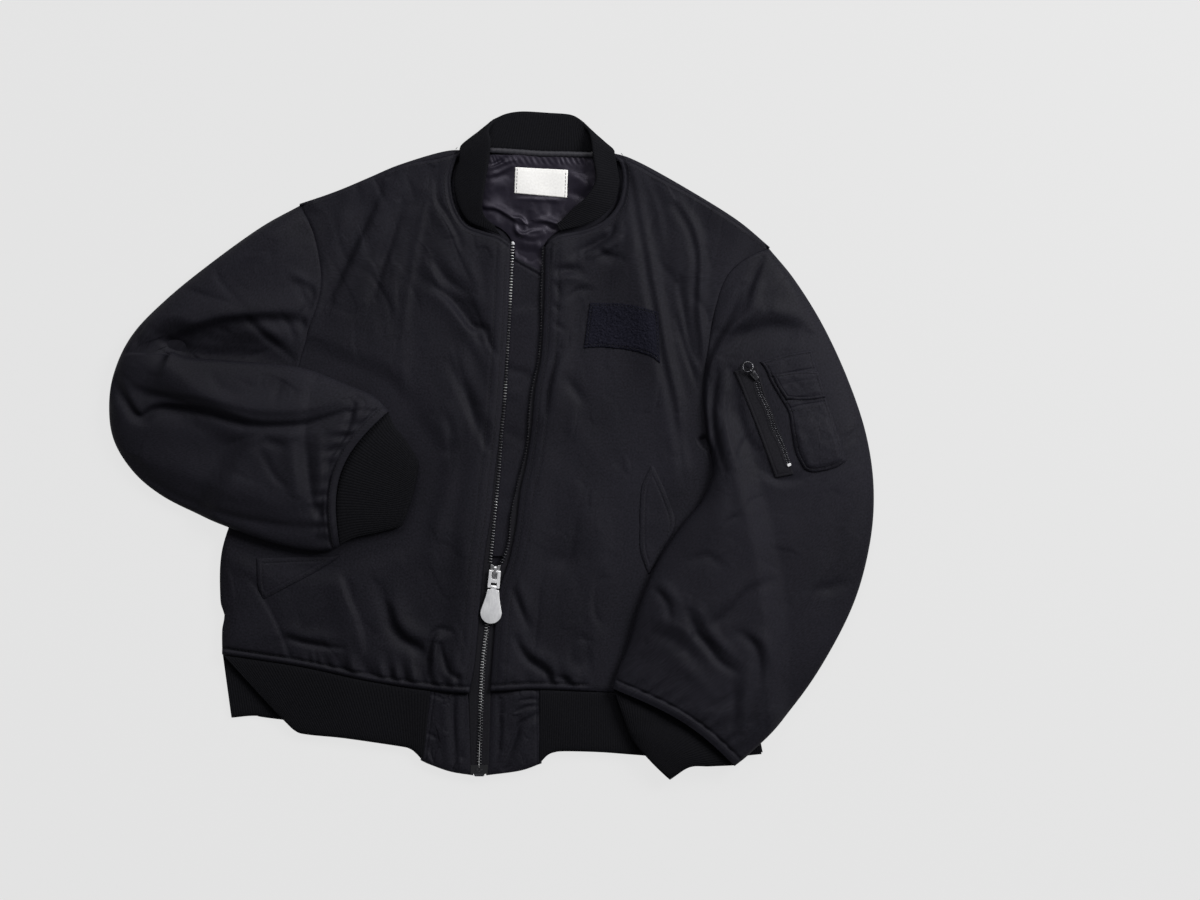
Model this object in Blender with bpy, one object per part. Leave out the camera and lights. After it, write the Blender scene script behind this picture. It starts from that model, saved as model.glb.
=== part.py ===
"""Padded flight jacket laid flat on its back.

The wearer's right sleeve (at -X) is folded at the elbow over the front, and the
left sleeve (at +X) lies beside the body with its cuff on the hem.  The front zip
is open from the neck down to its slider.  Tables are in millimetres, in plan,
with +X to the viewer's right, +Y to the collar and +Z up from the surface that
the jacket lies on.  Meshes are in metres.
"""
import math
from collections import namedtuple

import bmesh
import bpy
import numpy as np
from mathutils import Matrix
from mathutils import Vector
from mathutils.bvhtree import BVHTree

MM = 0.001

# ---------------------------------------------------------------- driving sizes
SEAM_GAP = 0.4          # between pieces that are sewn together
LAY_GAP = 0.3           # between layers that lie on each other
BACK_THICK = 6.0        # padded back, pressed by its own weight
FRONT_EDGE = 4.0        # padded fronts at their sewn edges
FRONT_FIELD = 8.5       # padded fronts in the open field
FRONT_PRESSED = 6.0     # padded fronts under a sleeve
SHOULDER_TOP = 12.5     # back panel where it turns over the shoulder
ZIP_EDGE_LIFT = 3.2     # fronts are lifted here by the wind flap under them
SLEEVE_WALL = 7.0       # padded sleeve wall
SLEEVE_SLIT = 2.2       # the empty sleeve's two walls lie this far apart
SLEEVE_EDGE = 7.0       # height of the sleeve's rounded side above its support
PRESSED_ARM = 15.0      # upper arm where the forearm lies on it
RIB_THICK = 5.0         # doubled rib knit of the hem
COLLAR_THICK = 4.4      # doubled rib knit of the collar
CUFF_WALL = 3.6
TAPE_THICK = 1.4
TAPE_Z = 10.2
FLAP_THICK = 2.0

FRONT_BOTTOM = BACK_THICK + LAY_GAP
ON_BODY = FRONT_BOTTOM + FRONT_PRESSED + LAY_GAP
ON_ARM = PRESSED_ARM + 3 * LAY_GAP

# Heights ease from one level to another between two distances in plan.
Ease = namedtuple("Ease", "near far")
EDGE_EASE = Ease(0, 28)       # from a sewn edge to the padded field
FOLD_EASE = Ease(4, 26)       # folds fade in away from an edge
COVER_EASE = Ease(22, 44)     # a front rises to its full height beside a sleeve on it
FLAP_EASE = Ease(14, 40)      # beside the wind flap a front comes down
SEAM_EASE = Ease(0, 25)       # beside the shoulder seam a front gets thinner
DRAPE_EASE = Ease(14, 44)     # beside the body a sleeve comes down to the table
ARM_EASE = Ease(8, 50)        # beside the upper arm the forearm comes down
PRESS_EASE = Ease(18, 40)     # beside the forearm the upper arm gets thicker
HEM_EASE = Ease(285, 305)     # below the body the left cuff comes down to the hem
TAPE_EASE = Ease(240, 275)    # below the body the zip tape comes down to the hem
SHOULDER_SEAM = 2.5           # what the shoulder seam adds to a front's thickness
SHOULDER_DROP = 3.0           # from the back's turned edge to its outline
NECK_CENTRE = 51.0            # x of the middle of the neck
NECK_EASE = Ease(78, 96)      # from there to where the back turns over the shoulder
HEM_DROP = 1.6                # the hem lies this much lower than the body
TAPE_DROP = 1.9
CUFF_SLIT = 1.2               # half the height of the cuff's opening
CUFF_BOW_LOST = 0.6           # share of the seam's bow that the cuff's end has lost
BOW_FROM = 0.65               # share of the sleeve's length where its end bows
CURVE_UNTIL = 0.35            # and up to where it keeps the armhole's curve
CROWN_POWER = 2.6             # a flattened section: fuller than an ellipse
UNDER_POWER = 7               # and nearly flat below

# ---------------------------------------------------------------- plan outlines
# Each outline row is (x, y).  "Right" and "left" are the wearer's.
CENTRE_RIGHT = [(-24, -268), (-17, -228), (-8, -126), (-2, -80), (1, -37), (6, 17),
                (10, 71), (13, 125), (15, 179), (16, 218)]
NECK_RIGHT = [(16, 218), (8, 227), (-8, 232), (-27, 240), (-39, 261), (-43, 287),
              (-38, 308), (-30, 318)]
SHOULDER_RIGHT = [(-30, 318), (-56, 310), (-90, 304), (-122, 292), (-158, 277), (-200, 257)]
ARMHOLE_RIGHT = [(-200, 257), (-186, 222), (-184, 173), (-199, 119), (-212, 71), (-219, 22)]
SIDE_RIGHT = [(-291, -226), (-291, -200), (-288.5, -183), (-293, -165), (-291, -113), (-271, -59), (-241, -10),
              (-219, 22)]
HEM_RIGHT = [(-24, -268), (-64, -265), (-131, -255), (-206, -239), (-291, -226)]
CENTRE_LEFT = [(-1, -266), (3, -210), (8, -160), (19, -126), (28, -88), (33, -50), (41, -18),
               (47, 20), (50, 60), (57, 98), (61, 157), (62, 215)]
NECK_LEFT = [(62, 215), (66, 224), (78, 229), (102, 234), (123, 244), (137, 261),
             (142, 283), (140, 303), (132, 314)]
SHOULDER_LEFT = [(132, 314), (161, 301), (180, 290), (216, 271), (258, 245), (299, 213)]
ARMHOLE_LEFT = [(299, 213), (274, 201), (255, 182), (244, 152), (235, 105), (230, 55), (233, 8)]
SIDE_LEFT = [(280, -262), (279, -210), (272, -145), (261, -91), (246, -37), (233, 8)]
HEM_LEFT = [(-1, -266), (53, -264), (131, -267), (204, -268), (280, -262)]
BACK_NECK = [(-30, 318), (0, 317), (53, 316), (109, 314), (132, 314)]
BACK_HEM = [(-291, -226), (-150, -245), (-10, -261), (140, -263), (280, -262)]
BACK_OUTLINE = [(-200, 262), (-158, 281.5), (-100, 304.5), (-56, 317.5), (-31, 320), (1, 319),
                (53, 318), (109, 316), (132, 316.5), (161, 306), (214, 276.5), (266, 245.5), (300.5, 215)]
TEETH_RIGHT = [(-12.5, -352), (-9, -275), (-6, -232), (-2, -190), (-1, -140), (2, -102), (6, -59),
               (9, -26), (12, 17), (15, 49), (18, 103), (21, 157), (24, 219)]
TEETH_LEFT = [(-11.5, -352), (-8, -275), (-5, -232), (-1, -190), (5, -145), (18, -108), (22, -72),
              (31, -32), (39, 0), (41, 35), (44, 60), (51, 92), (54, 125), (54, 160), (56, 215)]

# Lower edges of the hem's five pieces, and where the blocks beside the zip end.
BACK_RIB_LOW = [(-279, -295), (-255, -293), (-228, -297), (-12, -322), (139, -327), (291, -331)]
BLOCK_RIGHT_LOW = [(-22.5, -356), (-44, -353), (-68.5, -346)]
RIB_RIGHT_LOW = [(-69.5, -346.5), (-77, -337), (-86, -330), (-100, -326.5), (-158, -317), (-198, -313),
                 (-212, -309), (-226, -296)]
BLOCK_LEFT_LOW = [(-2.5, -356), (31, -351), (52.5, -344)]
RIB_LEFT_LOW = [(53.5, -342), (63, -336), (78, -332), (118, -332), (158, -335), (226, -339), (287, -331)]
BLOCK_RIGHT_X = -64
BLOCK_LEFT_X = 53
# Where each part of a hem piece lies between its seam and its edge, and its rounding.
HemRow = namedtuple("HemRow", "place rounding")
HEM_ROWS = [HemRow(0, -1.2), HemRow(0.06, 0), HemRow(0.5, 0), HemRow(0.94, 0),
            HemRow(1, -1.5)]
# Share of the full thickness across the collar, from its seam to its free edge.
Share = namedtuple("Share", "place share")
COLLAR_ROWS = [Share(0, 0.75), Share(0.04, 1), Share(0.3, 1), Share(0.7, 1),
               Share(0.96, 1), Share(1, 0.7)]
PIPING = [(-4, 318), (20, 317.5), (53, 317), (84, 316), (112, 314)]
PIPING_RADIUS = 2.6
TAPE_FOOT_RIGHT = (-21.5, -352)
TAPE_FOOT_LEFT = (-3.5, -352)
FLAP_TOP = 197.0
FLAP_FOOT = -120.0
FLAP_UNDER = 7.0              # the wind flap goes on under each front
DIAMOND = 26.0                # pitch of its quilting
DIAMOND_RISE = 1.2
FLAP_SLANT = 0.35             # its top edge falls towards the left front

# ------------------------------------------------------------- sleeves and cuffs
# One row for each section from the armhole to the sleeve end: the plan ends of the
# section and the height of the sleeve above what it lies on.
Section = namedtuple("Section", "outer_x outer_y inner_x inner_y height on_top")
SLEEVE_RIGHT = [
    Section(-200, 257, -219, 22, 15, 0),
    Section(-249, 234, -256, 38, 23, 0),
    Section(-301, 197.5, -295, 60, 25, 0),
    Section(-350.5, 160, -328, 84, 25, 0),
    Section(-387.5, 118, -346.6, 101, 24, 0),
    Section(-410, 76, -346.8, 99, 24, 0.25),
    Section(-414, 36, -346.4, 98, 24, 0.5),
    Section(-408, 1, -345.8, 97.6, 24, 0.75),
    Section(-387, -31, -343.6, 97.2, 24, 1),
    Section(-357, -54, -325, 95, 24, 1),
    Section(-320, -73, -286, 92, 24, 1),
    Section(-276, -91, -246, 89, 24, 1),
    Section(-228, -107, -204, 84, 24, 1),
    Section(-190, -114, -165, 70, 23, 1),
    Section(-170, -112, -128, 54, 22, 1),
    Section(-163, -108, -110, 37, 20, 1),
]
SLEEVE_LEFT = [
    Section(299, 213, 233, 8, 15, 0),
    Section(329, 179, 236, -2, 23, 0.2),
    Section(359.5, 129.5, 239, -14, 25, 0.6),
    Section(386.5, 70.5, 240, -27, 26, 1),
    Section(406, 11, 236, -42, 27, 1),
    Section(414, -48, 226, -62, 27, 1),
    Section(409.5, -108, 204, -89, 27, 1),
    Section(391, -174, 178, -130, 26, 1),
    Section(354, -244, 160, -174, 26, 1),
    Section(314, -298, 147, -218, 24, 1),
    Section(280, -332, 136, -245, 22, 1),
    Section(263, -346, 131, -262, 19, 1),
]
# Sleeve-end seams bow away from the straight line between their two ends.
END_BOW_RIGHT = (-24, 8)
END_BOW_LEFT = (16, 14)
CUFF_RIGHT = [
    Section(-163, -108, -110, 37, 12, 1),
    Section(-146, -100, -104, 22, 13, 1),
    Section(-120, -94, -90, 4, 13, 1),
    Section(-96, -88, -77, -16, 11, 1),
]
CUFF_LEFT = [
    Section(263, -346, 131, -262, 12, 1),
    Section(236, -347, 139, -284, 13, 1),
    Section(214, -348, 146, -304, 13, 1),
    Section(193, -361.7, 152, -318, 10, 1),
]

# ------------------------------------------------------------------------- folds
# The largest folds: ridges (+) and troughs (-) along a straight run in plan.
Fold = namedtuple("Fold", "from_x from_y to_x to_y width height")
FOLDS_FRONT_RIGHT = [
    Fold(-122, 255, -174, 157, 15, 3.5),
    Fold(-90, 270, -150, 120, 11, -2.0),
    Fold(-77, 254, -96, 157, 13, 3.0),
    Fold(-57, 262, -72, 175, 9, -1.8),
    Fold(-40, 225, -20, 150, 11, 3.0),
    Fold(-57, 200, -2, 110, 10, -2.6),
    Fold(-62, 170, -8, 80, 12, 3.2),
    Fold(-60, -90, -20, 60, 22, 2.5),
    Fold(-170, -165, -140, -222, 10, 3.4),
    Fold(-115, -178, -74, -240, 10, 3.6),
    Fold(-150, -160, -100, -236, 8, -2.4),
    Fold(-64, -204, -45, -252, 8, 3.0),
    Fold(-226, -205, -120, -240, 9, 3.0),
]
FOLDS_FRONT_LEFT = [
    Fold(135, 258, 112, 215, 10, 2.5),
    Fold(158, 295, 168, 200, 12, 3.0),
    Fold(168, 200, 200, 45, 14, 3.6),
    Fold(190, 230, 225, 100, 13, 3.2),
    Fold(178, 240, 205, 110, 8, -2.4),
    Fold(75, 190, 92, 60, 14, 2.4),
    Fold(60, 40, 110, -120, 18, 2.4),
    Fold(25, -158, 40, -190, 8, 2.6),
    Fold(28, -210, 73, -258, 9, 3.2),
    Fold(90, -200, 110, -255, 8, 2.6),
]
FOLDS_SLEEVE_RIGHT = [
    Fold(-225, 140, -352, 122, 12, -4.0),
    Fold(-210, 200, -340, 150, 16, 3.0),
    Fold(-262, 138, -212, 92, 9, 2.6),
    Fold(-395, 78, -375, 30, 10, -3.4),
    Fold(-385, 34, -165, 30, 15, -5.0),
    Fold(-350, 78, -140, 40, 17, 3.0),
    Fold(-340, -18, -210, -60, 22, 2.6),
    Fold(-200, 18, -205, -80, 10, -2.8),
]
FOLDS_SLEEVE_LEFT = [
    Fold(284, 157, 240, 100, 11, -3.2),
    Fold(300, 180, 250, 60, 12, 2.6),
    Fold(228, 60, 236, 0, 8, -2.5),
    Fold(330, -60, 250, -150, 22, 2.6),
    Fold(216, -178, 260, -240, 9, -3.0),
    Fold(245, -195, 300, -150, 11, -3.0),
    Fold(284, -220, 290, -250, 9, -2.6),
    Fold(172, -155, 194, -185, 9, 2.6),
    Fold(270, -240, 275, -310, 11, 3.2),
]

# ------------------------------------------------------------------- collar band
# From the wearer's right front end round the back to the left front end.
Band = namedtuple("Band", "seam_x seam_y free_x free_y seam_z free_z")
COLLAR = [
    Band(11, 227, 2, 238, 13.2, 14.2),
    Band(-8, 235, -8, 250, 13.6, 17.0),
    Band(-25, 243, -9, 262, 13.8, 20.0),
    Band(-36, 262, -6, 283, 14.0, 22.0),
    Band(-40, 287, -2, 308, 14.0, 23.0),
    Band(-35, 305, 0, 328, 15.2, 22.0),
    Band(-34, 316.5, -2.5, 338, 15.8, 17.5),
    Band(-31, 324, 0, 347, 10.8, 11.0),
    Band(-19, 327, 8, 355, 5.2, 4.8),
    Band(-2, 324, 19, 360, 3.2, 2.8),
    Band(26, 323.5, 38, 362, 2.8, 2.6),
    Band(53, 323, 62, 361, 2.8, 2.6),
    Band(84, 322, 82, 358.5, 2.8, 2.6),
    Band(106, 322, 92, 354, 3.2, 2.8),
    Band(120, 325, 97, 350.5, 5.2, 4.8),
    Band(131, 321, 103, 343, 10.8, 11.0),
    Band(133.5, 315, 107, 330.5, 15.8, 17.5),
    Band(136, 301, 110.5, 309.5, 15.2, 22.0),
    Band(138, 283, 113, 286, 14.0, 23.0),
    Band(132, 262, 103, 268, 14.0, 22.0),
    Band(118, 247, 90, 257, 13.8, 19.0),
    Band(99, 238, 80, 247, 13.6, 16.5),
    Band(74, 232, 71, 239, 13.2, 14.2),
]
# Lining that shows inside the neck: one row for each height, with its two sides.
Row = namedtuple("Row", "y left right")
LINING = [
    Row(309, -25, 125), Row(300, -31, 132), Row(285, -35, 134), Row(264, -31, 129),
    Row(250, -20, 114), Row(242, -6, 96), Row(235, 10, 78), Row(224, 21, 62),
    Row(210, 25, 55), Row(203, 27, 54),
]
LABEL_CORNERS = [(26, 301), (83, 298), (82, 268), (25, 273)]
PATCH_CORNERS = [(107, 154), (180, 144), (183, 89), (100, 105)]
FLAP_RIGHT_EDGES = [(-252, -122), (-163, -122), (-238, -164), (-249, -160)]
FLAP_LEFT_EDGES = [(172, -22), (196, -84), (171, -136), (162, -104)]
POCKET_CORNERS = [(288, 90), (348, 102), (382, -20), (331, -29)]
PEN_PANEL_CORNERS = [(298, 80), (355, 83), (364, 52), (316, 52)]
SLEEVE_TAPE_CORNERS = [(265, 80), (285, 87), (328, -31), (309, -34)]

# ---------------------------------------------------------------------- metalware
ZIP_LEAN = math.radians(-5.4)     # the closed zip leans towards the folded sleeve
SLIDER_AT = (4.2, -137.0)
BRIDGE_WIDTH = 2.6
ROD_RADIUS = 0.9
ROD_Y = 1.0
ROD_Z = 3.4                       # the rod's height above the slider's foot
LINK_WIDTH = 13.0
LINK_SLOT = 6.4
LINK_LENGTH = 17.0                # from the rod to the pin
LINK_THICK = 1.5
LINK_SHORTER = 1.0                # rod, pin and web end inside the rails
WEB_LENGTH = 4.0
WEB_FROM_PIN = 6.5
BRIDGE_LENGTH = 12.6
BRIDGE_THICK = 1.1
BRIDGE_CLEAR = 0.5                # between the rod and the bridge above it
LEG_LENGTH = 1.8
LEG_TOP_Y = 6.4
LEG_FOOT_Y = -4.4
LEG_SUNK = 0.4                    # of each leg in the slider's plate
SLIDER_PLATE = (11, 17, 1.4)
PLATE_BEVEL = 0.4
NECK_WIDTH = 5.6
EYE_RADIUS = 2.1
TAB_LENGTH = 38.0
TAB_WIDTH = 23.0
TAB_THICK = 1.6
TAB_NECK_LESS = 0.35              # the leaf's neck is narrower than the eye, each side
TAB_SHIFT = (0, -1.62, 0.62)      # from the pin to the leaf's neck
PIN_CLEAR = 0.35
POCKET_ZIP_LEAN = math.radians(38.0)
POCKET_SLIDER_AT = (284.0, 75.0)
POCKET_EYE_Y = 6.6
POCKET_EYE_Z = 3.2
RING_RADIUS = 5.4
RING_WIRE = 0.85
RING_TILT = math.radians(-10.0)   # the ring's far side rests on the sleeve
POCKET_PLATE = (6.5, 10, 2.2)
POCKET_BEVEL = 0.5
POCKET_EYE_RADIUS = 2.3
POCKET_EYE_WIRE = 0.75
POCKET_CLEAR = 0.8                # between the pocket's slider and what lies under it
ZIP_BOX = (12, 6, 2.6)
ZIP_BOX_AT = (-13.0, -355.2)
ZIP_BOX_Z = 7.9
BOX_BEVEL = 0.6

RINGS_PER_SECTION = 2
ROUND_POINTS = 10
PANEL_COLUMNS = 12
NECK_COLUMNS = 6
SIDE_ROWS = 9
ZIP_ROWS = SIDE_ROWS + 3

COLOURS = {
    "shell": ((0.017, 0.017, 0.022, 1), 0.5, 0.0),
    "rib": ((0.008, 0.008, 0.010, 1), 0.85, 0.0),
    "lining": ((0.035, 0.030, 0.043, 1), 0.35, 0.0),
    "piping": ((0.10, 0.10, 0.11, 1), 0.6, 0.0),
    "label": ((0.80, 0.79, 0.76, 1), 0.7, 0.0),
    "patch": ((0.008, 0.010, 0.025, 1), 0.95, 0.0),
    "tape": ((0.012, 0.012, 0.014, 1), 0.8, 0.0),
    "steel": ((0.62, 0.62, 0.64, 1), 0.3, 1.0),
}


# ------------------------------------------------------------------ scene helpers
def clear_scene():
    """Remove what the new file starts with."""
    for item in list(bpy.data.objects):
        bpy.data.objects.remove(item, do_unlink=True)


def make_collection(name):
    """A collection linked under the scene."""
    group = bpy.data.collections.new(name)
    bpy.context.scene.collection.children.link(group)
    return group


def make_materials():
    """One Principled material for each finish in COLOURS."""
    made = {}
    for name, (colour, roughness, metallic) in COLOURS.items():
        material = bpy.data.materials.new(name)
        material.use_nodes = True
        shader = material.node_tree.nodes["Principled BSDF"]
        shader.inputs["Base Color"].default_value = colour
        shader.inputs["Roughness"].default_value = roughness
        shader.inputs["Metallic"].default_value = metallic
        made[name] = material
    return made


def add_mesh(name, points, faces, finish):
    """Closed mesh from points in millimetres, with its faces turned outwards."""
    mesh = bpy.data.meshes.new(name)
    mesh.from_pydata((np.asarray(points) * MM).tolist(), [], [list(map(int, f)) for f in faces])
    turn_outwards(mesh)
    mesh.shade_smooth()
    mesh.set_sharp_from_angle(angle=math.radians(50))
    item = bpy.data.objects.new(name, mesh)
    PART.objects.link(item)
    mesh.materials.append(MATERIALS[finish])
    return item


def turn_outwards(mesh):
    """Triangulate and point every face out of the solid."""
    shape = bmesh.new()
    shape.from_mesh(mesh)
    bmesh.ops.triangulate(shape, faces=shape.faces)
    bmesh.ops.recalc_face_normals(shape, faces=shape.faces)
    shape.to_mesh(mesh)
    shape.free()


# ---------------------------------------------------------------- curves and grids
def smooth_rows(rows, steps):
    """Catmull-Rom samples through table rows, a fixed number for each row."""
    rows = np.asarray(rows, float)
    ends = np.vstack([2 * rows[0] - rows[1], rows, 2 * rows[-1] - rows[-2]])
    t = np.linspace(0, 1, steps, endpoint=False)[:, None]
    runs = []
    for before, here, there, after in zip(ends, ends[1:], ends[2:], ends[3:]):
        linear = (there - before) * t
        square = (2 * before - 5 * here + 4 * there - after) * t ** 2
        cube = (3 * here - before - 3 * there + after) * t ** 3
        runs.append(0.5 * (2 * here + linear + square + cube))
    return np.vstack(runs + [rows[-1:]])


def smooth_curve(points, places):
    """Points of a smooth curve at the given fractions of its length."""
    dense = smooth_rows(points, 12)
    along = fractions(dense)
    return np.column_stack([np.interp(places, along, axis) for axis in dense.T])


def even(count):
    """Fractions 0 to 1 in even steps."""
    return np.linspace(0, 1, count)


def fractions(curve):
    """Where each point of a line lies, as a fraction of the line's length."""
    steps = np.linalg.norm(np.diff(curve, axis=0), axis=1)
    length = np.concatenate([[0], np.cumsum(steps)])
    return length / length[-1]


def round_places(count):
    """Fractions 0 to 1, closer together at both ends, as round a half circle."""
    return (1 - np.cos(np.pi * even(count + 1))) / 2


def coons(low, high, left, right):
    """Grid of plan points that fills four edges which share their corners."""
    v = even(len(left))[:, None, None]
    u = even(len(low))[None, :, None]
    ruled = (1 - v) * low[None] + v * high[None] + (1 - u) * left[:, None] + u * right[:, None]
    lower = (1 - v) * ((1 - u) * low[0] + u * low[-1])
    upper = v * ((1 - u) * high[0] + u * high[-1])
    return ruled - lower - upper


def edge_distance(curve, xy):
    """Distance in plan from each point to an open polyline."""
    start = curve[:-1]
    run = curve[1:] - start
    to = xy[..., None, :] - start
    square = np.maximum((run ** 2).sum(-1), 1e-9)
    along = np.clip((to * run).sum(-1) / square, 0, 1)
    return np.linalg.norm(to - along[..., None] * run, axis=-1).min(-1)


def outside(polygon, xy):
    """Distance in plan from each point to a closed polygon, 0 inside it."""
    ring = np.vstack([polygon, polygon[:1]])
    x, y = xy[..., 0, None], xy[..., 1, None]
    x0, y0 = ring[:-1].T
    x1, y1 = ring[1:].T
    rise = np.where(y1 == y0, 1e-9, y1 - y0)
    crosses = ((y0 > y) != (y1 > y)) & (x < (x1 - x0) * (y - y0) / rise + x0)
    inside = crosses.sum(-1) % 2 == 1
    return np.where(inside, 0.0, edge_distance(ring, xy))


def ease(value, near, far):
    """0 below near, 1 above far and smooth in between."""
    t = np.clip((value - near) / (far - near), 0, 1)
    return t * t * (3 - 2 * t)


def relief(folds, xy):
    """Height that the folds add at each plan point: soft ridges and troughs."""
    total = np.zeros(xy.shape[:-1])
    for fold in folds:
        start = np.array((fold.from_x, fold.from_y), float)
        run = np.array((fold.to_x, fold.to_y), float) - start
        along = ((xy - start) @ run) / (run @ run)
        away = np.linalg.norm(xy - start - np.clip(along, 0, 1)[..., None] * run, axis=-1)
        fade = 1 - 0.6 * np.abs(2 * np.clip(along, 0, 1) - 1) ** 2
        total += fold.height * fade * np.exp(-(away / fold.width) ** 2)
    return total


def at_height(xy, z):
    """Plan points with their heights."""
    return np.concatenate([xy, np.broadcast_to(z, xy.shape[:-1])[..., None]], axis=-1)


# ------------------------------------------------------------------ solid builders
def grid_faces(index):
    """Quads between the neighbours of a grid of point numbers."""
    a, b, c, d = index[:-1, :-1], index[:-1, 1:], index[1:, 1:], index[1:, :-1]
    return np.stack([a, b, c, d], axis=-1).reshape(-1, 4)


def slab(name, top, bottom, finish):
    """Cloth panel: an outer and an under grid, closed round their rim."""
    rows, columns = top.shape[:2]
    count = rows * columns
    upper = np.arange(count).reshape(rows, columns)
    rim = np.concatenate([upper[0, :-1], upper[:-1, -1], upper[-1, :0:-1], upper[:0:-1, 0]])
    turned = np.roll(rim, -1)
    sides = np.stack([rim, rim + count, turned + count, turned], axis=-1)
    faces = np.vstack([grid_faces(upper), grid_faces(upper + count), sides])
    points = np.vstack([top.reshape(-1, 3), bottom.reshape(-1, 3)])
    return add_mesh(name, points, faces, finish)


def tube(name, outer, inner, finish):
    """Open tube with a wall: rings of outer and inner points, joined at both ends."""
    rings, around = outer.shape[:2]
    count = rings * around
    index = np.arange(count).reshape(rings, around)
    closed = np.column_stack([index, index[:, 0]])
    ends = [grid_faces(np.vstack([closed[k], closed[k] + count])) for k in (0, -1)]
    faces = np.vstack([grid_faces(closed), grid_faces(closed + count)] + ends)
    points = np.vstack([outer.reshape(-1, 3), inner.reshape(-1, 3)])
    return add_mesh(name, points, faces, finish)


def thicken(middle, thickness):
    """Outer and under grids, half a thickness to each side of a middle surface."""
    along = np.gradient(middle, axis=0)
    across = np.gradient(middle, axis=1)
    normal = np.cross(along, across)
    normal /= np.linalg.norm(normal, axis=-1, keepdims=True)
    half = normal * thickness / 2
    return middle + half, middle - half


# --------------------------------------------------------------------- body panels
def side_edge(side, armhole):
    """Panel edge from the hem up the side seam and round the armhole."""
    below = smooth_curve(side, even(SIDE_ROWS + 1))
    above = smooth_curve(armhole, round_places(ROUND_POINTS))[::-1]
    return np.vstack([below, above[1:]])


def centre_edge(centre, neck):
    """Front edge from the hem up the zip and round the neck."""
    neck_rows = SIDE_ROWS + ROUND_POINTS - ZIP_ROWS
    below = smooth_curve(centre, even(ZIP_ROWS + 1))
    above = smooth_curve(neck, even(neck_rows + 1))
    return np.vstack([below, above[1:]])


def sleeve_outline(sections):
    """Closed plan outline of a sleeve or cuff."""
    rows = smooth_rows(sections, 3)
    return np.vstack([rows[:, :2], rows[::-1, 2:4]])


def make_front(name, centre, neck, shoulder, armhole, side, hem, folds, covers):
    """Front panel: padded field, thin sewn edges, pressed flat under a sleeve."""
    inner = centre_edge(centre, neck)
    outer = side_edge(side, armhole)
    low = smooth_curve(hem, even(PANEL_COLUMNS))
    high = smooth_curve(shoulder, even(PANEL_COLUMNS))
    plan = coons(low, high, inner, outer)
    zip_edge = inner[:ZIP_ROWS + 1]
    from_zip = edge_distance(zip_edge, plan)
    from_edge = np.minimum.reduce([edge_distance(curve, plan) for curve in (low, outer, inner)])
    field = FRONT_EDGE + (FRONT_FIELD - FRONT_EDGE) * ease(from_edge, *EDGE_EASE)
    seam = SHOULDER_SEAM * (1 - ease(edge_distance(high, plan), *SEAM_EASE))
    folded = relief(folds, plan) * ease(from_edge, *FOLD_EASE)
    free = np.minimum.reduce([ease(outside(cover, plan), *COVER_EASE) for cover in covers])
    lift = ZIP_EDGE_LIFT * (1 - ease(from_zip, *FLAP_EASE))
    pressed = np.minimum(FRONT_PRESSED, field + seam)
    thick = np.maximum(pressed + (field + seam + folded - pressed) * free, FRONT_EDGE)
    bottom = FRONT_BOTTOM + lift * free
    return slab(name, at_height(plan, bottom + thick), at_height(plan, bottom), "shell")


def make_back():
    """Back panel: flat under the fronts, turned over the shoulders to their seams."""
    left = side_edge(SIDE_RIGHT, ARMHOLE_RIGHT)
    right = side_edge(SIDE_LEFT, ARMHOLE_LEFT)
    right_shoulder = smooth_curve(SHOULDER_RIGHT, even(PANEL_COLUMNS))[::-1]
    left_shoulder = smooth_curve(SHOULDER_LEFT, even(PANEL_COLUMNS))
    neck = smooth_curve(BACK_NECK, even(NECK_COLUMNS + 1))
    high = np.vstack([right_shoulder, neck[1:-1], left_shoulder])
    columns = len(high)
    low = smooth_curve(BACK_HEM, even(columns))
    plan = coons(low, high, left, right)
    strip_in = high + (0, 2 * SEAM_GAP)
    strip_out = smooth_curve(BACK_OUTLINE, fractions(high))
    plan = np.concatenate([plan, strip_in[None], strip_out[None]])
    on_shoulder = ease(np.abs(high[:, 0] - NECK_CENTRE), *NECK_EASE)
    top = np.full(plan.shape[:2], BACK_THICK)
    top[-2] += (SHOULDER_TOP - BACK_THICK) * on_shoulder
    top[-1] += (SHOULDER_TOP - BACK_THICK - SHOULDER_DROP) * on_shoulder
    return slab("back_panel", at_height(plan, top), at_height(plan, 0.0), "shell")


# ------------------------------------------------------------------------- sleeves
def bowed_plan(rows, places, start_curve, end_bow):
    """Plan points of sleeve rings, bowed like the armhole and the sleeve-end seam."""
    place = places[None, :, None]
    straight = rows[:, None, :2] * (1 - place) + rows[:, None, 2:4] * place
    along = even(len(rows))[:, None, None]
    if start_curve is not None:
        line = rows[0, :2] * (1 - places[:, None]) + rows[0, 2:4] * places[:, None]
        straight = straight + (start_curve - line)[None] * (1 - ease(along, 0, CURVE_UNTIL))
    bow = np.sin(np.pi * places)[None, :, None] * np.array(end_bow, float)
    return straight + bow * ease(along, BOW_FROM, 1.0)


def ring_heights(places, height, edge, base):
    """Upper and under heights of a flattened round section above its base."""
    across = np.abs(2 * places - 1)[None]
    crown = (1 - across ** CROWN_POWER) ** 0.5
    upper = base + edge + (height - edge) * crown
    under = base + edge * across ** UNDER_POWER
    return upper, under


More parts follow.
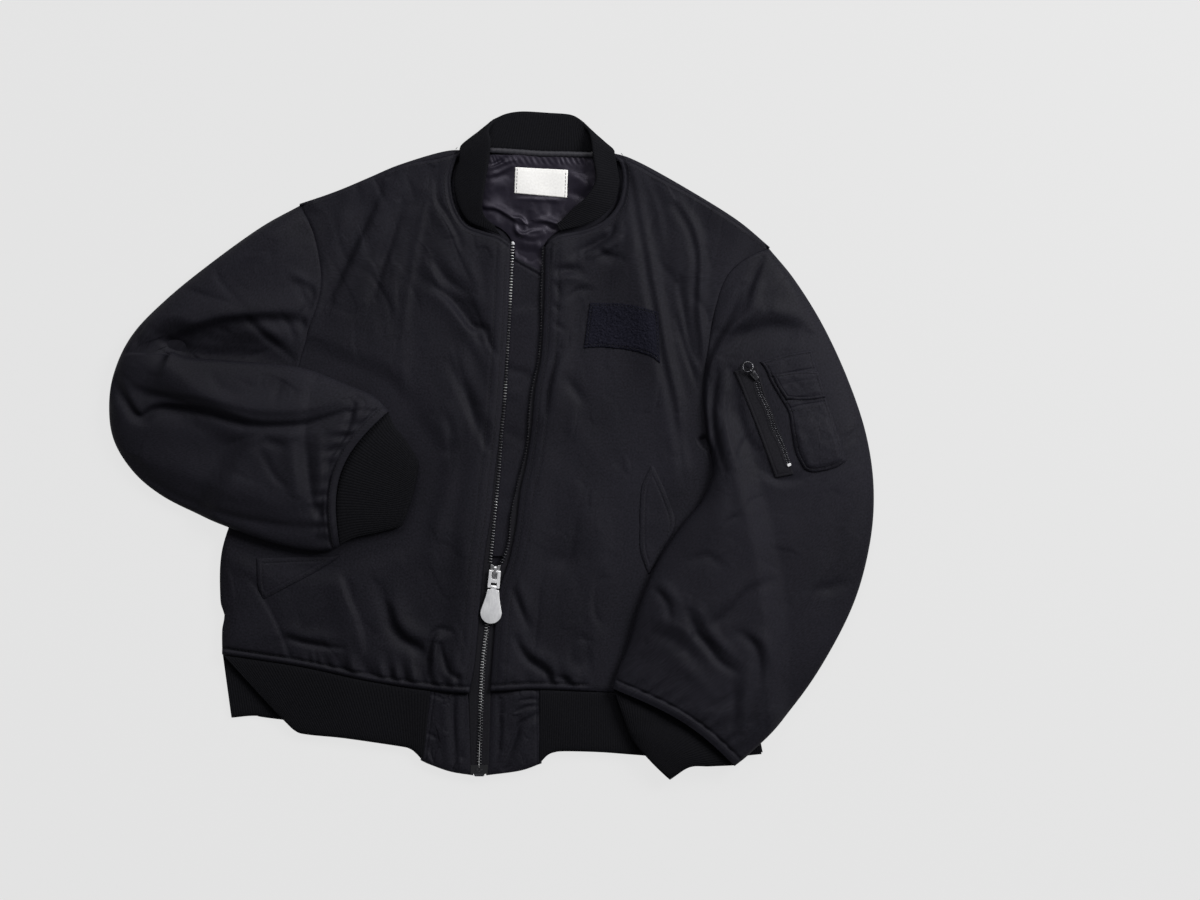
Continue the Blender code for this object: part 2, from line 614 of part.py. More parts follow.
def make_sleeve(name, sections, armhole, end_bow, base_of, folds, press_of):
    """Padded sleeve: a flattened tube whose two walls lie nearly on each other."""
    rows = smooth_rows(sections, RINGS_PER_SECTION)
    places = round_places(ROUND_POINTS)
    curve = smooth_curve(armhole, places)
    outward = np.sign(rows[3, 0] - rows[0, 0])
    shifted = curve + (outward * SEAM_GAP, 0)
    plan = bowed_plan(rows, places, shifted, end_bow)
    inset = SLEEVE_WALL / np.linalg.norm(rows[:, :2] - rows[:, 2:4], axis=1)
    inner_places = inset[:, None] + places[None] * (1 - 2 * inset[:, None])
    inner_plan = between(plan, places, inner_places)
    along = even(len(rows))[:, None]
    height = rows[:, 4][:, None] + relief(folds, plan) * ease(along, 0.02, 0.12)
    height = press_of(plan, rows[:, 5][:, None], height)
    on_top = np.clip(rows[:, 5], 0, 1)[:, None]
    base = base_of(plan) * on_top
    upper, under = ring_heights(places, height, SLEEVE_EDGE, base)
    outer = ring_loop(plan, upper, under)
    inner_base = base_of(inner_plan) * on_top + SLEEVE_WALL
    slit = SLEEVE_SLIT * np.sin(np.pi * places)[None]
    inner = ring_loop(inner_plan, inner_base + slit, inner_base)
    return tube(name, outer, inner, "shell")


def between(plan, places, wanted):
    """Plan points of each ring at other places along it."""
    rings = []
    for ring, at in zip(plan, wanted):
        rings.append(np.column_stack([np.interp(at, places, axis) for axis in ring.T]))
    return np.array(rings)


def ring_loop(plan, upper, under):
    """Closed loops: over the top from end to end, and back underneath."""
    over = at_height(plan, upper)
    back = at_height(plan, under)[:, -2:0:-1]
    return np.concatenate([over, back], axis=1)


def make_cuff(name, sections, end_bow, base_of):
    """Rib cuff: a flattened tube that starts at the sleeve-end seam."""
    rows = smooth_rows(sections, 3)
    places = round_places(ROUND_POINTS)
    along = even(len(rows))[:, None, None]
    place = places[None, :, None]
    plan = rows[:, None, :2] * (1 - place) + rows[:, None, 2:4] * place
    bow = np.sin(np.pi * places)[None, :, None] * np.array(end_bow, float)
    plan = plan + bow * (1 - CUFF_BOW_LOST * along)
    heading = rows[3, :2] + rows[3, 2:4] - rows[0, :2] - rows[0, 2:4]
    plan = plan + heading / np.linalg.norm(heading) * SEAM_GAP
    inset = CUFF_WALL / np.linalg.norm(rows[:, :2] - rows[:, 2:4], axis=1)
    inner_places = inset[:, None] + places[None] * (1 - 2 * inset[:, None])
    inner_plan = between(plan, places, inner_places)
    height = rows[:, 4][:, None] + np.zeros(plan.shape[:2])
    base = base_of(plan)
    upper, under = ring_heights(places, height, height / 2, base)
    middle = base_of(inner_plan) + height / 2
    slit = CUFF_SLIT * np.sin(np.pi * places)[None]
    return tube(name, ring_loop(plan, upper, under),
                ring_loop(inner_plan, middle + slit, middle - slit), "rib")


def body_polygon():
    """Plan outline of the body and hem, where a sleeve can lie on it."""
    left = smooth_curve(SIDE_LEFT, even(9))
    right = smooth_curve(SIDE_RIGHT, even(9))
    return np.vstack([right, [(0, 200)], left[::-1], [(289, -330), (-12, -356), (-282, -292)]])


def lower_arm_support(xy):
    """Height of the surface under the folded forearm: table, body or upper arm."""
    on_body = ON_BODY * (1 - ease(outside(BODY, xy), *DRAPE_EASE))
    on_arm = ON_ARM * (1 - ease(outside(UPPER_ARM, xy), *ARM_EASE))
    return np.maximum(on_body, on_arm)


def left_support(xy):
    """Height of the surface under the wearer's left sleeve and cuff."""
    level = ON_BODY - HEM_DROP * ease(-xy[..., 1], *HEM_EASE)
    return level * (1 - ease(outside(BODY, xy), *DRAPE_EASE))


def press_upper_arm(xy, on_top, height):
    """The upper arm is flat where the forearm lies on it."""
    free = ease(outside(FOREARM, xy), *PRESS_EASE)
    pressed = PRESSED_ARM + (height - PRESSED_ARM) * free
    return np.where(on_top > 0.1, height, np.minimum(height, pressed))


def leave_height(xy, on_top, height):
    """Nothing lies on this sleeve."""
    return height


# ------------------------------------------------------------------- hem and collar
def make_hem_piece(name, top_edge, bottom_edge, z_low, thick, columns, finish):
    """Flat piece of the hem between its seam and its lower edge."""
    high = smooth_curve(top_edge, even(columns)) - (0, SEAM_GAP)
    low = smooth_curve(bottom_edge, even(columns))
    v, rounding = np.array(HEM_ROWS).T
    v = v[:, None, None]
    rounding = rounding[:, None]
    plan = high[None] * (1 - v) + low[None] * v
    return slab(name, at_height(plan, z_low + thick + rounding), at_height(plan, z_low), finish)


def make_hem():
    """Rib hem of the back and both fronts, and the woven blocks beside the zip."""
    low = RIB_THICK + LAY_GAP
    block_right, rib_right = split_at(HEM_RIGHT, BLOCK_RIGHT_X)
    block_left, rib_left = split_at(HEM_LEFT, BLOCK_LEFT_X)
    make_hem_piece("hem_rib_back", BACK_HEM, BACK_RIB_LOW, 0.0, RIB_THICK, 16, "rib")
    make_hem_piece("hem_block_right", block_right, BLOCK_RIGHT_LOW, low, RIB_THICK, 7, "shell")
    make_hem_piece("hem_rib_right", rib_right, RIB_RIGHT_LOW, low, RIB_THICK, 18, "rib")
    make_hem_piece("hem_block_left", block_left, BLOCK_LEFT_LOW, low, RIB_THICK, 7, "shell")
    make_hem_piece("hem_rib_left", rib_left, RIB_LEFT_LOW, low, RIB_THICK, 18, "rib")


def split_at(edge, x):
    """An edge in two, with a seam gap where the block meets the rib."""
    dense = smooth_curve(edge, even(60))
    away = np.sign(dense[-1, 0] - dense[0, 0])
    near = dense[away * (dense[:, 0] - x) < -0.5]
    far = dense[away * (dense[:, 0] - x) > 0.5]
    start = np.array((x - away * SEAM_GAP / 2, near[-1, 1]))
    go_on = np.array((x + away * SEAM_GAP / 2, near[-1, 1]))
    return np.vstack([near[::3], start]), np.vstack([go_on, far[::3], dense[-1:]])


def make_collar():
    """Rib collar band, folded over at both sides of the neck."""
    rows = smooth_rows(COLLAR, 2)
    places, shares = np.array(COLLAR_ROWS).T
    across = places[None, :, None]
    seam = np.column_stack([rows[:, :2], rows[:, 4]])
    free = np.column_stack([rows[:, 2:4], rows[:, 5]])
    middle = seam[:, None] * (1 - across) + free[:, None] * across
    outer, under = thicken(middle, COLLAR_THICK * shares[None, :, None])
    outer[..., 2] = np.maximum(outer[..., 2], 0.0)
    under[..., 2] = np.maximum(under[..., 2], 0.0)
    return slab("collar_rib", outer, under, "rib")


def make_lining():
    """Lining of the back where it shows inside the neck, with a soft drape."""
    rows = smooth_rows(LINING, 2)
    across = even(11)[None]
    x = rows[:, 1, None] * (1 - across) + rows[:, 2, None] * across
    y = np.broadcast_to(rows[:, 0, None], x.shape)
    plan = np.stack([x, y], axis=-1)
    middle = (1 - np.abs(2 * across - 1) ** 3) * ease(y, 205, 235)
    wave = 0.5 * np.sin(x / 7.0 + y / 19.0) + 0.5 * np.sin(y / 9.0)
    top = FRONT_BOTTOM + 1.8 + 0.7 * middle * (1 + wave)
    return slab("back_lining", at_height(plan, top), at_height(plan, FRONT_BOTTOM), "lining")


def make_piping():
    """Rolled binding along the back neck seam."""
    points = smooth_curve(PIPING, even(13))
    z = FRONT_BOTTOM + PIPING_RADIUS
    return add_rod("neck_piping", at_height(points, z), PIPING_RADIUS, "piping", 2)


def add_rod(name, points, radius, finish, resolution):
    """Round rod along a line of points, as a mesh with filled ends."""
    line = bpy.data.curves.new(name, "CURVE")
    line.dimensions = "3D"
    line.bevel_depth = radius * MM
    line.bevel_resolution = resolution
    line.render_resolution_u = 0
    line.use_fill_caps = True
    spline = line.splines.new("POLY")
    spline.points.add(len(points) - 1)
    spline.points.foreach_set("co", np.column_stack([points * MM, np.ones(len(points))]).ravel())
    item = bpy.data.objects.new(name + "_line", line)
    bpy.context.scene.collection.objects.link(item)
    made = mesh_of(item, name, finish)
    bpy.data.objects.remove(item)
    return made


def mesh_of(item, name, finish):
    """Mesh object of an item as it is evaluated, with its doubles merged."""
    graph = bpy.context.evaluated_depsgraph_get()
    mesh = bpy.data.meshes.new_from_object(item.evaluated_get(graph))
    shape = bmesh.new()
    shape.from_mesh(mesh)
    bmesh.ops.remove_doubles(shape, verts=shape.verts, dist=0.00002)
    bmesh.ops.recalc_face_normals(shape, faces=shape.faces)
    shape.to_mesh(mesh)
    shape.free()
    mesh.materials.clear()
    mesh.materials.append(MATERIALS[finish])
    made = bpy.data.objects.new(name, mesh)
    made.matrix_world = item.matrix_world
    PART.objects.link(made)
    return made


# --------------------------------------------------------------- zip and wind flap
def make_tape(name, centre, hem_foot, teeth, side):
    """Woven zip tape between a front's edge and its row of teeth."""
    on_front = smooth_curve(centre, even(ZIP_ROWS + 1))
    on_hem = np.linspace(hem_foot, on_front[0], 5)[:-1]
    edge = np.vstack([on_hem, on_front]) + (side * SEAM_GAP, 0)
    row = smooth_curve(teeth, even(80))
    chain = np.column_stack([np.interp(edge[:, 1], row[:, 1], row[:, 0]), edge[:, 1]])
    chain = chain - (side * SEAM_GAP / 2, 0)
    plan = np.stack([edge, chain], axis=1)
    drop = TAPE_DROP * ease(-plan[..., 1], *TAPE_EASE)
    return slab(name, at_height(plan, TAPE_Z + TAPE_THICK - drop),
                at_height(plan, TAPE_Z - drop), "tape")


def make_wind_flap():
    """Quilted flap behind the open zip, raised in diamonds where it shows."""
    y = np.linspace(FLAP_TOP, FLAP_FOOT, 33)
    right_edge = smooth_curve(CENTRE_RIGHT, even(60))
    left_edge = smooth_curve(CENTRE_LEFT, even(60))
    low = np.interp(y, right_edge[:, 1], right_edge[:, 0]) - FLAP_UNDER
    high = np.interp(y, left_edge[:, 1], left_edge[:, 0]) + FLAP_UNDER
    across = even(8)
    x = low[:, None] * (1 - across) + high[:, None] * across
    middle_x = (low[0] + high[0]) / 2
    top_slope = -FLAP_SLANT * (x - middle_x) * (1 - ease(FLAP_TOP - y[:, None], 0, 40))
    y_all = np.broadcast_to(y[:, None], x.shape) + np.clip(top_slope, -9, 4)
    plan = np.stack([x, y_all], axis=-1)
    turn = np.pi / 2 / DIAMOND
    diamonds = np.abs(np.sin((x + y_all) * turn) * np.sin((x - y_all) * turn))
    shows = ease(across, 0.1, 0.3) * (1 - ease(across, 0.7, 0.9))
    top = FRONT_BOTTOM + FLAP_THICK + DIAMOND_RISE * np.sqrt(diamonds) * shows[None]
    return slab("wind_flap", at_height(plan, top), at_height(plan, FRONT_BOTTOM), "shell")


# ------------------------------------------------------------ pieces laid on panels
def surface_tree(item):
    """Search tree of an object's faces, in millimetres."""
    mesh = item.data
    points = [tuple(v.co / MM) for v in mesh.vertices]
    faces = [tuple(p.vertices) for p in mesh.polygons]
    return BVHTree.FromPolygons(points, faces)


def height_on(tree, xy):
    """Height of a surface at each plan point."""
    flat = xy.reshape(-1, 2)
    down = Vector((0, 0, -1))
    found = []
    for x, y in flat:
        hit = tree.ray_cast(Vector((x, y, 200)), down)[0]
        found.append(hit.z if hit else 0.0)
    return np.array(found).reshape(xy.shape[:-1])


def laid_on(name, tree, corners, shape, thick, finish, bulge=0.0, rise=LAY_GAP):
    """Piece of cloth that follows the surface it is sewn to, moved out of it."""
    rows, columns = shape
    c = np.array(corners, float)
    v = even(rows)[:, None, None]
    u = even(columns)[None, :, None]
    plan = (1 - v) * ((1 - u) * c[0] + u * c[1]) + v * ((1 - u) * c[3] + u * c[2])
    seen = height_on(tree, plan)
    for shift in ((8, 0), (-8, 0), (0, 8), (0, -8), (5, 5), (-5, 5), (5, -5), (-5, -5)):
        seen = np.maximum(seen, height_on(tree, plan + shift))
    base = seen + rise
    puff = bulge * np.sqrt(np.sin(np.pi * v[..., 0]) * np.sin(np.pi * u[..., 0]))
    return slab(name, at_height(plan, base + thick + puff), at_height(plan, base), finish)


# ---------------------------------------------------------------------- metalware
def local_frame(at, lean, z):
    """Frame of a zip: X across it, Y towards its open end, Z out of the cloth."""
    place = Matrix.Translation(Vector((at[0], at[1], z)) * MM)
    return place @ Matrix.Rotation(lean, 4, "Z")


def block(name, size, at, bevel, group):
    """Box with rounded edges, from its size and centre in its own frame."""
    mesh = bpy.data.meshes.new(name)
    shape = bmesh.new()
    bmesh.ops.create_cube(shape, size=1)
    bmesh.ops.scale(shape, vec=Vector(size) * MM, verts=shape.verts)
    if bevel:
        bmesh.ops.bevel(shape, geom=shape.edges[:], offset=bevel * MM, segments=1,
                        affect="EDGES", clamp_overlap=True)
    bmesh.ops.translate(shape, vec=Vector(at) * MM, verts=shape.verts)
    shape.to_mesh(mesh)
    shape.free()
    item = bpy.data.objects.new(name, mesh)
    group.objects.link(item)
    return item


def rod_across(name, radius, length, at, group, segments=10):
    """Rod that lies across the zip."""
    mesh = bpy.data.meshes.new(name)
    shape = bmesh.new()
    bmesh.ops.create_cone(shape, cap_ends=True, segments=segments, radius1=radius * MM,
                          radius2=radius * MM, depth=length * MM)
    bmesh.ops.rotate(shape, matrix=Matrix.Rotation(math.pi / 2, 3, "Y"), verts=shape.verts)
    bmesh.ops.translate(shape, vec=Vector(at) * MM, verts=shape.verts)
    shape.to_mesh(mesh)
    shape.free()
    item = bpy.data.objects.new(name, mesh)
    group.objects.link(item)
    return item


def fuse(item, others, operation="UNION"):
    """Boolean of an item with others, which become hidden cutters in its frame."""
    for other in others:
        other.parent = item
        other.hide_render = True
        other.display_type = "WIRE"
        joint = item.modifiers.new(other.name, "BOOLEAN")
        joint.operation = operation
        joint.solver = "EXACT"
        joint.object = other


def teardrop(name, group):
    """Flat teardrop plate, wide at its free end, with its neck at the origin."""
    line = bpy.data.curves.new(name, "CURVE")
    line.dimensions = "2D"
    line.fill_mode = "BOTH"
    line.extrude = TAB_THICK / 2 * MM
    line.render_resolution_u = 0
    spline = line.splines.new("POLY")
    wide = TAB_WIDTH / 2
    centre = -(TAB_LENGTH - wide)
    turn = np.linspace(math.radians(-25), math.radians(205), 17)
    x = wide * np.cos(turn)
    y = centre - wide * np.sin(turn)
    neck = NECK_WIDTH / 2 - TAB_NECK_LESS
    outline = np.vstack([[(neck, 0)], np.column_stack([x, y]), [(-neck, 0)]])
    spline.points.add(len(outline) - 1)
    flat = np.column_stack([outline * MM, np.zeros(len(outline)), np.ones(len(outline))])
    spline.points.foreach_set("co", flat.ravel())
    spline.use_cyclic_u = True
    item = bpy.data.objects.new(name, line)
    group.objects.link(item)
    return item


def make_slider(frame):
    """Main zip slider: top plate and the bridge that the pull's rod runs under."""
    plate_thick = SLIDER_PLATE[2]
    plate = block("zip_slider", SLIDER_PLATE, (0, 0, plate_thick / 2), PLATE_BEVEL, PART)
    low = plate_thick - LEG_SUNK
    under = ROD_Z + ROD_RADIUS + BRIDGE_CLEAR
    high = under + BRIDGE_THICK - 0.1
    legs = [block("slider_leg_" + side, (BRIDGE_WIDTH, LEG_LENGTH, high - low),
                  (0, y, (high + low) / 2), 0, CUTTERS)
            for side, y in (("top", LEG_TOP_Y), ("foot", LEG_FOOT_Y))]
    span = block("slider_span", (BRIDGE_WIDTH, BRIDGE_LENGTH, BRIDGE_THICK),
                 (0, ROD_Y, under + BRIDGE_THICK / 2), 0, CUTTERS)
    fuse(plate, legs + [span])
    plate.matrix_world = frame
    plate.data.materials.append(MATERIALS["steel"])
    return plate


def make_link(frame):
    """Link that swings on a rod under the slider's bridge and carries the tab."""
    half = LINK_WIDTH / 2
    rail = half - LINK_SLOT / 2
    across = LINK_WIDTH - LINK_SHORTER
    rod = rod_across("zip_link", ROD_RADIUS, across, (0, 0, 0), PART)
    rail_length = LINK_LENGTH + 2 * (LINK_THICK - 0.3)
    rails = [block("link_rail_" + side, (rail, rail_length, LINK_THICK),
                   (x * (half - rail / 2), -LINK_LENGTH / 2, 0), 0, CUTTERS)
             for side, x in (("right", -1), ("left", 1))]
    web = block("link_web", (across, WEB_LENGTH, LINK_THICK - 0.1),
                (0, WEB_FROM_PIN - LINK_LENGTH, 0), 0, CUTTERS)
    pin = rod_across("link_pin", ROD_RADIUS - 0.1, across, (0, -LINK_LENGTH, 0), CUTTERS)
    fuse(rod, rails + [web, pin])
    rod.matrix_world = frame
    rod.data.materials.append(MATERIALS["steel"])
    return rod


def make_tab(frame):
    """Teardrop tab with an eye that turns on the link's pin."""
    eye = rod_across("zip_tab", EYE_RADIUS, NECK_WIDTH, (0, 0, 0), PART, 12)
    leaf_line = teardrop("tab_outline", CUTTERS)
    leaf = mesh_of(leaf_line, "tab_leaf", "steel")
    bpy.data.objects.remove(leaf_line)
    PART.objects.unlink(leaf)
    CUTTERS.objects.link(leaf)
    for vertex in leaf.data.vertices:
        vertex.co += Vector(TAB_SHIFT) * MM
    hole = rod_across("tab_hole", ROD_RADIUS + PIN_CLEAR, NECK_WIDTH + 4, (0, 0, 0), CUTTERS, 12)
    fuse(eye, [leaf])
    fuse(eye, [hole], "DIFFERENCE")
    eye.matrix_world = frame
    eye.data.materials.append(MATERIALS["steel"])
    return eye


def ring_mesh(name, radius, wire, group, segments, sides):
    """Torus that lies flat at the origin."""
    bpy.ops.mesh.primitive_torus_add(major_radius=radius * MM, minor_radius=wire * MM,
                                     major_segments=segments, minor_segments=sides)
    item = bpy.context.object
    item.name = name
    for owner in list(item.users_collection):
        owner.objects.unlink(item)
    group.objects.link(item)
    return item


def make_pocket_slider(frame):
    """Slider of the sleeve pocket zip, with the upright eye that holds its ring."""
    plate = block("pocket_slider", POCKET_PLATE, (0, 0, POCKET_PLATE[2] / 2), POCKET_BEVEL, PART)
    eye = ring_mesh("pocket_slider_eye", POCKET_EYE_RADIUS, POCKET_EYE_WIRE, CUTTERS, 14, 6)
    eye.data.transform(Matrix.Rotation(math.pi / 2, 4, "Y"))
    eye.data.transform(Matrix.Translation(Vector((0, POCKET_EYE_Y, POCKET_EYE_Z)) * MM))
    fuse(plate, [eye])
    plate.matrix_world = frame
    plate.data.materials.append(MATERIALS["steel"])
    return plate


def make_pocket_ring(frame):
    """Ring pull: a torus through the slider's eye, turned about that point."""
    ring = ring_mesh("pocket_ring", RING_RADIUS, RING_WIRE, PART, 20, 8)
    ring.data.transform(Matrix.Translation(Vector((0, RING_RADIUS, 0)) * MM))
    ring.matrix_world = frame
    ring.data.materials.append(MATERIALS["steel"])
    return ring


def make_zip_box():
    """Box at the foot of the zip that holds both rows of teeth."""
    frame = local_frame(ZIP_BOX_AT, 0, ZIP_BOX_Z)
    item = block("zip_box", ZIP_BOX, (0, 0, ZIP_BOX[2] / 2), BOX_BEVEL, PART)
    item.matrix_world = frame
    item.data.materials.append(MATERIALS["steel"])
    return item


# ----------------------------------------------------------------------- build
clear_scene()
PART = make_collection("flight_jacket")
CUTTERS = make_collection("cutters")
MATERIALS = make_materials()
BODY = body_polygon()
UPPER_ARM = np.vstack([smooth_rows(SLEEVE_RIGHT[:5], 3)[:, :2],
                       smooth_rows(SLEEVE_RIGHT[:5], 3)[::-1, 2:4],
                       smooth_curve(ARMHOLE_RIGHT, even(8))[::-1]])
FOREARM = sleeve_outline(SLEEVE_RIGHT[6:])
CUFF_OVER_RIGHT = sleeve_outline(CUFF_RIGHT)
LEFT_SLEEVE_OVER = sleeve_outline(SLEEVE_LEFT)
CUFF_OVER_LEFT = sleeve_outline(CUFF_LEFT)

make_back()
FRONT_R = make_front("front_right", CENTRE_RIGHT, NECK_RIGHT, SHOULDER_RIGHT, ARMHOLE_RIGHT,
                     SIDE_RIGHT, HEM_RIGHT, FOLDS_FRONT_RIGHT, [FOREARM, CUFF_OVER_RIGHT])
FRONT_L = make_front("front_left", CENTRE_LEFT, NECK_LEFT, SHOULDER_LEFT, ARMHOLE_LEFT,
                     SIDE_LEFT, HEM_LEFT, FOLDS_FRONT_LEFT, [LEFT_SLEEVE_OVER, CUFF_OVER_LEFT])
make_sleeve("sleeve_right", SLEEVE_RIGHT, ARMHOLE_RIGHT, END_BOW_RIGHT, lower_arm_support,
            FOLDS_SLEEVE_RIGHT, press_upper_arm)
ARM_L = make_sleeve("sleeve_left", SLEEVE_LEFT, ARMHOLE_LEFT, END_BOW_LEFT, left_support,
                    FOLDS_SLEEVE_LEFT, leave_height)
make_cuff("cuff_right", CUFF_RIGHT, END_BOW_RIGHT, lower_arm_support)
make_cuff("cuff_left", CUFF_LEFT, END_BOW_LEFT, left_support)
make_hem()
make_collar()
LINING_PIECE = make_lining()
make_piping()
make_tape("zip_tape_right", CENTRE_RIGHT, TAPE_FOOT_RIGHT, TEETH_RIGHT, 1)
make_tape("zip_tape_left", CENTRE_LEFT, TAPE_FOOT_LEFT, TEETH_LEFT, -1)
make_wind_flap()
make_zip_box()

FRONT_R_TOP = surface_tree(FRONT_R)
FRONT_L_TOP = surface_tree(FRONT_L)
ARM_L_TOP = surface_tree(ARM_L)
LINING_TOP = surface_tree(LINING_PIECE)
laid_on("label", LINING_TOP, LABEL_CORNERS, (4, 7), 0.8, "label")
laid_on("chest_patch", FRONT_L_TOP, PATCH_CORNERS, (7, 9), 1.6, "patch", rise=0.8)
laid_on("pocket_flap_right", FRONT_R_TOP, FLAP_RIGHT_EDGES, (5, 7), 2.2, "shell")
laid_on("pocket_flap_left", FRONT_L_TOP, FLAP_LEFT_EDGES, (7, 4), 2.2, "shell")
TAPE_PIECE = laid_on("pocket_zip_tape", ARM_L_TOP, SLEEVE_TAPE_CORNERS, (8, 3), 1.4, "tape")
POCKET_PIECE = laid_on("sleeve_pocket", ARM_L_TOP, POCKET_CORNERS, (9, 6), 2.6, "shell", 2.5)
laid_on("pen_pocket", surface_tree(POCKET_PIECE), PEN_PANEL_CORNERS, (4, 5), 1.6, "shell")

MAIN_ZIP = local_frame(SLIDER_AT, ZIP_LEAN, TAPE_Z + TAPE_THICK + LAY_GAP)
make_slider(MAIN_ZIP)
ROD_PLACE = MAIN_ZIP @ Matrix.Translation(Vector((0, ROD_Y, ROD_Z)) * MM)
make_link(ROD_PLACE)
PIN_PLACE = ROD_PLACE @ Matrix.Translation(Vector((0, -LINK_LENGTH, 0)) * MM)
make_tab(PIN_PLACE)
TAPE_TOP = surface_tree(TAPE_PIECE)
POCKET_Z = max(height_on(TAPE_TOP, np.array(POCKET_SLIDER_AT)[None])[0],
               height_on(ARM_L_TOP, np.array(POCKET_SLIDER_AT)[None])[0]) + POCKET_CLEAR
POCKET_ZIP = local_frame(POCKET_SLIDER_AT, POCKET_ZIP_LEAN, POCKET_Z)
make_pocket_slider(POCKET_ZIP)
RING_PLACE = (POCKET_ZIP @ Matrix.Translation(Vector((0, POCKET_EYE_Y, POCKET_EYE_Z)) * MM)
              @ Matrix.Rotation(RING_TILT, 4, "X"))
make_pocket_ring(RING_PLACE)
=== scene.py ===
# %% [markdown]
# # A padded flight jacket, laid flat
#
# This lesson dresses a plain model of a flight jacket: a black nylon shell with a
# thin padding, rib-knit collar, cuffs and hem, a satin lining and a metal zip.
# The jacket lies on its back.  One sleeve is folded at the elbow over the front,
# the other lies beside the body.  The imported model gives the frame: its pieces,
# their places and the joints of the three pulls.

# %% Load the frame
import math
from collections import namedtuple

import bmesh
import bpy
import numpy as np
from mathutils import Matrix
from mathutils import Vector
from mathutils.bvhtree import BVHTree


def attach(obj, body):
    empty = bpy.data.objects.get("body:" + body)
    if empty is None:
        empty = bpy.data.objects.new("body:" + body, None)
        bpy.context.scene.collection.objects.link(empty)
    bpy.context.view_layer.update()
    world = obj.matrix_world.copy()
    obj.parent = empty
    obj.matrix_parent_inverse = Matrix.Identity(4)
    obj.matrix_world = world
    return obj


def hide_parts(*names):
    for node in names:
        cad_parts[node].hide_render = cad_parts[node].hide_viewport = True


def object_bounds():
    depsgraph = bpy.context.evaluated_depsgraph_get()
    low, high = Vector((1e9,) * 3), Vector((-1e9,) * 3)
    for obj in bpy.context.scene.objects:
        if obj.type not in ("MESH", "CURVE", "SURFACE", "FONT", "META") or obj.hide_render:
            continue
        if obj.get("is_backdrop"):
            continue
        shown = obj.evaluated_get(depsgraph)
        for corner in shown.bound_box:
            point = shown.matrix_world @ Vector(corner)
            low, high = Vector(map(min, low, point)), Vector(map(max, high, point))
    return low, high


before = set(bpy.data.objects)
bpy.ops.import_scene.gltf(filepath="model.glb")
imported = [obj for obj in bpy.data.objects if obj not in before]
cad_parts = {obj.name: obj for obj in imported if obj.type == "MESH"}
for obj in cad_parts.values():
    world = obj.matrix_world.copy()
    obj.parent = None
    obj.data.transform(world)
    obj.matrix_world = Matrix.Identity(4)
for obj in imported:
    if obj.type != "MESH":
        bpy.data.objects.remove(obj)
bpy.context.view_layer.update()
MM = 0.001

# %% [markdown]
# ## Camera, floor and light
#
# The picture looks straight down on the jacket.  A 100 mm lens from 3.6 m away
# keeps the perspective as flat as a product picture has it.  The light is a dim
# pale room with two soft boxes, one beyond the collar and one beside the left
# sleeve, so that each fold has a soft bright side and a dark one.  The floor glows
# a little, which keeps it an even pale grey right up to the cloth.

# %% Stage
VIEW_CENTRE = (0.1177, -0.0049)
VIEW_HEIGHT = 3.615
LENS = 100.0
Lamp = namedtuple("Lamp", "name place size watts")
LAMPS = [
    Lamp("softbox_right", (1.45, 0.9, 1.35), 1.0, 44.0),
    Lamp("softbox_collar", (-0.2, 2.3, 1.9), 1.4, 38.0),
]
LAMP_AIM = (0.05, 0.0, 0.0)
SENSOR_WIDTH = 36.0
ROOM_COLOUR = (0.96, 0.97, 1.0, 1)
ROOM_LIGHT = 0.18
FLOOR_SIZE = 12
FLOOR_GREY = 0.04
FLOOR_ROUGH = 0.95
FLOOR_GLOW = (0.777, 0.777, 0.777, 1)
GLOW_STRENGTH = 0.955


def set_stage():
    """Camera straight above the jacket, pale floor, two soft boxes and a dim pale room."""
    scene = bpy.context.scene
    scene.view_settings.view_transform = "Standard"
    lens = bpy.data.cameras.new("camera")
    lens.lens = LENS
    lens.sensor_width = SENSOR_WIDTH
    camera = bpy.data.objects.new("camera", lens)
    camera.location = (*VIEW_CENTRE, VIEW_HEIGHT)
    scene.collection.objects.link(camera)
    scene.camera = camera
    for lamp in LAMPS:
        light = bpy.data.lights.new(lamp.name, "AREA")
        light.shape = "DISK"
        light.size = lamp.size
        light.energy = lamp.watts
        item = bpy.data.objects.new(lamp.name, light)
        item.location = lamp.place
        aim = Vector(LAMP_AIM) - Vector(lamp.place)
        item.rotation_euler = aim.to_track_quat("-Z", "Y").to_euler()
        scene.collection.objects.link(item)
    world = bpy.data.worlds.new("room")
    world.use_nodes = True
    background = world.node_tree.nodes["Background"]
    background.inputs["Color"].default_value = ROOM_COLOUR
    background.inputs["Strength"].default_value = ROOM_LIGHT
    scene.world = world
    bpy.ops.mesh.primitive_plane_add(size=FLOOR_SIZE, location=(0, 0, 0))
    floor = bpy.context.object
    floor.name = "floor"
    paint = bpy.data.materials.new("floor_paint")
    paint.use_nodes = True
    shader = paint.node_tree.nodes["Principled BSDF"]
    shader.inputs["Base Color"].default_value = (FLOOR_GREY, FLOOR_GREY, FLOOR_GREY, 1)
    shader.inputs["Roughness"].default_value = FLOOR_ROUGH
    shader.inputs["Specular IOR Level"].default_value = 0.0
    shader.inputs["Emission Color"].default_value = FLOOR_GLOW
    shader.inputs["Emission Strength"].default_value = GLOW_STRENGTH
    floor.data.materials.append(paint)
    floor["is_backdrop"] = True


set_stage()
print("camera at", tuple(bpy.context.scene.camera.location))

# %% [markdown]
# ## Curves and grids
#
# Every cloth piece is a grid of points: rows along the piece, columns across it.
# A few helpers turn short tables of plan points into smooth curves, fill four
# curves with a grid, and measure how far each grid point is from a seam.  They
# work on whole arrays, so a grid of fifty thousand points takes a moment only.

# %% Curves


def even(count):
    """Fractions 0 to 1 in even steps."""
    return np.linspace(0, 1, count)


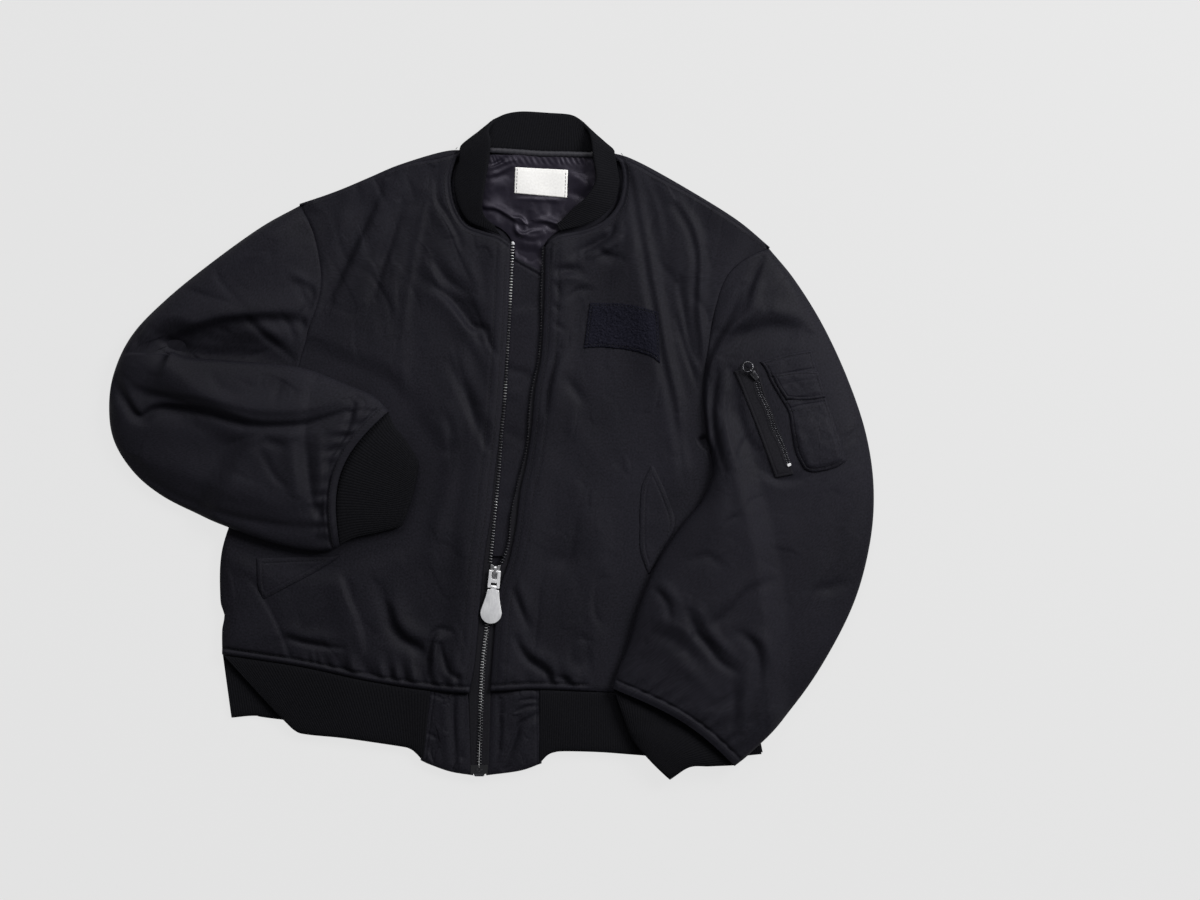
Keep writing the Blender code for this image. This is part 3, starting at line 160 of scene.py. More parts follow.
def smooth_rows(rows, steps):
    """Catmull-Rom curve through the rows: cubic blends of four neighbours."""
    rows = np.asarray(rows, float)
    ends = np.vstack([2 * rows[0] - rows[1], rows, 2 * rows[-1] - rows[-2]])
    t = np.linspace(0, 1, steps, endpoint=False)[None, :, None]
    before, here, there, after = (ends[k:len(ends) - 3 + k, None] for k in range(4))
    linear = (there - before) * t
    square = (2 * before - 5 * here + 4 * there - after) * t ** 2
    cube = (3 * here - before - 3 * there + after) * t ** 3
    runs = 0.5 * (2 * here + linear + square + cube)
    return np.vstack([runs.reshape(-1, rows.shape[1]), rows[-1:]])


def fractions(curve):
    """Length of the curve up to each of its points, as a share of the whole."""
    steps = np.linalg.norm(np.diff(curve, axis=0), axis=1)
    length = np.concatenate([[0], np.cumsum(steps)])
    return length / length[-1]


def length_of(curve):
    """Sum of the distances between neighbours."""
    return float(np.linalg.norm(np.diff(np.asarray(curve, float), axis=0), axis=1).sum())


def smooth_curve(points, places):
    """Points of a smooth curve at the given fractions of its length."""
    dense = smooth_rows(points, 12)
    along = fractions(dense)
    return np.column_stack([np.interp(places, along, axis) for axis in dense.T])


def round_places(count):
    """(1 - cos(pi t)) / 2: fractions 0 to 1, closer together at both ends."""
    return (1 - np.cos(np.pi * even(count + 1))) / 2


def coons(low, high, left, right, across=None, along=None):
    """Coons patch: the two ruled surfaces added, less the bilinear one."""
    v = (fractions(left) if along is None else along)[:, None, None]
    u = (fractions(low) if across is None else across)[None, :, None]
    ruled = (1 - v) * low[None] + v * high[None] + (1 - u) * left[:, None] + u * right[:, None]
    lower = (1 - v) * ((1 - u) * low[0] + u * low[-1])
    upper = v * ((1 - u) * high[0] + u * high[-1])
    return ruled - lower - upper


def edge_distance(curve, xy):
    """Distance in plan to the nearest point of a polyline."""
    best = np.full(xy.shape[:-1], np.inf)
    for start, end in zip(curve[:-1], curve[1:]):
        run = end - start
        square = max(float(run @ run), 1e-9)
        along = np.clip(((xy - start) @ run) / square, 0, 1)
        best = np.minimum(best, np.linalg.norm(xy - start - along[..., None] * run, axis=-1))
    return best


def outside(polygon, xy):
    """Distance in plan to a closed polygon, 0 inside it (even-odd rule)."""
    ring = np.vstack([polygon, polygon[:1]])
    inside = np.zeros(xy.shape[:-1], bool)
    for (x0, y0), (x1, y1) in zip(ring[:-1], ring[1:]):
        if y0 != y1:
            at = (x1 - x0) * (xy[..., 1] - y0) / (y1 - y0) + x0
            inside ^= ((y0 > xy[..., 1]) != (y1 > xy[..., 1])) & (xy[..., 0] < at)
    return np.where(inside, 0.0, edge_distance(ring, xy))


def ease(value, near, far):
    """Smooth step: 3 t^2 - 2 t^3 between near and far."""
    t = np.clip((value - near) / (far - near), 0, 1)
    return t * t * (3 - 2 * t)


def bump(distance, width):
    """Bell of the distance: exp(-(d / width)^2)."""
    return np.exp(-(distance / width) ** 2)


def soft_noise(xy, cell, seed):
    """Value noise: seeded numbers on a lattice, blended with smooth steps, -1 to 1."""
    table = np.random.default_rng(seed).uniform(-1, 1, (97, 97))
    at = xy / cell + 37.0
    low = np.floor(at).astype(int)
    t = at - low
    t = t * t * (3 - 2 * t)
    i, j = low[..., 0] % 96, low[..., 1] % 96
    tx, ty = t[..., 0], t[..., 1]
    lower = table[i, j] * (1 - tx) + table[i + 1, j] * tx
    upper = table[i, j + 1] * (1 - tx) + table[i + 1, j + 1] * tx
    return lower * (1 - ty) + upper * ty


print("three points of a curve:", smooth_curve([(0, 0), (5, 1), (9, 0)], even(3)).round(1).tolist())

# %% [markdown]
# ## Folds
#
# The photograph's folds are placed one by one.  A real crease in padded cloth is
# never a plain bump: it swells gently on one side and drops quickly on the other,
# with a shallow valley at its foot.  Each row of a fold table is a path with two
# widths, one to its left and one to its right, and a height that is negative in
# a trough.  The height fades towards both ends of the path.

# %% Fold helpers
Fold = namedtuple("Fold", "path height left right")
VALLEY = 0.30
VALLEY_WIDTH = 3.4
STEEP_SHARE = 0.75
FADE_START = 0.08
FADE_SPAN = 0.84
FADE_POWER = 0.7
LAP_STEP = 0.3
LAP_CREASE = 0.13
Groove = namedtuple("Groove", "height at width")


def fold_height(fold, xy):
    """Crest bell on the gentle side; on the steep side the bell less a wider, shallow valley."""
    curve = smooth_rows(fold.path, 6)
    shares = fractions(curve)
    best = np.full(xy.shape[:-1], np.inf)
    side = np.zeros(xy.shape[:-1])
    along = np.zeros(xy.shape[:-1])
    for k, (start, end) in enumerate(zip(curve[:-1], curve[1:])):
        run = end - start
        square = max(float(run @ run), 1e-9)
        raw = ((xy - start) @ run) / square
        t = np.clip(raw, 0, 1)
        off = xy - start - t[..., None] * run
        away = np.linalg.norm(off, axis=-1)
        near = away < best
        best = np.where(near, away, best)
        cross = run[0] * (xy[..., 1] - start[1]) - run[1] * (xy[..., 0] - start[0])
        side = np.where(near, cross / math.sqrt(square), side)
        along = np.where(near, shares[k] + t * (shares[k + 1] - shares[k]), along)
    narrow = min(fold.left, fold.right)
    width = np.where(side > 0, fold.left, fold.right)
    bell = bump(best, width)
    steep = width < STEEP_SHARE * max(fold.left, fold.right)
    valley = (1 + VALLEY) * bump(best, narrow) - VALLEY * bump(best, VALLEY_WIDTH * narrow)
    shape = np.where(steep, valley, bell)
    fade = np.clip(np.sin(np.pi * (FADE_START + FADE_SPAN * along)), 0, 1) ** FADE_POWER
    return fold.height * fade * shape


def relief(folds, xy):
    """Sum of the folds' heights."""
    total = np.zeros(xy.shape[:-1])
    for fold in folds:
        total += fold_height(fold, xy)
    return total


def lapped(xy, cell, seed, drop):
    """Short creases of loose cloth: it steps down into a crease along the zero lines of a bent noise."""
    bend = 0.5 * cell * np.stack([soft_noise(xy, 1.7 * cell, seed), soft_noise(xy, 1.7 * cell, seed + 1)],
                                 axis=-1)
    field = soft_noise(xy + bend, cell, seed + 2)
    where = np.clip(1.6 * soft_noise(xy, 1.4 * cell, seed + 3), 0, 1)
    return drop * where * (0.55 * np.tanh(field / LAP_STEP) - 0.75 * np.exp(-(field / LAP_CREASE) ** 2))


def grooved(distance, grooves):
    """Stitched grooves and the rolls beside them: each is a bell at its distance from an edge."""
    return sum(groove.height * bump(distance - groove.at, groove.width) for groove in grooves)


def slack(xy, seed, strength, lean=0.0):
    """Unevenness of loose cloth: broad swells and creases of three sizes, drawn out along a lean angle."""
    turn = np.array(((math.cos(lean), -math.sin(lean)), (math.sin(lean), math.cos(lean))))
    turned = xy @ turn
    broad = soft_noise(turned * (1.0, 0.5), 46.0, seed)
    middle = soft_noise(xy * (1.0, 0.6), 21.0, seed + 1)
    creased = lapped(turned * (1.0, 0.45), 30.0, seed + 10, 1.5)
    creased = creased + lapped(turned * (1.0, 0.6), 16.0, seed + 20, 0.75)
    creased = creased + lapped(xy * (1.0, 0.8), 8.0, seed + 30, 0.28)
    return strength * (0.6 * broad + 0.25 * middle + creased)


print("one fold, 2 mm high, at its crest:",
      fold_height(Fold([(0, 0), (0, 50)], 2.0, 9, 3), np.array([[0.0, 25.0]])).round(2).tolist())

# %% [markdown]
# ## Meshes from grids
#
# A cloth panel is a closed wall: a fine grid on top, where the folds are, and a
# coarse one underneath, which nobody sees.  Each side of the rim is a strip of
# many-sided faces that join the fine edge to the coarse one.  A sleeve is a tube
# with an inner and an outer skin.  Both get a UV map in real length, so that a
# weave keeps its size, and Blender's foreach_set takes whole arrays at once.

# %% Mesh helpers
JACKET = bpy.data.collections.new("flight_jacket_visual")
bpy.context.scene.collection.children.link(JACKET)
MATERIALS = {}


def mesh_from(name, points, polygons, uv=None):
    """Mesh of points in millimetres and of polygon arrays, one array for each number of corners."""
    mesh = bpy.data.meshes.new(name)
    loops = np.concatenate([p.ravel() for p in polygons]).astype(np.int32)
    sizes = np.concatenate([np.full(len(p), p.shape[1]) for p in polygons])
    starts = np.concatenate([[0], np.cumsum(sizes)[:-1]]).astype(np.int32)
    mesh.vertices.add(len(points))
    mesh.vertices.foreach_set("co", (np.asarray(points) * MM).astype(np.float32).ravel())
    mesh.loops.add(len(loops))
    mesh.loops.foreach_set("vertex_index", loops)
    mesh.polygons.add(len(sizes))
    mesh.polygons.foreach_set("loop_start", starts)
    mesh.update(calc_edges=True)
    mesh.validate()
    if uv is not None:
        layer = mesh.uv_layers.new(name="cloth")
        layer.data.foreach_set("uv", uv[loops].astype(np.float32).ravel())
    mesh.shade_smooth()
    return mesh


def add_piece(name, mesh, finish, body, nodes=()):
    """Object of a finished mesh that rides on a body and stands for its nodes."""
    piece = bpy.data.objects.new(name, mesh)
    JACKET.objects.link(piece)
    mesh.materials.append(MATERIALS[finish])
    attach(piece, body)
    if nodes:
        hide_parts(*nodes)
    return piece


def quads(index):
    """Quads between the neighbours of a grid of point numbers."""
    return np.stack([index[:-1, :-1], index[:-1, 1:], index[1:, 1:], index[1:, :-1]], -1).reshape(-1, 4)


def lengths(grid, axis):
    """Running length along a grid's rows or columns, in metres."""
    steps = np.linalg.norm(np.diff(grid, axis=axis), axis=-1)
    start = np.zeros_like(np.take(steps, [0], axis=axis))
    return np.cumsum(np.concatenate([start, steps], axis=axis), axis=axis) * MM


def grid_uv(grid):
    """UV of a grid: running length across and along, in metres."""
    return np.stack([lengths(grid, 1), lengths(grid, 0)], axis=-1)


def wall(top_edge, low_edge, step):
    """Strip of (step + 3)-sided faces between a fine edge and a coarse one."""
    count = len(low_edge) - 1
    upper = np.stack([top_edge[np.arange(count) * step + k] for k in range(step, -1, -1)], axis=-1)
    return np.column_stack([low_edge[:-1], low_edge[1:], upper])


def closed_panel(name, top, under, step, turned=None):
    """Closed cloth wall: fine grid on top, every step-th point below, joined round the rim."""
    rows, columns = top.shape[:2]
    low = under[::step, ::step]
    upper = np.arange(rows * columns).reshape(rows, columns)
    lower = rows * columns + np.arange(low.shape[0] * low.shape[1]).reshape(low.shape[:2])
    walls = [wall(upper[0], lower[0], step), wall(upper[:, -1], lower[:, -1], step),
             wall(upper[-1, ::-1], lower[-1, ::-1], step), wall(upper[::-1, 0], lower[::-1, 0], step)]
    polygons = [quads(upper), quads(lower)[:, ::-1]] + walls
    a, b, c = top[0, 0, :2], top[0, -1, :2], top[-1, 0, :2]
    turn = (b - a)[0] * (c - a)[1] - (b - a)[1] * (c - a)[0]
    if turn < 0 if turned is None else turned:
        polygons = [p[:, ::-1] for p in polygons]
    uv = grid_uv(top)
    uvs = np.vstack([uv.reshape(-1, 2), uv[::step, ::step].reshape(-1, 2)])
    points = np.vstack([top.reshape(-1, 3), low.reshape(-1, 3)])
    return mesh_from(name, points, polygons, uvs)


def closed_tube(name, outer, inner, step):
    """Open-ended tube with a wall: outer rings, every step-th inner ring, two end strips."""
    rings, around = outer.shape[:2]
    keep = np.unique(np.append(np.arange(0, rings, step), rings - 1))
    inside = inner[keep]
    index = np.arange(rings * around).reshape(rings, around)
    within = rings * around + np.arange(len(keep) * around).reshape(len(keep), around)
    index = np.column_stack([index, index[:, 0]])
    within = np.column_stack([within, within[:, 0]])
    ends = [quads(np.vstack([within[0], index[0]])), quads(np.vstack([index[-1], within[-1]]))]
    polygons = [quads(index), quads(within)[:, ::-1]] + ends
    ring = outer[0]
    middle = ring.mean(0)
    spin = np.cross(ring - middle, np.roll(ring, -1, axis=0) - middle).sum(0)
    if spin @ (outer[3].mean(0) - middle) > 0:
        polygons = [p[:, ::-1] for p in polygons]
    uv = grid_uv(outer)
    uvs = np.vstack([uv.reshape(-1, 2), uv[keep].reshape(-1, 2)])
    return mesh_from(name, np.vstack([outer.reshape(-1, 3), inside.reshape(-1, 3)]), polygons, uvs)


def at_height(xy, z):
    """Plan points with their heights."""
    return np.concatenate([xy, np.broadcast_to(z, xy.shape[:-1])[..., None]], axis=-1)


def on_grid(grid, rows, columns):
    """Bilinear sample of a grid at fractional row and column places, 0 to 1."""
    r = np.clip(rows, 0, 1) * (grid.shape[0] - 1)
    c = np.clip(columns, 0, 1) * (grid.shape[1] - 1)
    i = np.minimum(r.astype(int), grid.shape[0] - 2)
    j = np.minimum(c.astype(int), grid.shape[1] - 2)
    fr, fc = (r - i)[..., None], (c - j)[..., None]
    low = grid[i, j] * (1 - fc) + grid[i, j + 1] * fc
    high = grid[i + 1, j] * (1 - fc) + grid[i + 1, j + 1] * fc
    return low * (1 - fr) + high * fr


def add_cloth(name, top, under, step, finish, node, turned=None):
    """Closed panel of a top and an under grid, as a piece of the jacket that stands for a node."""
    mesh = closed_panel(name, top, under, step, turned)
    add_piece(name, mesh, finish, "jacket", [node])
    return mesh


print("mesh helpers ready")

# %% [markdown]
# ## Finishes
#
# The shell is a black nylon twill: dark, slightly blue, with a soft satin sheen
# that greys the parts that face the light.  The rib knit is deeper and matt, the
# lining a dark purple-grey satin, the metal a lightly brushed silver.  Two effects
# serve several finishes, so each is a node group: a weave, whose fine lines follow
# the cloth's own UV map, and a mottle, which varies colour and gloss a little.

# %% Shared node groups


def new_group(name, inputs, outputs):
    """Empty shader node group with named float inputs and float outputs."""
    group = bpy.data.node_groups.new(name, "ShaderNodeTree")
    for label, kind, value in inputs:
        made = group.interface.new_socket(label, in_out="INPUT", socket_type=kind)
        if value is not None:
            made.default_value = value
    for label in outputs:
        group.interface.new_socket(label, in_out="OUTPUT", socket_type="NodeSocketFloat")
    return group, group.nodes.new("NodeGroupInput"), group.nodes.new("NodeGroupOutput")


def math_node(tree, operation, first, second=None):
    """Math node on two links or numbers."""
    node = tree.nodes.new("ShaderNodeMath")
    node.operation = operation
    for socket, value in zip(node.inputs, (first, second)):
        if isinstance(value, bpy.types.NodeSocket):
            tree.links.new(value, socket)
        elif value is not None:
            socket.default_value = value
    return node.outputs[0]


def make_weave_group():
    """Threads per metre in two directions: sine of U plus V for the twill, and sine of V across it."""
    group, given, out = new_group("weave", [("Vector", "NodeSocketVector", None),
                                            ("Threads", "NodeSocketFloat", 1400.0),
                                            ("Slant", "NodeSocketFloat", 1.0)], ["Height", "Mask"])
    split = group.nodes.new("ShaderNodeSeparateXYZ")
    group.links.new(given.outputs["Vector"], split.inputs[0])
    slanted = math_node(group, "MULTIPLY", split.outputs["Y"], given.outputs["Slant"])
    diagonal = math_node(group, "ADD", split.outputs["X"], slanted)
    turn = math_node(group, "MULTIPLY", diagonal, given.outputs["Threads"])
    twill = math_node(group, "SINE", math_node(group, "MULTIPLY", turn, math.tau))
    cross = math_node(group, "MULTIPLY", split.outputs["Y"], given.outputs["Threads"])
    weft = math_node(group, "SINE", math_node(group, "MULTIPLY", cross, math.tau))
    both = math_node(group, "ADD", math_node(group, "MULTIPLY", twill, 0.35),
                     math_node(group, "MULTIPLY", weft, 0.15))
    group.links.new(math_node(group, "ADD", both, 0.5), out.inputs["Height"])
    grain = group.nodes.new("ShaderNodeTexNoise")
    grain.inputs["Scale"].default_value = 480.0
    grain.inputs["Detail"].default_value = 3.0
    group.links.new(given.outputs["Vector"], grain.inputs["Vector"])
    group.links.new(grain.outputs[0], out.inputs["Mask"])
    return group


def make_mottle_group():
    """Slow noise at two sizes, blended: broad patches of gloss and small specks of wear."""
    group, given, out = new_group("mottle", [("Vector", "NodeSocketVector", None),
                                             ("Broad", "NodeSocketFloat", 9.0),
                                             ("Small", "NodeSocketFloat", 160.0)], ["Patches", "Specks"])
    for label, scale, detail in (("Patches", "Broad", 3.0), ("Specks", "Small", 4.0)):
        noise = group.nodes.new("ShaderNodeTexNoise")
        noise.inputs["Detail"].default_value = detail
        group.links.new(given.outputs["Vector"], noise.inputs["Vector"])
        group.links.new(given.outputs[scale], noise.inputs["Scale"])
        group.links.new(noise.outputs[0], out.inputs[label])
    return group


WEAVE = make_weave_group()
MOTTLE = make_mottle_group()
print("groups:", WEAVE.name, MOTTLE.name)

# %% Finishes
Finish = namedtuple("Finish", "dark light rough_low rough_high specular threads slant depth fuzz")
FINISHES = {
    "shell": Finish((0.0048, 0.0046, 0.0068), (0.0134, 0.0128, 0.0181), 0.58, 0.70, 0.09, 1250, 1, 0.10, 0),
    "rib_knit": Finish((0.0042, 0.0042, 0.0053), (0.0078, 0.0078, 0.0094), 0.85, 0.95,
                       0.05, 900, 0, 0.16, 0.1),
    "lining": Finish((0.0046, 0.0038, 0.0070), (0.0092, 0.0076, 0.0142), 0.42, 0.52,
                     0.30, 2000, 0, 0.05, 0),
    "piping": Finish((0.016, 0.0156, 0.020), (0.028, 0.027, 0.033), 0.50, 0.60, 0.25, 1300, 1, 0.10, 0),
    "label": Finish((0.72, 0.71, 0.69), (0.84, 0.83, 0.81), 0.60, 0.75, 0.25, 1500, 0, 0.12, 0),
    "hook_and_loop": Finish((0.003, 0.003, 0.006), (0.013, 0.013, 0.020), 0.92, 1, 0.05, 600, 0, 0, 0.3),
    "zip_tape": Finish((0.0072, 0.0070, 0.0090), (0.0130, 0.0126, 0.0156), 0.72, 0.86,
                       0.08, 1000, 0, 0.30, 0),
    "film": Finish((0.010, 0.010, 0.0115), (0.016, 0.016, 0.018), 0.40, 0.52, 0.30, 900, 0, 0.10, 0),
    "thread": Finish((0.008, 0.008, 0.010), (0.016, 0.016, 0.019), 0.50, 0.65, 0.15, 3000, 1, 0, 0),
}
SATIN_TINT = (0.90, 0.84, 1.0, 1)
PATCH_SHARE = 0.35
MASK_LOW = 0.34
MASK_HIGH = 0.66
TEXTURE_DEPTH = 0.00025


def mix_colour(tree, factor, low, high):
    """Colour that runs from low to high with a mask."""
    node = tree.nodes.new("ShaderNodeMix")
    node.data_type = "RGBA"
    tree.links.new(factor, node.inputs["Factor"])
    node.inputs["A"].default_value = (*low, 1)
    node.inputs["B"].default_value = (*high, 1)
    return node.outputs["Result"]


def map_range(tree, value, low, high):
    """Number that runs from low to high as a noise mask runs over its usual range."""
    node = tree.nodes.new("ShaderNodeMapRange")
    node.inputs["From Min"].default_value = MASK_LOW
    node.inputs["From Max"].default_value = MASK_HIGH
    node.inputs["To Min"].default_value = low
    node.inputs["To Max"].default_value = high
    tree.links.new(value, node.inputs["Value"])
    return node.outputs["Result"]


def place_group(tree, group, vector, **values):
    """A node group in a material, with its vector and values."""
    node = tree.nodes.new("ShaderNodeGroup")
    node.node_tree = group
    tree.links.new(vector, node.inputs["Vector"])
    for label, value in values.items():
        node.inputs[label].default_value = value
    return node


def add_bump(tree, shader, height, strength, distance):
    """Bump node from a height to the shader's normal."""
    node = tree.nodes.new("ShaderNodeBump")
    node.inputs["Strength"].default_value = strength
    node.inputs["Distance"].default_value = distance
    tree.links.new(height, node.inputs["Height"])
    tree.links.new(node.outputs["Normal"], shader.inputs["Normal"])


def cloth_material(name, finish):
    """Woven or knitted cloth: mottled colour and gloss, with the weave as a fine bump."""
    made = bpy.data.materials.new(name)
    made.use_nodes = True
    tree = made.node_tree
    shader = tree.nodes["Principled BSDF"]
    cloth = tree.nodes.new("ShaderNodeUVMap")
    cloth.uv_map = "cloth"
    place = tree.nodes.new("ShaderNodeTexCoord")
    weave = place_group(tree, WEAVE, cloth.outputs["UV"], Threads=finish.threads, Slant=finish.slant)
    mottle = place_group(tree, MOTTLE, place.outputs["Object"])
    blend = math_node(tree, "ADD", math_node(tree, "MULTIPLY", mottle.outputs["Patches"], PATCH_SHARE),
                      math_node(tree, "MULTIPLY", weave.outputs["Mask"], 1 - PATCH_SHARE))
    tree.links.new(mix_colour(tree, map_range(tree, blend, 0, 1), finish.dark, finish.light),
                   shader.inputs["Base Color"])
    tree.links.new(map_range(tree, mottle.outputs["Patches"], finish.rough_low, finish.rough_high),
                   shader.inputs["Roughness"])
    shader.inputs["Specular IOR Level"].default_value = finish.specular
    height = weave.outputs["Height"]
    if finish.fuzz:
        specks = math_node(tree, "MULTIPLY", mottle.outputs["Specks"], finish.fuzz * 10)
        height = math_node(tree, "ADD", height, specks)
    add_bump(tree, shader, height, max(finish.depth, finish.fuzz), TEXTURE_DEPTH)
    return made


Metal = namedtuple("Metal", "bare tarnished rough_low rough_high lines metallic")
METALS = {
    "zip_metal": Metal((0.94, 0.94, 0.95), (0.80, 0.80, 0.82), 0.34, 0.50, 2600, 0.62),
    "zip_dark": Metal((0.17, 0.17, 0.18), (0.045, 0.045, 0.05), 0.26, 0.40, 1800, 1),
    "zip_body": Metal((0.62, 0.62, 0.63), (0.30, 0.30, 0.31), 0.28, 0.42, 1800, 1),
    "zip_teeth": Metal((0.13, 0.13, 0.14), (0.04, 0.04, 0.045), 0.30, 0.46, 1800, 1),
}
# Painted light on the zip teeth: a dull dark metal between glints, and a near-white colour painted where the
# teeth catch highlights.
DULL_TEETH = Metal((0.070, 0.070, 0.075), (0.022, 0.022, 0.026), 0.32, 0.48, 1800, 1)
BRIGHT_TEETH = (0.82, 0.82, 0.83, 1)
# Share of painted highlight at each Y along a chain. The right chain gets painted glints. The left chain
# stands in shade and gets almost none, so it is painted darker.
PaintedLightStop = namedtuple("PaintedLightStop", "y share")
TEETH_PAINTED_LIGHT = {
    "teeth_right": [(-345, 0.08), (-315, 0.05), (-292, 0.06), (-272, 0.50), (-215, 0.42), (-150, 0.42),
                    (-137, 0.30), (-124, 0.14), (-72, 0.15), (-62, 0.45), (-52, 0.12), (-30, 0.07),
                    (46, 0.04), (54, 0.34), (64, 0.34), (72, 0.04), (105, 0.10), (150, 0.04),
                    (160, 0.75), (176, 0.75), (184, 0.25), (200, 0.65), (215, 0.80)],
    "teeth_left": [(-345, 0.05), (-292, 0.05), (-272, 0.10), (-150, 0.10), (-137, 0.06), (-122, 0.0),
                   (216, 0.0)],
}


def metal_material(name, metal):
    """Brushed metal: stretched noise for the brush lines, specks of tarnish in the colour."""
    made = bpy.data.materials.new(name)
    made.use_nodes = True
    tree = made.node_tree
    shader = tree.nodes["Principled BSDF"]
    shader.inputs["Metallic"].default_value = metal.metallic
    place = tree.nodes.new("ShaderNodeTexCoord")
    stretch = tree.nodes.new("ShaderNodeMapping")
    stretch.inputs["Scale"].default_value = (metal.lines, metal.lines * 0.06, metal.lines)
    tree.links.new(place.outputs["Object"], stretch.inputs["Vector"])
    mottle = place_group(tree, MOTTLE, place.outputs["Object"], Broad=120.0, Small=500.0)
    brushed = place_group(tree, MOTTLE, stretch.outputs["Vector"], Broad=1.0, Small=3.0)
    colour = mix_colour(tree, map_range(tree, mottle.outputs["Patches"], 0, 1), metal.tarnished, metal.bare)
    tree.links.new(colour, shader.inputs["Base Color"])
    tree.links.new(map_range(tree, brushed.outputs["Patches"], metal.rough_low, metal.rough_high),
                   shader.inputs["Roughness"])
    add_bump(tree, shader, brushed.outputs["Specks"], 0.12, 0.00005)
    return made


def metal_with_painted_light(name, painted_stops):
    """Teeth with painted light: a ramp of the Object Y coordinate between dull dark metal and a painted
    near-white highlight.
    """
    painted_stops = [PaintedLightStop(*stop) for stop in painted_stops]
    made = metal_material(name, DULL_TEETH)
    tree = made.node_tree
    shader = tree.nodes["Principled BSDF"]
    # The dull mottled metal, called tarnish here, is the colour between the painted highlights.
    tarnish = shader.inputs["Base Color"].links[0].from_socket
    place = tree.nodes.new("ShaderNodeTexCoord")
    split = tree.nodes.new("ShaderNodeSeparateXYZ")
    tree.links.new(place.outputs["Object"], split.inputs[0])
    scaled = tree.nodes.new("ShaderNodeMapRange")
    scaled.inputs["From Min"].default_value = painted_stops[0].y * MM
    scaled.inputs["From Max"].default_value = painted_stops[-1].y * MM
    tree.links.new(split.outputs["Y"], scaled.inputs["Value"])
    ramp = tree.nodes.new("ShaderNodeValToRGB")
    stops = ramp.color_ramp.elements
    for k, (y, share) in enumerate(painted_stops):
        at = (y - painted_stops[0].y) / (painted_stops[-1].y - painted_stops[0].y)
        stop = stops.new(at) if 0 < k < len(painted_stops) - 1 else stops[0 if k == 0 else len(stops) - 1]
        stop.position = at
        stop.color = (share, share, share, 1)
    tree.links.new(scaled.outputs["Result"], ramp.inputs[0])
    mix = tree.nodes.new("ShaderNodeMix")
    mix.data_type = "RGBA"
    mix.inputs["B"].default_value = BRIGHT_TEETH
    tree.links.new(ramp.outputs["Color"], mix.inputs["Factor"])
    tree.links.new(tarnish, mix.inputs["A"])
    tree.links.new(mix.outputs["Result"], shader.inputs["Base Color"])
    return made


for label, finish in FINISHES.items():
    MATERIALS[label] = cloth_material(label, finish)
lining_shader = MATERIALS["lining"].node_tree.nodes["Principled BSDF"]
lining_shader.inputs["Specular Tint"].default_value = SATIN_TINT
for label, metal in METALS.items():
    MATERIALS[label] = metal_material(label, metal)
# Teeth materials with painted highlights and painted shade along each chain.
for label, painted_stops in TEETH_PAINTED_LIGHT.items():
    MATERIALS[label] = metal_with_painted_light(label, painted_stops)
print("finishes:", sorted(MATERIALS))

# %% [markdown]
# ## The jacket's outlines
#
# These are the same outlines as the model's, in millimetres: +X to the wearer's
# left, +Y to the collar.  Front edges, neck, shoulder, armhole, side and hem of
# each front share their corners.  One row of a sleeve table is a section: its two
# plan ends, its height above what it lies on, and how far it lies on the body.

# %% Outline tables
BACK_THICK = 6.0
LAY_GAP = 0.3
SEAM_GAP = -0.5
FRONT_EDGE = 4.0
FRONT_FIELD = 8.5
FRONT_PRESSED = 6.0
ZIP_EDGE_LIFT = 3.2
SLEEVE_WALL = 7.0
SLEEVE_SLIT = 2.2
SLEEVE_EDGE = 7.0
PRESSED_ARM = 15.0
FRONT_BOTTOM = BACK_THICK + LAY_GAP
ON_BODY = FRONT_BOTTOM + FRONT_PRESSED + LAY_GAP
ON_ARM = PRESSED_ARM + 3 * LAY_GAP
CENTRE_RIGHT = [(-24, -268), (-17, -228), (-8, -126), (-1, -80), (3, -37), (9.5, 17),
                (14, 71), (17.5, 125), (20, 179), (21, 218)]
NECK_RIGHT = [(21, 218), (8, 227), (-8, 232), (-27, 240), (-39, 261), (-43, 287),
              (-38, 308), (-30, 318)]
SHOULDER_RIGHT = [(-30, 318), (-56, 310), (-90, 304), (-122, 292), (-158, 277), (-180, 268.5), (-207, 260)]
ARMHOLE_RIGHT = [(-207, 260), (-191, 226), (-184, 173), (-199, 119), (-212, 71), (-219, 22)]
SIDE_RIGHT = [(-291, -226), (-291, -200), (-288.5, -183), (-293, -165), (-291, -113), (-271, -59),
              (-241, -10), (-219, 22)]
HEM_RIGHT = [(-24, -268), (-64, -265), (-131, -255), (-206, -239), (-291, -226)]
CENTRE_LEFT = [(-1, -266), (3, -210), (8, -160), (19, -126), (27, -88), (31.5, -50), (38.5, -18),
               (44, 20), (47.5, 60), (54.5, 98), (57.5, 157), (58.5, 215)]
NECK_LEFT = [(58.5, 215), (66, 224), (78, 229), (102, 234), (123, 244), (137, 261),
             (142, 283), (140, 303), (132, 314)]
SHOULDER_LEFT = [(132, 314), (161, 301), (180, 290), (216, 271), (258, 245), (300.5, 214)]
ARMHOLE_LEFT = [(300.5, 214), (275, 201.5), (255, 182), (244, 152), (235, 105), (230, 55), (233, 8)]
SIDE_LEFT = [(280, -262), (279, -210), (272, -145), (261, -91), (246, -37), (233, 8)]
HEM_LEFT = [(-1, -266), (53, -264), (131, -267), (204, -268), (280, -262)]
BACK_NECK = [(-30, 318), (0, 317), (53, 316), (109, 314), (132, 314)]
BACK_HEM = [(-291, -226), (-150, -245), (-10, -261), (140, -263), (280, -262)]
BACK_OUTLINE = [(-207, 261.5), (-180, 270.5), (-158, 278.8), (-130, 290.8), (-100, 303.5), (-56, 317),
                (-31, 320), (1, 319), (53, 318), (109, 316), (132, 316.5), (161, 306), (214, 276.5),
                (266, 244), (301.5, 214.5)]
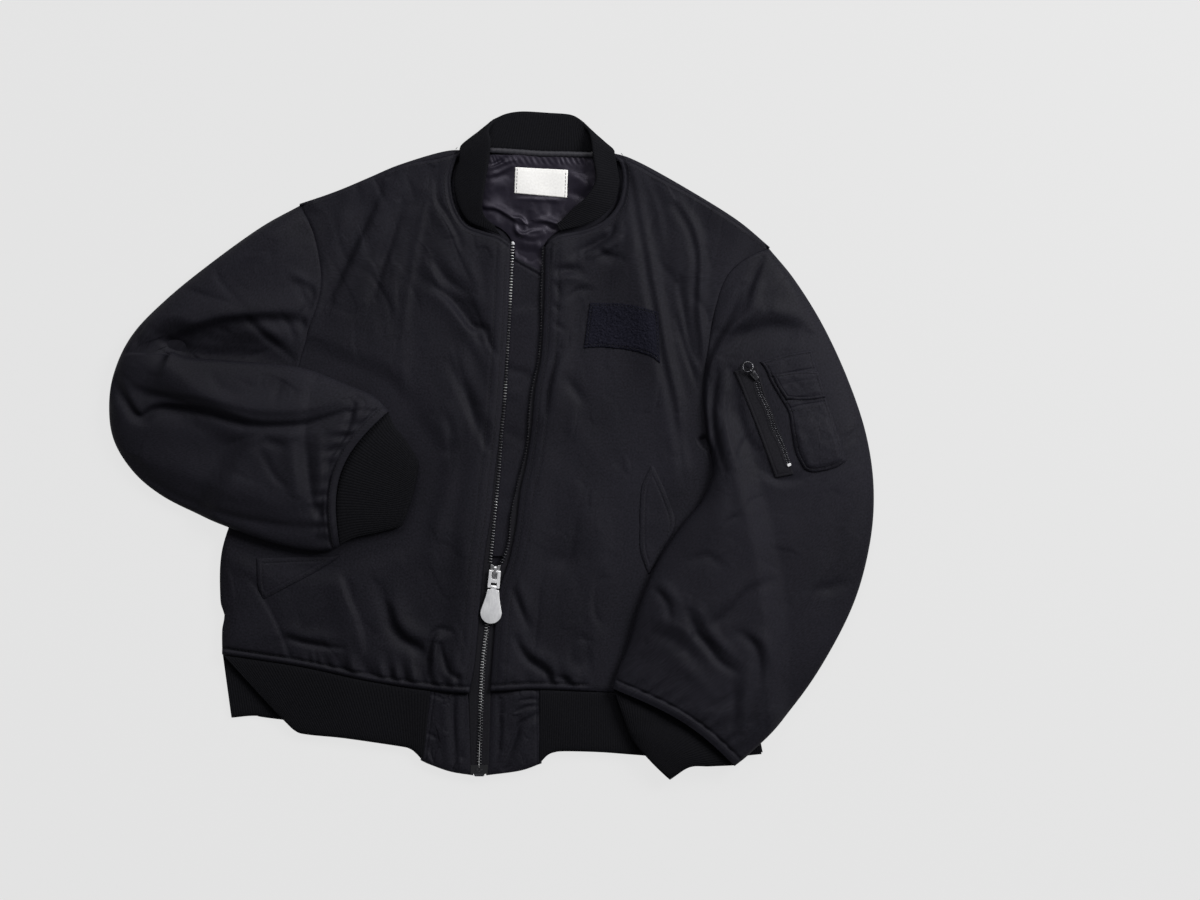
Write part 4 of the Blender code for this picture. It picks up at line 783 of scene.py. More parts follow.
TEETH_RIGHT = [(-14, -352), (-11.2, -275), (-8.8, -232), (-4.6, -195), (-1.3, -140), (2, -102), (6, -59),
               (9, -26), (12, 17), (15, 49), (18, 103), (21, 157), (24, 219)]
TEETH_LEFT = [(-13, -352), (-10.2, -275), (-7.8, -232), (-3.6, -195), (4, -145), (18, -108), (22, -72),
              (31, -32), (39, 0), (41, 35), (44, 60), (51, 92), (54, 125), (54, 160), (56, 215)]
Section = namedtuple("Section", "outer_x outer_y inner_x inner_y height on_top")
SLEEVE_RIGHT = [
    Section(-207, 261.5, -219, 22, 15, 0),
    Section(-249, 238, -256, 38, 23, 0),
    Section(-301, 200.5, -295, 60, 25, 0),
    Section(-350.5, 160, -328, 84, 25, 0),
    Section(-388.5, 120, -346.6, 97.0, 24, 0),
    Section(-409, 76, -346.6, 97.6, 24, 0.25),
    Section(-413.5, 36, -346.0, 98.4, 24, 0.5),
    Section(-407, 2, -345.0, 99.6, 24, 0.75),
    Section(-386, -30, -342.6, 101.0, 24, 1),
    Section(-357, -54, -325, 95, 24, 1),
    Section(-320, -73, -286, 92, 24, 1),
    Section(-276, -91, -246, 89, 24, 1),
    Section(-228, -107, -204, 84, 24, 1),
    Section(-190, -114, -165, 70, 23, 1),
    Section(-170, -112, -128, 54, 22, 1),
    Section(-163, -108, -110, 37, 20, 1),
]
SLEEVE_LEFT = [
    Section(300.5, 214, 233, 8, 15, 0),
    Section(329, 179, 236, -2, 23, 0.2),
    Section(359.5, 129.5, 239, -14, 25, 0.6),
    Section(386.5, 70.5, 240, -27, 26, 1),
    Section(406, 11, 236, -42, 27, 1),
    Section(414, -48, 226, -62, 27, 1),
    Section(409.5, -108, 204, -89, 27, 1),
    Section(391, -174, 178, -130, 26, 1),
    Section(354, -244, 160, -174, 26, 1),
    Section(314, -298, 147, -218, 24, 1),
    Section(280, -332, 136, -245, 22, 1),
    Section(263, -346, 131, -262, 19, 1),
]
END_BOW_RIGHT = (-24, 8)
END_BOW_LEFT = (10, 6)
CUFF_RIGHT = [
    Section(-163, -108, -110, 37, 12, 1),
    Section(-146, -100, -104, 22, 13, 1),
    Section(-120, -94, -90, 4, 13, 1),
    Section(-96, -88, -77, -16, 11, 1),
]
CUFF_LEFT = [
    Section(263, -346, 131, -262, 12, 1),
    Section(236, -347, 139, -284, 13, 1),
    Section(214, -348, 146, -304, 13, 1),
    Section(193, -361.7, 152, -318, 10, 1),
]


def sleeve_outline(sections):
    """Closed plan outline of a sleeve or cuff."""
    rows = smooth_rows(sections, 3)
    return np.vstack([rows[:, :2], rows[::-1, 2:4]])


BODY = np.vstack([smooth_curve(SIDE_RIGHT, even(9)), [(0, 200)], smooth_curve(SIDE_LEFT, even(9))[::-1],
                  [(289, -330), (-12, -356), (-282, -292)]])
UPPER_ARM = np.vstack([smooth_rows(SLEEVE_RIGHT[:5], 3)[:, :2], smooth_rows(SLEEVE_RIGHT[:5], 3)[::-1, 2:4],
                       smooth_curve(ARMHOLE_RIGHT, even(8))[::-1]])
FOREARM = sleeve_outline(SLEEVE_RIGHT[6:])
COVERS_RIGHT = [FOREARM, sleeve_outline(CUFF_RIGHT)]
COVERS_LEFT = [sleeve_outline(SLEEVE_LEFT), sleeve_outline(CUFF_LEFT)]
print("front edge", round(length_of(smooth_curve(CENTRE_RIGHT, even(90)))), "mm long")

# %% [markdown]
# ## Fronts
#
# Each front is a padded panel between the zip, the neck, the shoulder, the
# armhole, the side and the hem.  It swells from its sewn edges to its field, with
# a groove where the top stitching presses it down beside the zip, and a rolled
# band of shell cloth along the hem seam.  The photograph's folds are laid over
# that, and under a sleeve the panel is pressed flat.

# %% Fold tables of the fronts
FOLDS_FRONT_RIGHT = [
    Fold([(-112, 272), (-126, 246), (-148, 198), (-166, 160)], 3.0, 16, 9),
    Fold([(-120, 278), (-134, 246), (-156, 200), (-176, 156)], -4.4, 6, 10),
    Fold([(-97, 262), (-108, 225), (-119, 190), (-127, 160)], -2.6, 5, 10),
    Fold([(-94, 287), (-103, 260), (-120, 211), (-139, 157)], 2.6, 6, 13),
    Fold([(-150, 272), (-163, 240), (-176, 205)], 2.0, 8, 10),
    Fold([(-70, 274), (-76, 241), (-83, 208), (-90, 167), (-94, 125)], 2.6, 5, 11),
    Fold([(-94, 125), (-98, 71), (-94, 17)], 1.8, 9, 16),
    Fold([(-59, 285), (-58, 264), (-48, 249), (-37, 228), (-33, 215)], -2.2, 4, 3.2),
    Fold([(-63, 280), (-63, 262), (-54, 245), (-43, 226)], 1.4, 6, 8),
    Fold([(-62, 202), (-50, 183), (-37, 172), (-24, 165)], -3.6, 9, 5),
    Fold([(-66, 192), (-56, 172), (-40, 158)], 2.6, 4, 11),
    Fold([(-60, 171), (-45, 160), (-33, 144), (-21, 129), (-5, 124), (-2, 109)], -3.0, 4.5, 3.2),
    Fold([(-60, 160), (-46, 150), (-32, 132), (-20, 118)], 2.2, 4, 12),
    Fold([(-23, 198), (-13, 156)], 1.6, 6, 6),
    Fold([(-30, 100), (-45, 50), (-50, -10)], 1.8, 14, 20),
    Fold([(-125, 120), (-135, 60), (-128, 0)], 1.6, 18, 22),
    Fold([(-166, -140), (-158, -163), (-148, -188), (-142, -210), (-141, -226)], 4.2, 4, 18),
    Fold([(-121, -152), (-112, -178), (-107, -195), (-96, -210), (-78, -220), (-72, -230), (-71, -250)],
         -4.0, 5, 8),
    Fold([(-104, -168), (-98, -190), (-86, -202), (-70, -208)], 3.2, 11, 6),
    Fold([(-42, -201), (-56, -198), (-64, -206), (-67, -219), (-68, -248)], -3.0, 3.4, 3.0),
    Fold([(-48, -208), (-58, -212), (-61, -226), (-62, -246)], 2.4, 4, 4),
    Fold([(-56, -215), (-51, -231), (-45, -246), (-33, -252)], -3.2, 3.2, 3.4),
    Fold([(-40, -222), (-37, -240), (-26, -250)], 1.8, 6, 5),
    Fold([(-218, -209), (-200, -214), (-176, -218), (-160, -219)], -3.0, 3.2, 3.4),
    Fold([(-220, -201), (-200, -206), (-176, -209)], 2.4, 8, 4),
    Fold([(-238, -206), (-214, -199), (-200, -188), (-183, -171)], 1.8, 8, 6),
    Fold([(-66, -124), (-57, -80), (-44, -37)], 1.8, 12, 14),
    Fold([(-27, -150), (-31, -90), (-20, -20)], 1.2, 8, 8),
    Fold([(-230, -130), (-205, -120), (-190, -124)], 1.2, 6, 6),
    Fold([(-62, 204), (-44, 186), (-20, 165), (-8, 140)], 2.6, 14, 9),
    Fold([(-74, 180), (-60, 171), (-44, 160), (-26, 144), (-14, 122), (-4, 98)], -3.4, 8, 6),
    Fold([(-75, 265), (-85, 220), (-95, 165), (-102, 120)], -2.6, 16, 9),
    Fold([(-44, 90), (-29, 58), (-14, 22), (-5, 2)], -3.0, 9, 6),
    Fold([(-36, 95), (-20, 60), (-6, 30)], 2.2, 10, 9),
    Fold([(-47, 30), (-43, 12), (-46, -3)], -2.2, 5, 5),
    Fold([(-60, -2), (-48, -8), (-38, 2)], -2.2, 5, 5),
]
FOLDS_FRONT_LEFT = [
    Fold([(144, 304), (154, 282), (160, 249), (170, 198), (181, 138), (188, 97), (200, 43), (208, -5),
          (213, -40)], 5.2, 8.5, 26),
    Fold([(141, 300), (151, 280), (157, 249), (166, 198), (177, 138), (184, 97), (196, 43), (204, -5),
          (209, -40)], -3.8, 6, 6),
    Fold([(199, 258), (212, 237), (218, 219), (221, 199), (219, 148), (223, 112), (226, 92)], -3.6, 5, 5),
    Fold([(178, 292), (190, 262), (198, 225), (204, 180), (208, 140)], 1.8, 10, 12),
    Fold([(202, 262), (216, 239), (222, 220), (225, 199), (223, 148), (227, 113), (231, 92)], 4.6, 7, 15),
    Fold([(203, 175), (209, 143), (217, 105), (226, 86)], -3.0, 6, 4),
    Fold([(201, 136), (209, 107), (217, 83), (225, 60)], -2.6, 5, 4),
    Fold([(132, 243), (129, 228), (118, 220), (101, 212)], -2.8, 3.4, 3.6),
    Fold([(140, 232), (136, 220), (124, 212), (110, 205)], 2.6, 4, 9),
    Fold([(114, 213), (124, 206), (139, 203)], -2.4, 4, 6),
    Fold([(64, 190), (80, 191), (97, 189)], -2.2, 4, 4.5),
    Fold([(70, 181), (84, 182), (98, 179)], 1.8, 4, 6),
    Fold([(84, 160), (95, 168), (107, 169)], -2.2, 3.4, 4.5),
    Fold([(66, 176), (72, 170), (74, 160)], -1.4, 3.5, 3.5),
    Fold([(133, 181), (151, 201), (158, 228)], 1.8, 9, 8),
    Fold([(112, 245), (120, 236), (128, 226)], 1.4, 5, 5),
    Fold([(163, 294), (174, 269), (180, 249), (187, 211)], 1.6, 5, 8),
    Fold([(24, -156), (28, -168), (33, -181), (39, -196)], -2.4, 3.6, 3.0),
    Fold([(30, -150), (36, -168), (42, -184)], 1.8, 8, 4),
    Fold([(26, -208), (32, -221), (40, -232), (51, -240), (62, -249), (67, -263)], -3.4, 3.6, 3.8),
    Fold([(36, -212), (46, -225), (60, -234), (72, -246)], 2.8, 10, 4),
    Fold([(73, -250), (82, -254), (86, -265)], -2.8, 3.2, 3.2),
    Fold([(92, -240), (95, -252), (96, -264)], 1.8, 5, 4),
    Fold([(106, -225), (106, -264)], -1.6, 4, 5),
    Fold([(60, -119), (78, -124), (95, -122)], -1.8, 12, 12),
    Fold([(166, -160), (150, -210), (136, -240)], -2.0, 10, 12),
    Fold([(75, -26), (107, -80), (118, -145)], 2.0, 18, 22),
    Fold([(75, 70), (90, 20), (112, -20)], 1.6, 14, 18),
    Fold([(176, -112), (198, -98)], -1.2, 6, 6),
    Fold([(74, 104), (66, 85), (60, 62), (57, 35)], -3.4, 5, 7),
    Fold([(82, 100), (74, 80), (68, 50)], 2.0, 8, 9),
    Fold([(80, 73), (92, 58), (100, 46)], -2.2, 6, 6),
    Fold([(67, 184), (78, 186), (92, 192)], -2.4, 5, 4),
    Fold([(89, 205), (105, 214), (120, 224), (131, 233)], -3.0, 6, 5),
    Fold([(66, 152), (74, 146)], -1.6, 3, 3),
    Fold([(68, 132), (78, 126)], -1.6, 3, 3),
]
Pucker = namedtuple("Pucker", "start end pitch height reach")
PUCKERS_RIGHT = [Pucker(-225, -150, 13, 1.3, 10), Pucker(-160, -70, 21, 3.0, 16),
                 Pucker(-70, -30, 15, 1.6, 11)]
PUCKERS_LEFT = [Pucker(20, 66, 15, 1.0, 9), Pucker(60, 130, 17, 2.0, 14), Pucker(125, 180, 21, 1.2, 12)]
BAND_WIDTH = 6.0
STITCH_GROOVES = (5.5, 15.0)
print("folds on the fronts:", len(FOLDS_FRONT_RIGHT), "+", len(FOLDS_FRONT_LEFT))

# %% Front panels
Front = namedtuple("Front", "centre neck shoulder armhole side hem folds puckers covers seed lean")
FRONTS = {
    "front_right": Front(CENTRE_RIGHT, NECK_RIGHT, SHOULDER_RIGHT, ARMHOLE_RIGHT, SIDE_RIGHT, HEM_RIGHT,
                         FOLDS_FRONT_RIGHT, PUCKERS_RIGHT, COVERS_RIGHT, 11, 0.35),
    "front_left": Front(CENTRE_LEFT, NECK_LEFT, SHOULDER_LEFT, ARMHOLE_LEFT, SIDE_LEFT, HEM_LEFT,
                        FOLDS_FRONT_LEFT, PUCKERS_LEFT, COVERS_LEFT, 23, -0.15),
}
CROWN_POWER = 2.6
START_POWER = 14.0
SLEEVE_START = 15.0
FRONT_ROWS = 300
FRONT_COLUMNS = 156
PANEL_STEP = 6
SWELL_REACH = 8.5
THINNEST = 2.6
CLEAR_OF_COVER = (18, 40)
ZIP_GROOVES = [Groove(-0.4, place, 1.6) for place in STITCH_GROOVES]
ZIP_GROOVES += [Groove(0.25, sum(STITCH_GROOVES) / 2, 4.0)]
NECK_GROOVES = [Groove(-0.7, 4.5, 1.5), Groove(0.5, 1.8, 1.8)]
HEM_GROOVES = [Groove(-1.9, BAND_WIDTH + 0.8, 1.6), Groove(1.1, BAND_WIDTH / 2, 2.2)]
SHOULDER_GROOVES = [Groove(-1.0, 0, 1.8)]
SIDE_GROOVES = [Groove(-0.7, 0, 2.2)]
ARM_GROOVES = [Groove(-0.8, 0, 1.6)]


def gathers(puckers, xy, from_hem):
    """Seam gathers: a wave along x, its phase pushed about by noise, that dies away from the hem."""
    total = np.zeros(xy.shape[:-1])
    for row, pucker in enumerate(puckers):
        drift = 0.42 * pucker.pitch * soft_noise(xy * (1, 0.25), 1.4 * pucker.pitch, 61 + row)
        wave = np.sin((xy[..., 0] + drift + 0.22 * from_hem) * math.tau / pucker.pitch)
        inside = ease(xy[..., 0], pucker.start - 8, pucker.start + 8)
        inside = inside * (1 - ease(xy[..., 0], pucker.end - 8, pucker.end + 8))
        size = 0.75 + 0.5 * soft_noise(xy * (1, 0.1), 2.1 * pucker.pitch, 71 + row)
        shape = np.sign(wave) * np.abs(wave) ** 1.3
        total += pucker.height * size * shape * inside * bump(from_hem - BAND_WIDTH, pucker.reach)
    return total


def armhole_level(armhole, xy):
    """Thickness that meets the sleeve's first ring: crown (1 - |2t - 1|^p)^0.5 at the nearest place t."""
    gap = np.linalg.norm(xy[..., None, :] - armhole, axis=-1)
    place = fractions(armhole)[np.argmin(gap, axis=-1)]
    crown = (1 - np.abs(2 * place - 1) ** START_POWER) ** 0.5
    return SLEEVE_EDGE + (SLEEVE_START - SLEEVE_EDGE) * crown - FRONT_BOTTOM


def front_height(front, xy):
    """Top of a front: field swollen from its seams, folds, gathers and grooves, pressed under sleeves."""
    zip_edge = smooth_curve(front.centre, even(60))
    neck = smooth_curve(front.neck, even(30))
    shoulder = smooth_curve(front.shoulder, even(30))
    armhole = smooth_curve(front.armhole, even(200))
    hem_line = smooth_curve(front.hem, even(40))
    from_zip = edge_distance(zip_edge, xy)
    from_neck = edge_distance(neck, xy)
    from_shoulder = edge_distance(shoulder, xy)
    from_hem = edge_distance(hem_line, xy)
    from_side = edge_distance(smooth_curve(front.side, even(24)), xy)
    from_arm = edge_distance(armhole, xy)
    from_edge = np.minimum.reduce([from_zip, from_neck, from_side, from_hem])
    swell = 1 - np.exp(-from_edge / SWELL_REACH)
    field = FRONT_EDGE + (FRONT_FIELD - FRONT_EDGE) * swell + 1.4 * (1 - ease(from_shoulder, 0, 25))
    fade = ease(np.minimum.reduce([from_zip, from_neck, from_side]), 2, 15) * ease(from_hem, 5, 11)
    fade = fade * (0.35 + 0.65 * ease(from_arm, 0, 7))
    field = field + (armhole_level(armhole, xy) - field) * (1 - ease(from_arm, 0, 16))
    folded = (relief(front.folds, xy) + slack(xy, front.seed, 1.0, front.lean)) * fade
    folded = folded + gathers(front.puckers, xy, from_hem) * ease(from_hem, 4, 9)
    sewn = sum(grooved(distance, grooves) for distance, grooves in (
        (from_zip, ZIP_GROOVES), (from_neck, NECK_GROOVES), (from_hem, HEM_GROOVES),
        (from_shoulder, SHOULDER_GROOVES), (from_side, SIDE_GROOVES), (from_arm, ARM_GROOVES)))
    free = np.minimum.reduce([ease(outside(cover, xy), *CLEAR_OF_COVER) for cover in front.covers])
    lift = ZIP_EDGE_LIFT * (1 - ease(from_zip, 14, 40)) * free
    pressed = np.minimum(FRONT_PRESSED, field)
    thick = pressed + (field + folded + sewn - pressed) * free
    return FRONT_BOTTOM + lift + np.maximum(thick, THINNEST), FRONT_BOTTOM + lift


def front_plan(front):
    """Coons grid between hem, shoulder, zip and neck edge, and side and armhole edge, denser near seams."""
    side = smooth_curve(front.side, even(240))
    armhole = smooth_curve(front.armhole, even(240))[::-1]
    outer = np.vstack([side, armhole[1:]])
    inner = np.vstack([smooth_curve(front.centre, even(240)), smooth_curve(front.neck, even(120))[1:]])
    rows = 0.75 * even(FRONT_ROWS + 1) + 0.25 * round_places(FRONT_ROWS)
    columns = 0.7 * even(FRONT_COLUMNS + 1) + 0.3 * round_places(FRONT_COLUMNS)
    left = np.column_stack([np.interp(rows, fractions(inner), axis) for axis in inner.T])
    right = np.column_stack([np.interp(rows, fractions(outer), axis) for axis in outer.T])
    low = smooth_curve(front.hem, columns)
    high = smooth_curve(front.shoulder, columns)
    return coons(low, high, left, right, columns, rows)


FRONT_GRIDS = {}
for label, front in FRONTS.items():
    plan = front_plan(front)
    top, under = front_height(front, plan)
    FRONT_GRIDS[label] = at_height(plan, top)

    mesh = add_cloth(label + "_shell", FRONT_GRIDS[label], at_height(plan, under), PANEL_STEP,
                     "shell", label)
    print(label, len(mesh.polygons), "faces, up to", round(float(top.max()), 1), "mm high")

# %% [markdown]
# ## Back
#
# The back lies on the table under both fronts.  It shows only as a narrow strip
# above each shoulder seam, where it turns over, so its fine rows are there.  Its
# underside is flat, because the jacket rests on it.

# %% Back panel
SHOULDER_TOP = 12.5
NECK_CENTRE = 51.0
BACK_ROWS = 49


def back_grids():
    """Coons grid of the back, with rows that rise over the shoulder seam to a rounded outline."""
    outer = {}
    for label, side, armhole in (("right", SIDE_RIGHT, ARMHOLE_RIGHT), ("left", SIDE_LEFT, ARMHOLE_LEFT)):
        line = np.vstack([smooth_curve(side, even(90)), smooth_curve(armhole, even(90))[::-1][1:]])
        spaced = [np.interp(even(BACK_ROWS), fractions(line), axis) for axis in line.T]
        outer[label] = np.column_stack(spaced)
    shoulder_right = smooth_curve(SHOULDER_RIGHT, even(85))[::-1]
    high = np.vstack([shoulder_right, smooth_curve(BACK_NECK, even(51))[1:-1],
                      smooth_curve(SHOULDER_LEFT, even(85))])
    high = np.column_stack([np.interp(even(217), fractions(high), axis) for axis in high.T])
    low = smooth_curve(BACK_HEM, even(len(high)))
    plan = coons(low, high, outer["right"], outer["left"], even(len(high)), even(BACK_ROWS))
    outline = smooth_curve(BACK_OUTLINE, fractions(high))
    steps = np.array((0.0, 0.08, 0.2, 0.35, 0.5, 0.65, 0.78, 0.88, 0.95, 1.0, 1.0))[:, None, None]
    start = high + (0, 2 * SEAM_GAP)
    strip = start[None] * (1 - steps) + outline[None] * steps
    plan = np.concatenate([plan, strip])
    raised = ease(np.abs(high[:, 0] - NECK_CENTRE), 78, 96)
    place = steps[..., 0]
    roll = np.sqrt(np.clip(1 - np.clip(place, 0, 1) ** 3, 0, 1))
    crease = 1 - 0.25 * bump(place, 0.12)
    wave = 0.45 * soft_noise(strip, 14, 5) * np.sin(np.pi * place)
    top = np.full(plan.shape[:2], BACK_THICK)
    lift = (SHOULDER_TOP - 3.2 - BACK_THICK) + 3.2 * roll * crease + wave
    top[BACK_ROWS:] += lift * raised[None] - (1 - raised[None]) * 1.5 * (1 - roll)
    return plan, top


plan, top = back_grids()
mesh = add_cloth("back_panel_shell", at_height(plan[:-1], top[:-1]), at_height(plan[:-1], 0.0), 1,
                 "shell", "back_panel")
print("back:", len(mesh.polygons), "faces")

# %% [markdown]
# ## Sleeves
#
# A sleeve is a flattened tube: its two walls lie nearly on each other, so its
# section has a broad crown and round sides.  The folded one turns at the elbow,
# where its sections fan about the inner bend, and its forearm lies on the body and
# on its own upper arm.  The folds of upper arm and forearm are separate tables,
# because the two lie over each other in plan.  Each sleeve ends in a rolled band
# above the rib cuff.

# %% Fold tables of the sleeves
FOLDS_UPPER_ARM = [
    Fold([(-205, 250), (-247, 219), (-293, 187), (-336, 151), (-366, 121)], 2.6, 9, 16),
    Fold([(-352, 119), (-312, 135), (-278, 142), (-221, 145), (-196, 139)], 4.6, 17, 5.5),
    Fold([(-347, 109), (-312, 124), (-278, 131), (-221, 134), (-198, 128)], -4.2, 6, 10),
    Fold([(-356, 116), (-344, 110), (-330, 104)], -5.0, 7, 7),
    Fold([(-346, 105), (-312, 101), (-280, 99), (-246, 95), (-212, 88)], -4.5, 11, 11),
    Fold([(-206, 168), (-199, 152), (-205, 138), (-198, 122)], -2.6, 4, 4),
    Fold([(-214, 186), (-204, 180), (-197, 170)], 2.0, 4, 5),
    Fold([(-213, 174), (-202, 174), (-192, 162), (-198, 140)], -2.6, 3.4, 5),
    Fold([(-264, 138), (-247, 120), (-228, 105), (-214, 94)], -2.8, 3.4, 3.4),
    Fold([(-256, 140), (-238, 124), (-220, 110)], 2.2, 5, 5),
    Fold([(-226, 141), (-217, 127), (-212, 115)], -2.2, 3, 3.4),
    Fold([(-262, 96), (-247, 101), (-233, 105)], -1.6, 3.4, 3.6),
    Fold([(-296, 127), (-282, 122)], -1.4, 4, 4),
    Fold([(-267, 183), (-239, 215), (-206, 250)], 1.8, 9, 9),
    Fold([(-330, 120), (-300, 108), (-270, 112)], 1.6, 8, 8),
    Fold([(-372, 135), (-380, 122), (-382, 106)], -1.8, 4, 5),
    Fold([(-240, 185), (-222, 205), (-203, 215)], 1.4, 8, 9),
]
FOLDS_FOREARM = [
    Fold([(-405, 74), (-394, 50), (-379, 31), (-357, 40), (-307, 36), (-256, 22), (-205, 22), (-174, 30),
          (-154, 36)], -6.5, 4.2, 7),
    Fold([(-396, 84), (-376, 66), (-340, 58), (-307, 53), (-256, 40), (-205, 39), (-163, 49)], 3.6, 15, 6),
    Fold([(-377, -33), (-347, -53), (-294, -74), (-239, -85), (-187, -91), (-167, -96)], -2.6, 6, 12),
    Fold([(-370, -16), (-330, -30), (-285, -45), (-240, -58), (-205, -62)], 2.8, 20, 12),
    Fold([(-360, 20), (-300, 12), (-250, 2)], 1.6, 9, 14),
    Fold([(-200, 19), (-197, -17), (-193, -50), (-189, -66), (-175, -89)], -2.6, 5, 4.5),
    Fold([(-214, 8), (-212, -22), (-206, -58)], 2.2, 6, 10),
    Fold([(-184, 10), (-183, -20), (-180, -50)], 2.2, 6, 6),
    Fold([(-144, 57), (-151, 29), (-159, 7), (-177, -16)], -3.2, 4, 4),
    Fold([(-134, 45), (-141, 20), (-150, -4)], 1.8, 5, 5),
    Fold([(-172, -18), (-174, -35), (-169, -60)], -2.4, 4, 4),
    Fold([(-258, -4), (-242, 4), (-222, -3)], -1.8, 4, 5),
    Fold([(-248, -4), (-233, -32), (-216, -50)], -1.8, 5, 4),
    Fold([(-152, 60), (-136, 47), (-141, 26)], -2.2, 4, 4),
    Fold([(-232, 48), (-224, 71)], -1.6, 4, 5),
    Fold([(-300, 76), (-290, 62), (-270, 54)], -1.2, 6, 6),
    Fold([(-402, 79), (-409, 62), (-411, 46)], -2.0, 4, 5),
    Fold([(-160, -96), (-152, -60), (-140, -20)], 1.2, 6, 6),
    Fold([(-399, 90), (-404, 70), (-400, 50)], -3.2, 6, 6),
    Fold([(-188, -96), (-184, -70), (-172, -40), (-152, -8)], -2.4, 5, 5),
]
FOLDS_SLEEVE_LEFT = [
    Fold([(287, 172), (279, 145), (261, 127), (243, 99), (231, 73), (228, 38), (231, 15), (244, -21)],
         4.4, 7, 5),
    Fold([(293, 202), (283, 180), (275, 160)], -3.2, 3.6, 6),
    Fold([(272, 172), (262, 150), (250, 128), (240, 112)], -3.4, 5, 4),
    Fold([(244, 78), (239, 38), (243, 1), (251, -28)], -3.6, 3.6, 5),
    Fold([(254, 78), (251, 40), (256, 4), (266, -20)], 2.2, 4, 9),
    Fold([(246, 102), (262, 115), (282, 122), (306, 127), (334, 124)], -4.0, 9, 15),
    Fold([(290, 146), (312, 142), (342, 140)], 2.4, 12, 10),
    Fold([(250, 86), (262, 73), (267, 38), (276, 7), (302, -25)], -1.6, 5, 8),
    Fold([(289, -24), (310, -37), (336, -36)], -2.4, 8, 5),
    Fold([(168, -151), (180, -158), (190, -170), (193, -188)], -2.2, 3.6, 5),
    Fold([(178, -146), (192, -156), (202, -172)], 1.8, 6, 6),
    Fold([(214, -124), (233, -119), (249, -130)], -1.8, 5, 6),
    Fold([(213, -178), (221, -201), (233, -215), (247, -233), (264, -243)], -4.2, 4.6, 5),
    Fold([(224, -174), (234, -196), (246, -212), (262, -228)], 2.8, 8, 5),
    Fold([(237, -194), (257, -180), (276, -158), (298, -146)], -2.6, 5, 7),
    Fold([(230, -180), (252, -166), (270, -146)], 2.0, 8, 9),
    Fold([(270, -202), (284, -215), (289, -235), (289, -253)], -3.8, 4.5, 6),
    Fold([(282, -200), (298, -216), (304, -240)], 2.2, 8, 6),
    Fold([(278, -240), (275, -266), (271, -305)], 3.0, 5, 7),
    Fold([(262, -250), (262, -275), (259, -300)], -2.0, 5, 5),
    Fold([(171, -200), (198, -211), (228, -235)], -2.0, 7, 8),
    Fold([(180, -186), (205, -196), (222, -210)], 1.6, 7, 6),
    Fold([(236, -283), (252, -276), (267, -267)], -1.8, 6, 6),
    Fold([(200, -232), (222, -250), (240, -268)], 1.4, 8, 8),
    Fold([(381, -57), (373, -115), (360, -170)], -1.8, 9, 12),
    Fold([(351, -156), (385, -149)], -1.6, 6, 7),
    Fold([(300, -60), (320, -110), (318, -170)], 1.0, 24, 26),
    Fold([(250, -40), (246, -80), (226, -110)], 1.8, 9, 14),
    Fold([(320, 190), (345, 160), (366, 122)], 1.6, 9, 14),
]
print("folds on the sleeves:", len(FOLDS_UPPER_ARM), len(FOLDS_FOREARM), len(FOLDS_SLEEVE_LEFT))

# %% Sleeves
UNDER_POWER = 7
Sleeve = namedtuple("Sleeve", "sections armhole bow seed lean")
SLEEVES = {
    "sleeve_right": Sleeve(SLEEVE_RIGHT, ARMHOLE_RIGHT, END_BOW_RIGHT, 31, 1.3),
    "sleeve_left": Sleeve(SLEEVE_LEFT, ARMHOLE_LEFT, END_BOW_LEFT, 47, -0.7),
}
SLEEVE_RINGS = 26
TOP_POINTS = 112
UNDER_POINTS = 22
END_BAND = 9.0
END_GROOVES = [Groove(-1.3, END_BAND + 0.8, 1.8), Groove(0.9, END_BAND / 2, 3.2)]
START_GROOVES = [Groove(-0.8, 0, 1.8)]
OFF_BODY = (14, 44)
OFF_ARM = (8, 50)


def bowed_plan(rows, places, start_curve, end_bow):
    """Plan points of sleeve rings, bowed like the armhole at one end and the end seam at the other."""
    place = places[None, :, None]
    straight = rows[:, None, :2] * (1 - place) + rows[:, None, 2:4] * place
    along = even(len(rows))[:, None, None]
    line = rows[0, :2] * (1 - places[:, None]) + rows[0, 2:4] * places[:, None]
    straight = straight + (start_curve - line)[None] * (1 - ease(along, 0, 0.35))
    bow = np.sin(np.pi * places)[None, :, None] * np.array(end_bow, float)
    return straight + bow * ease(along, 0.65, 1.0)


def lower_arm_support(xy):
    """Height of the surface under the folded forearm: table, body or upper arm."""
    on_body = ON_BODY * (1 - ease(outside(BODY, xy), *OFF_BODY))
    on_arm = ON_ARM * (1 - ease(outside(UPPER_ARM, xy), *OFF_ARM))
    return np.maximum(on_body, on_arm)


def left_support(xy):
    """Height of the surface under the wearer's left sleeve and cuff."""
    level = ON_BODY - 1.6 * ease(-xy[..., 1], 285, 305)
    return level * (1 - ease(outside(BODY, xy), *OFF_BODY))


def right_folds(plan, section):
    """Folds of the upper arm fade into those of the forearm round the elbow."""
    upper = relief(FOLDS_UPPER_ARM, plan) * (1 - ease(section, 4.2, 5.4))
    lower = relief(FOLDS_FOREARM, plan) * ease(section, 4.6, 6.2)
    return upper + lower


def left_folds(plan, section):
    """Folds of the sleeve beside the body."""
    return relief(FOLDS_SLEEVE_LEFT, plan)


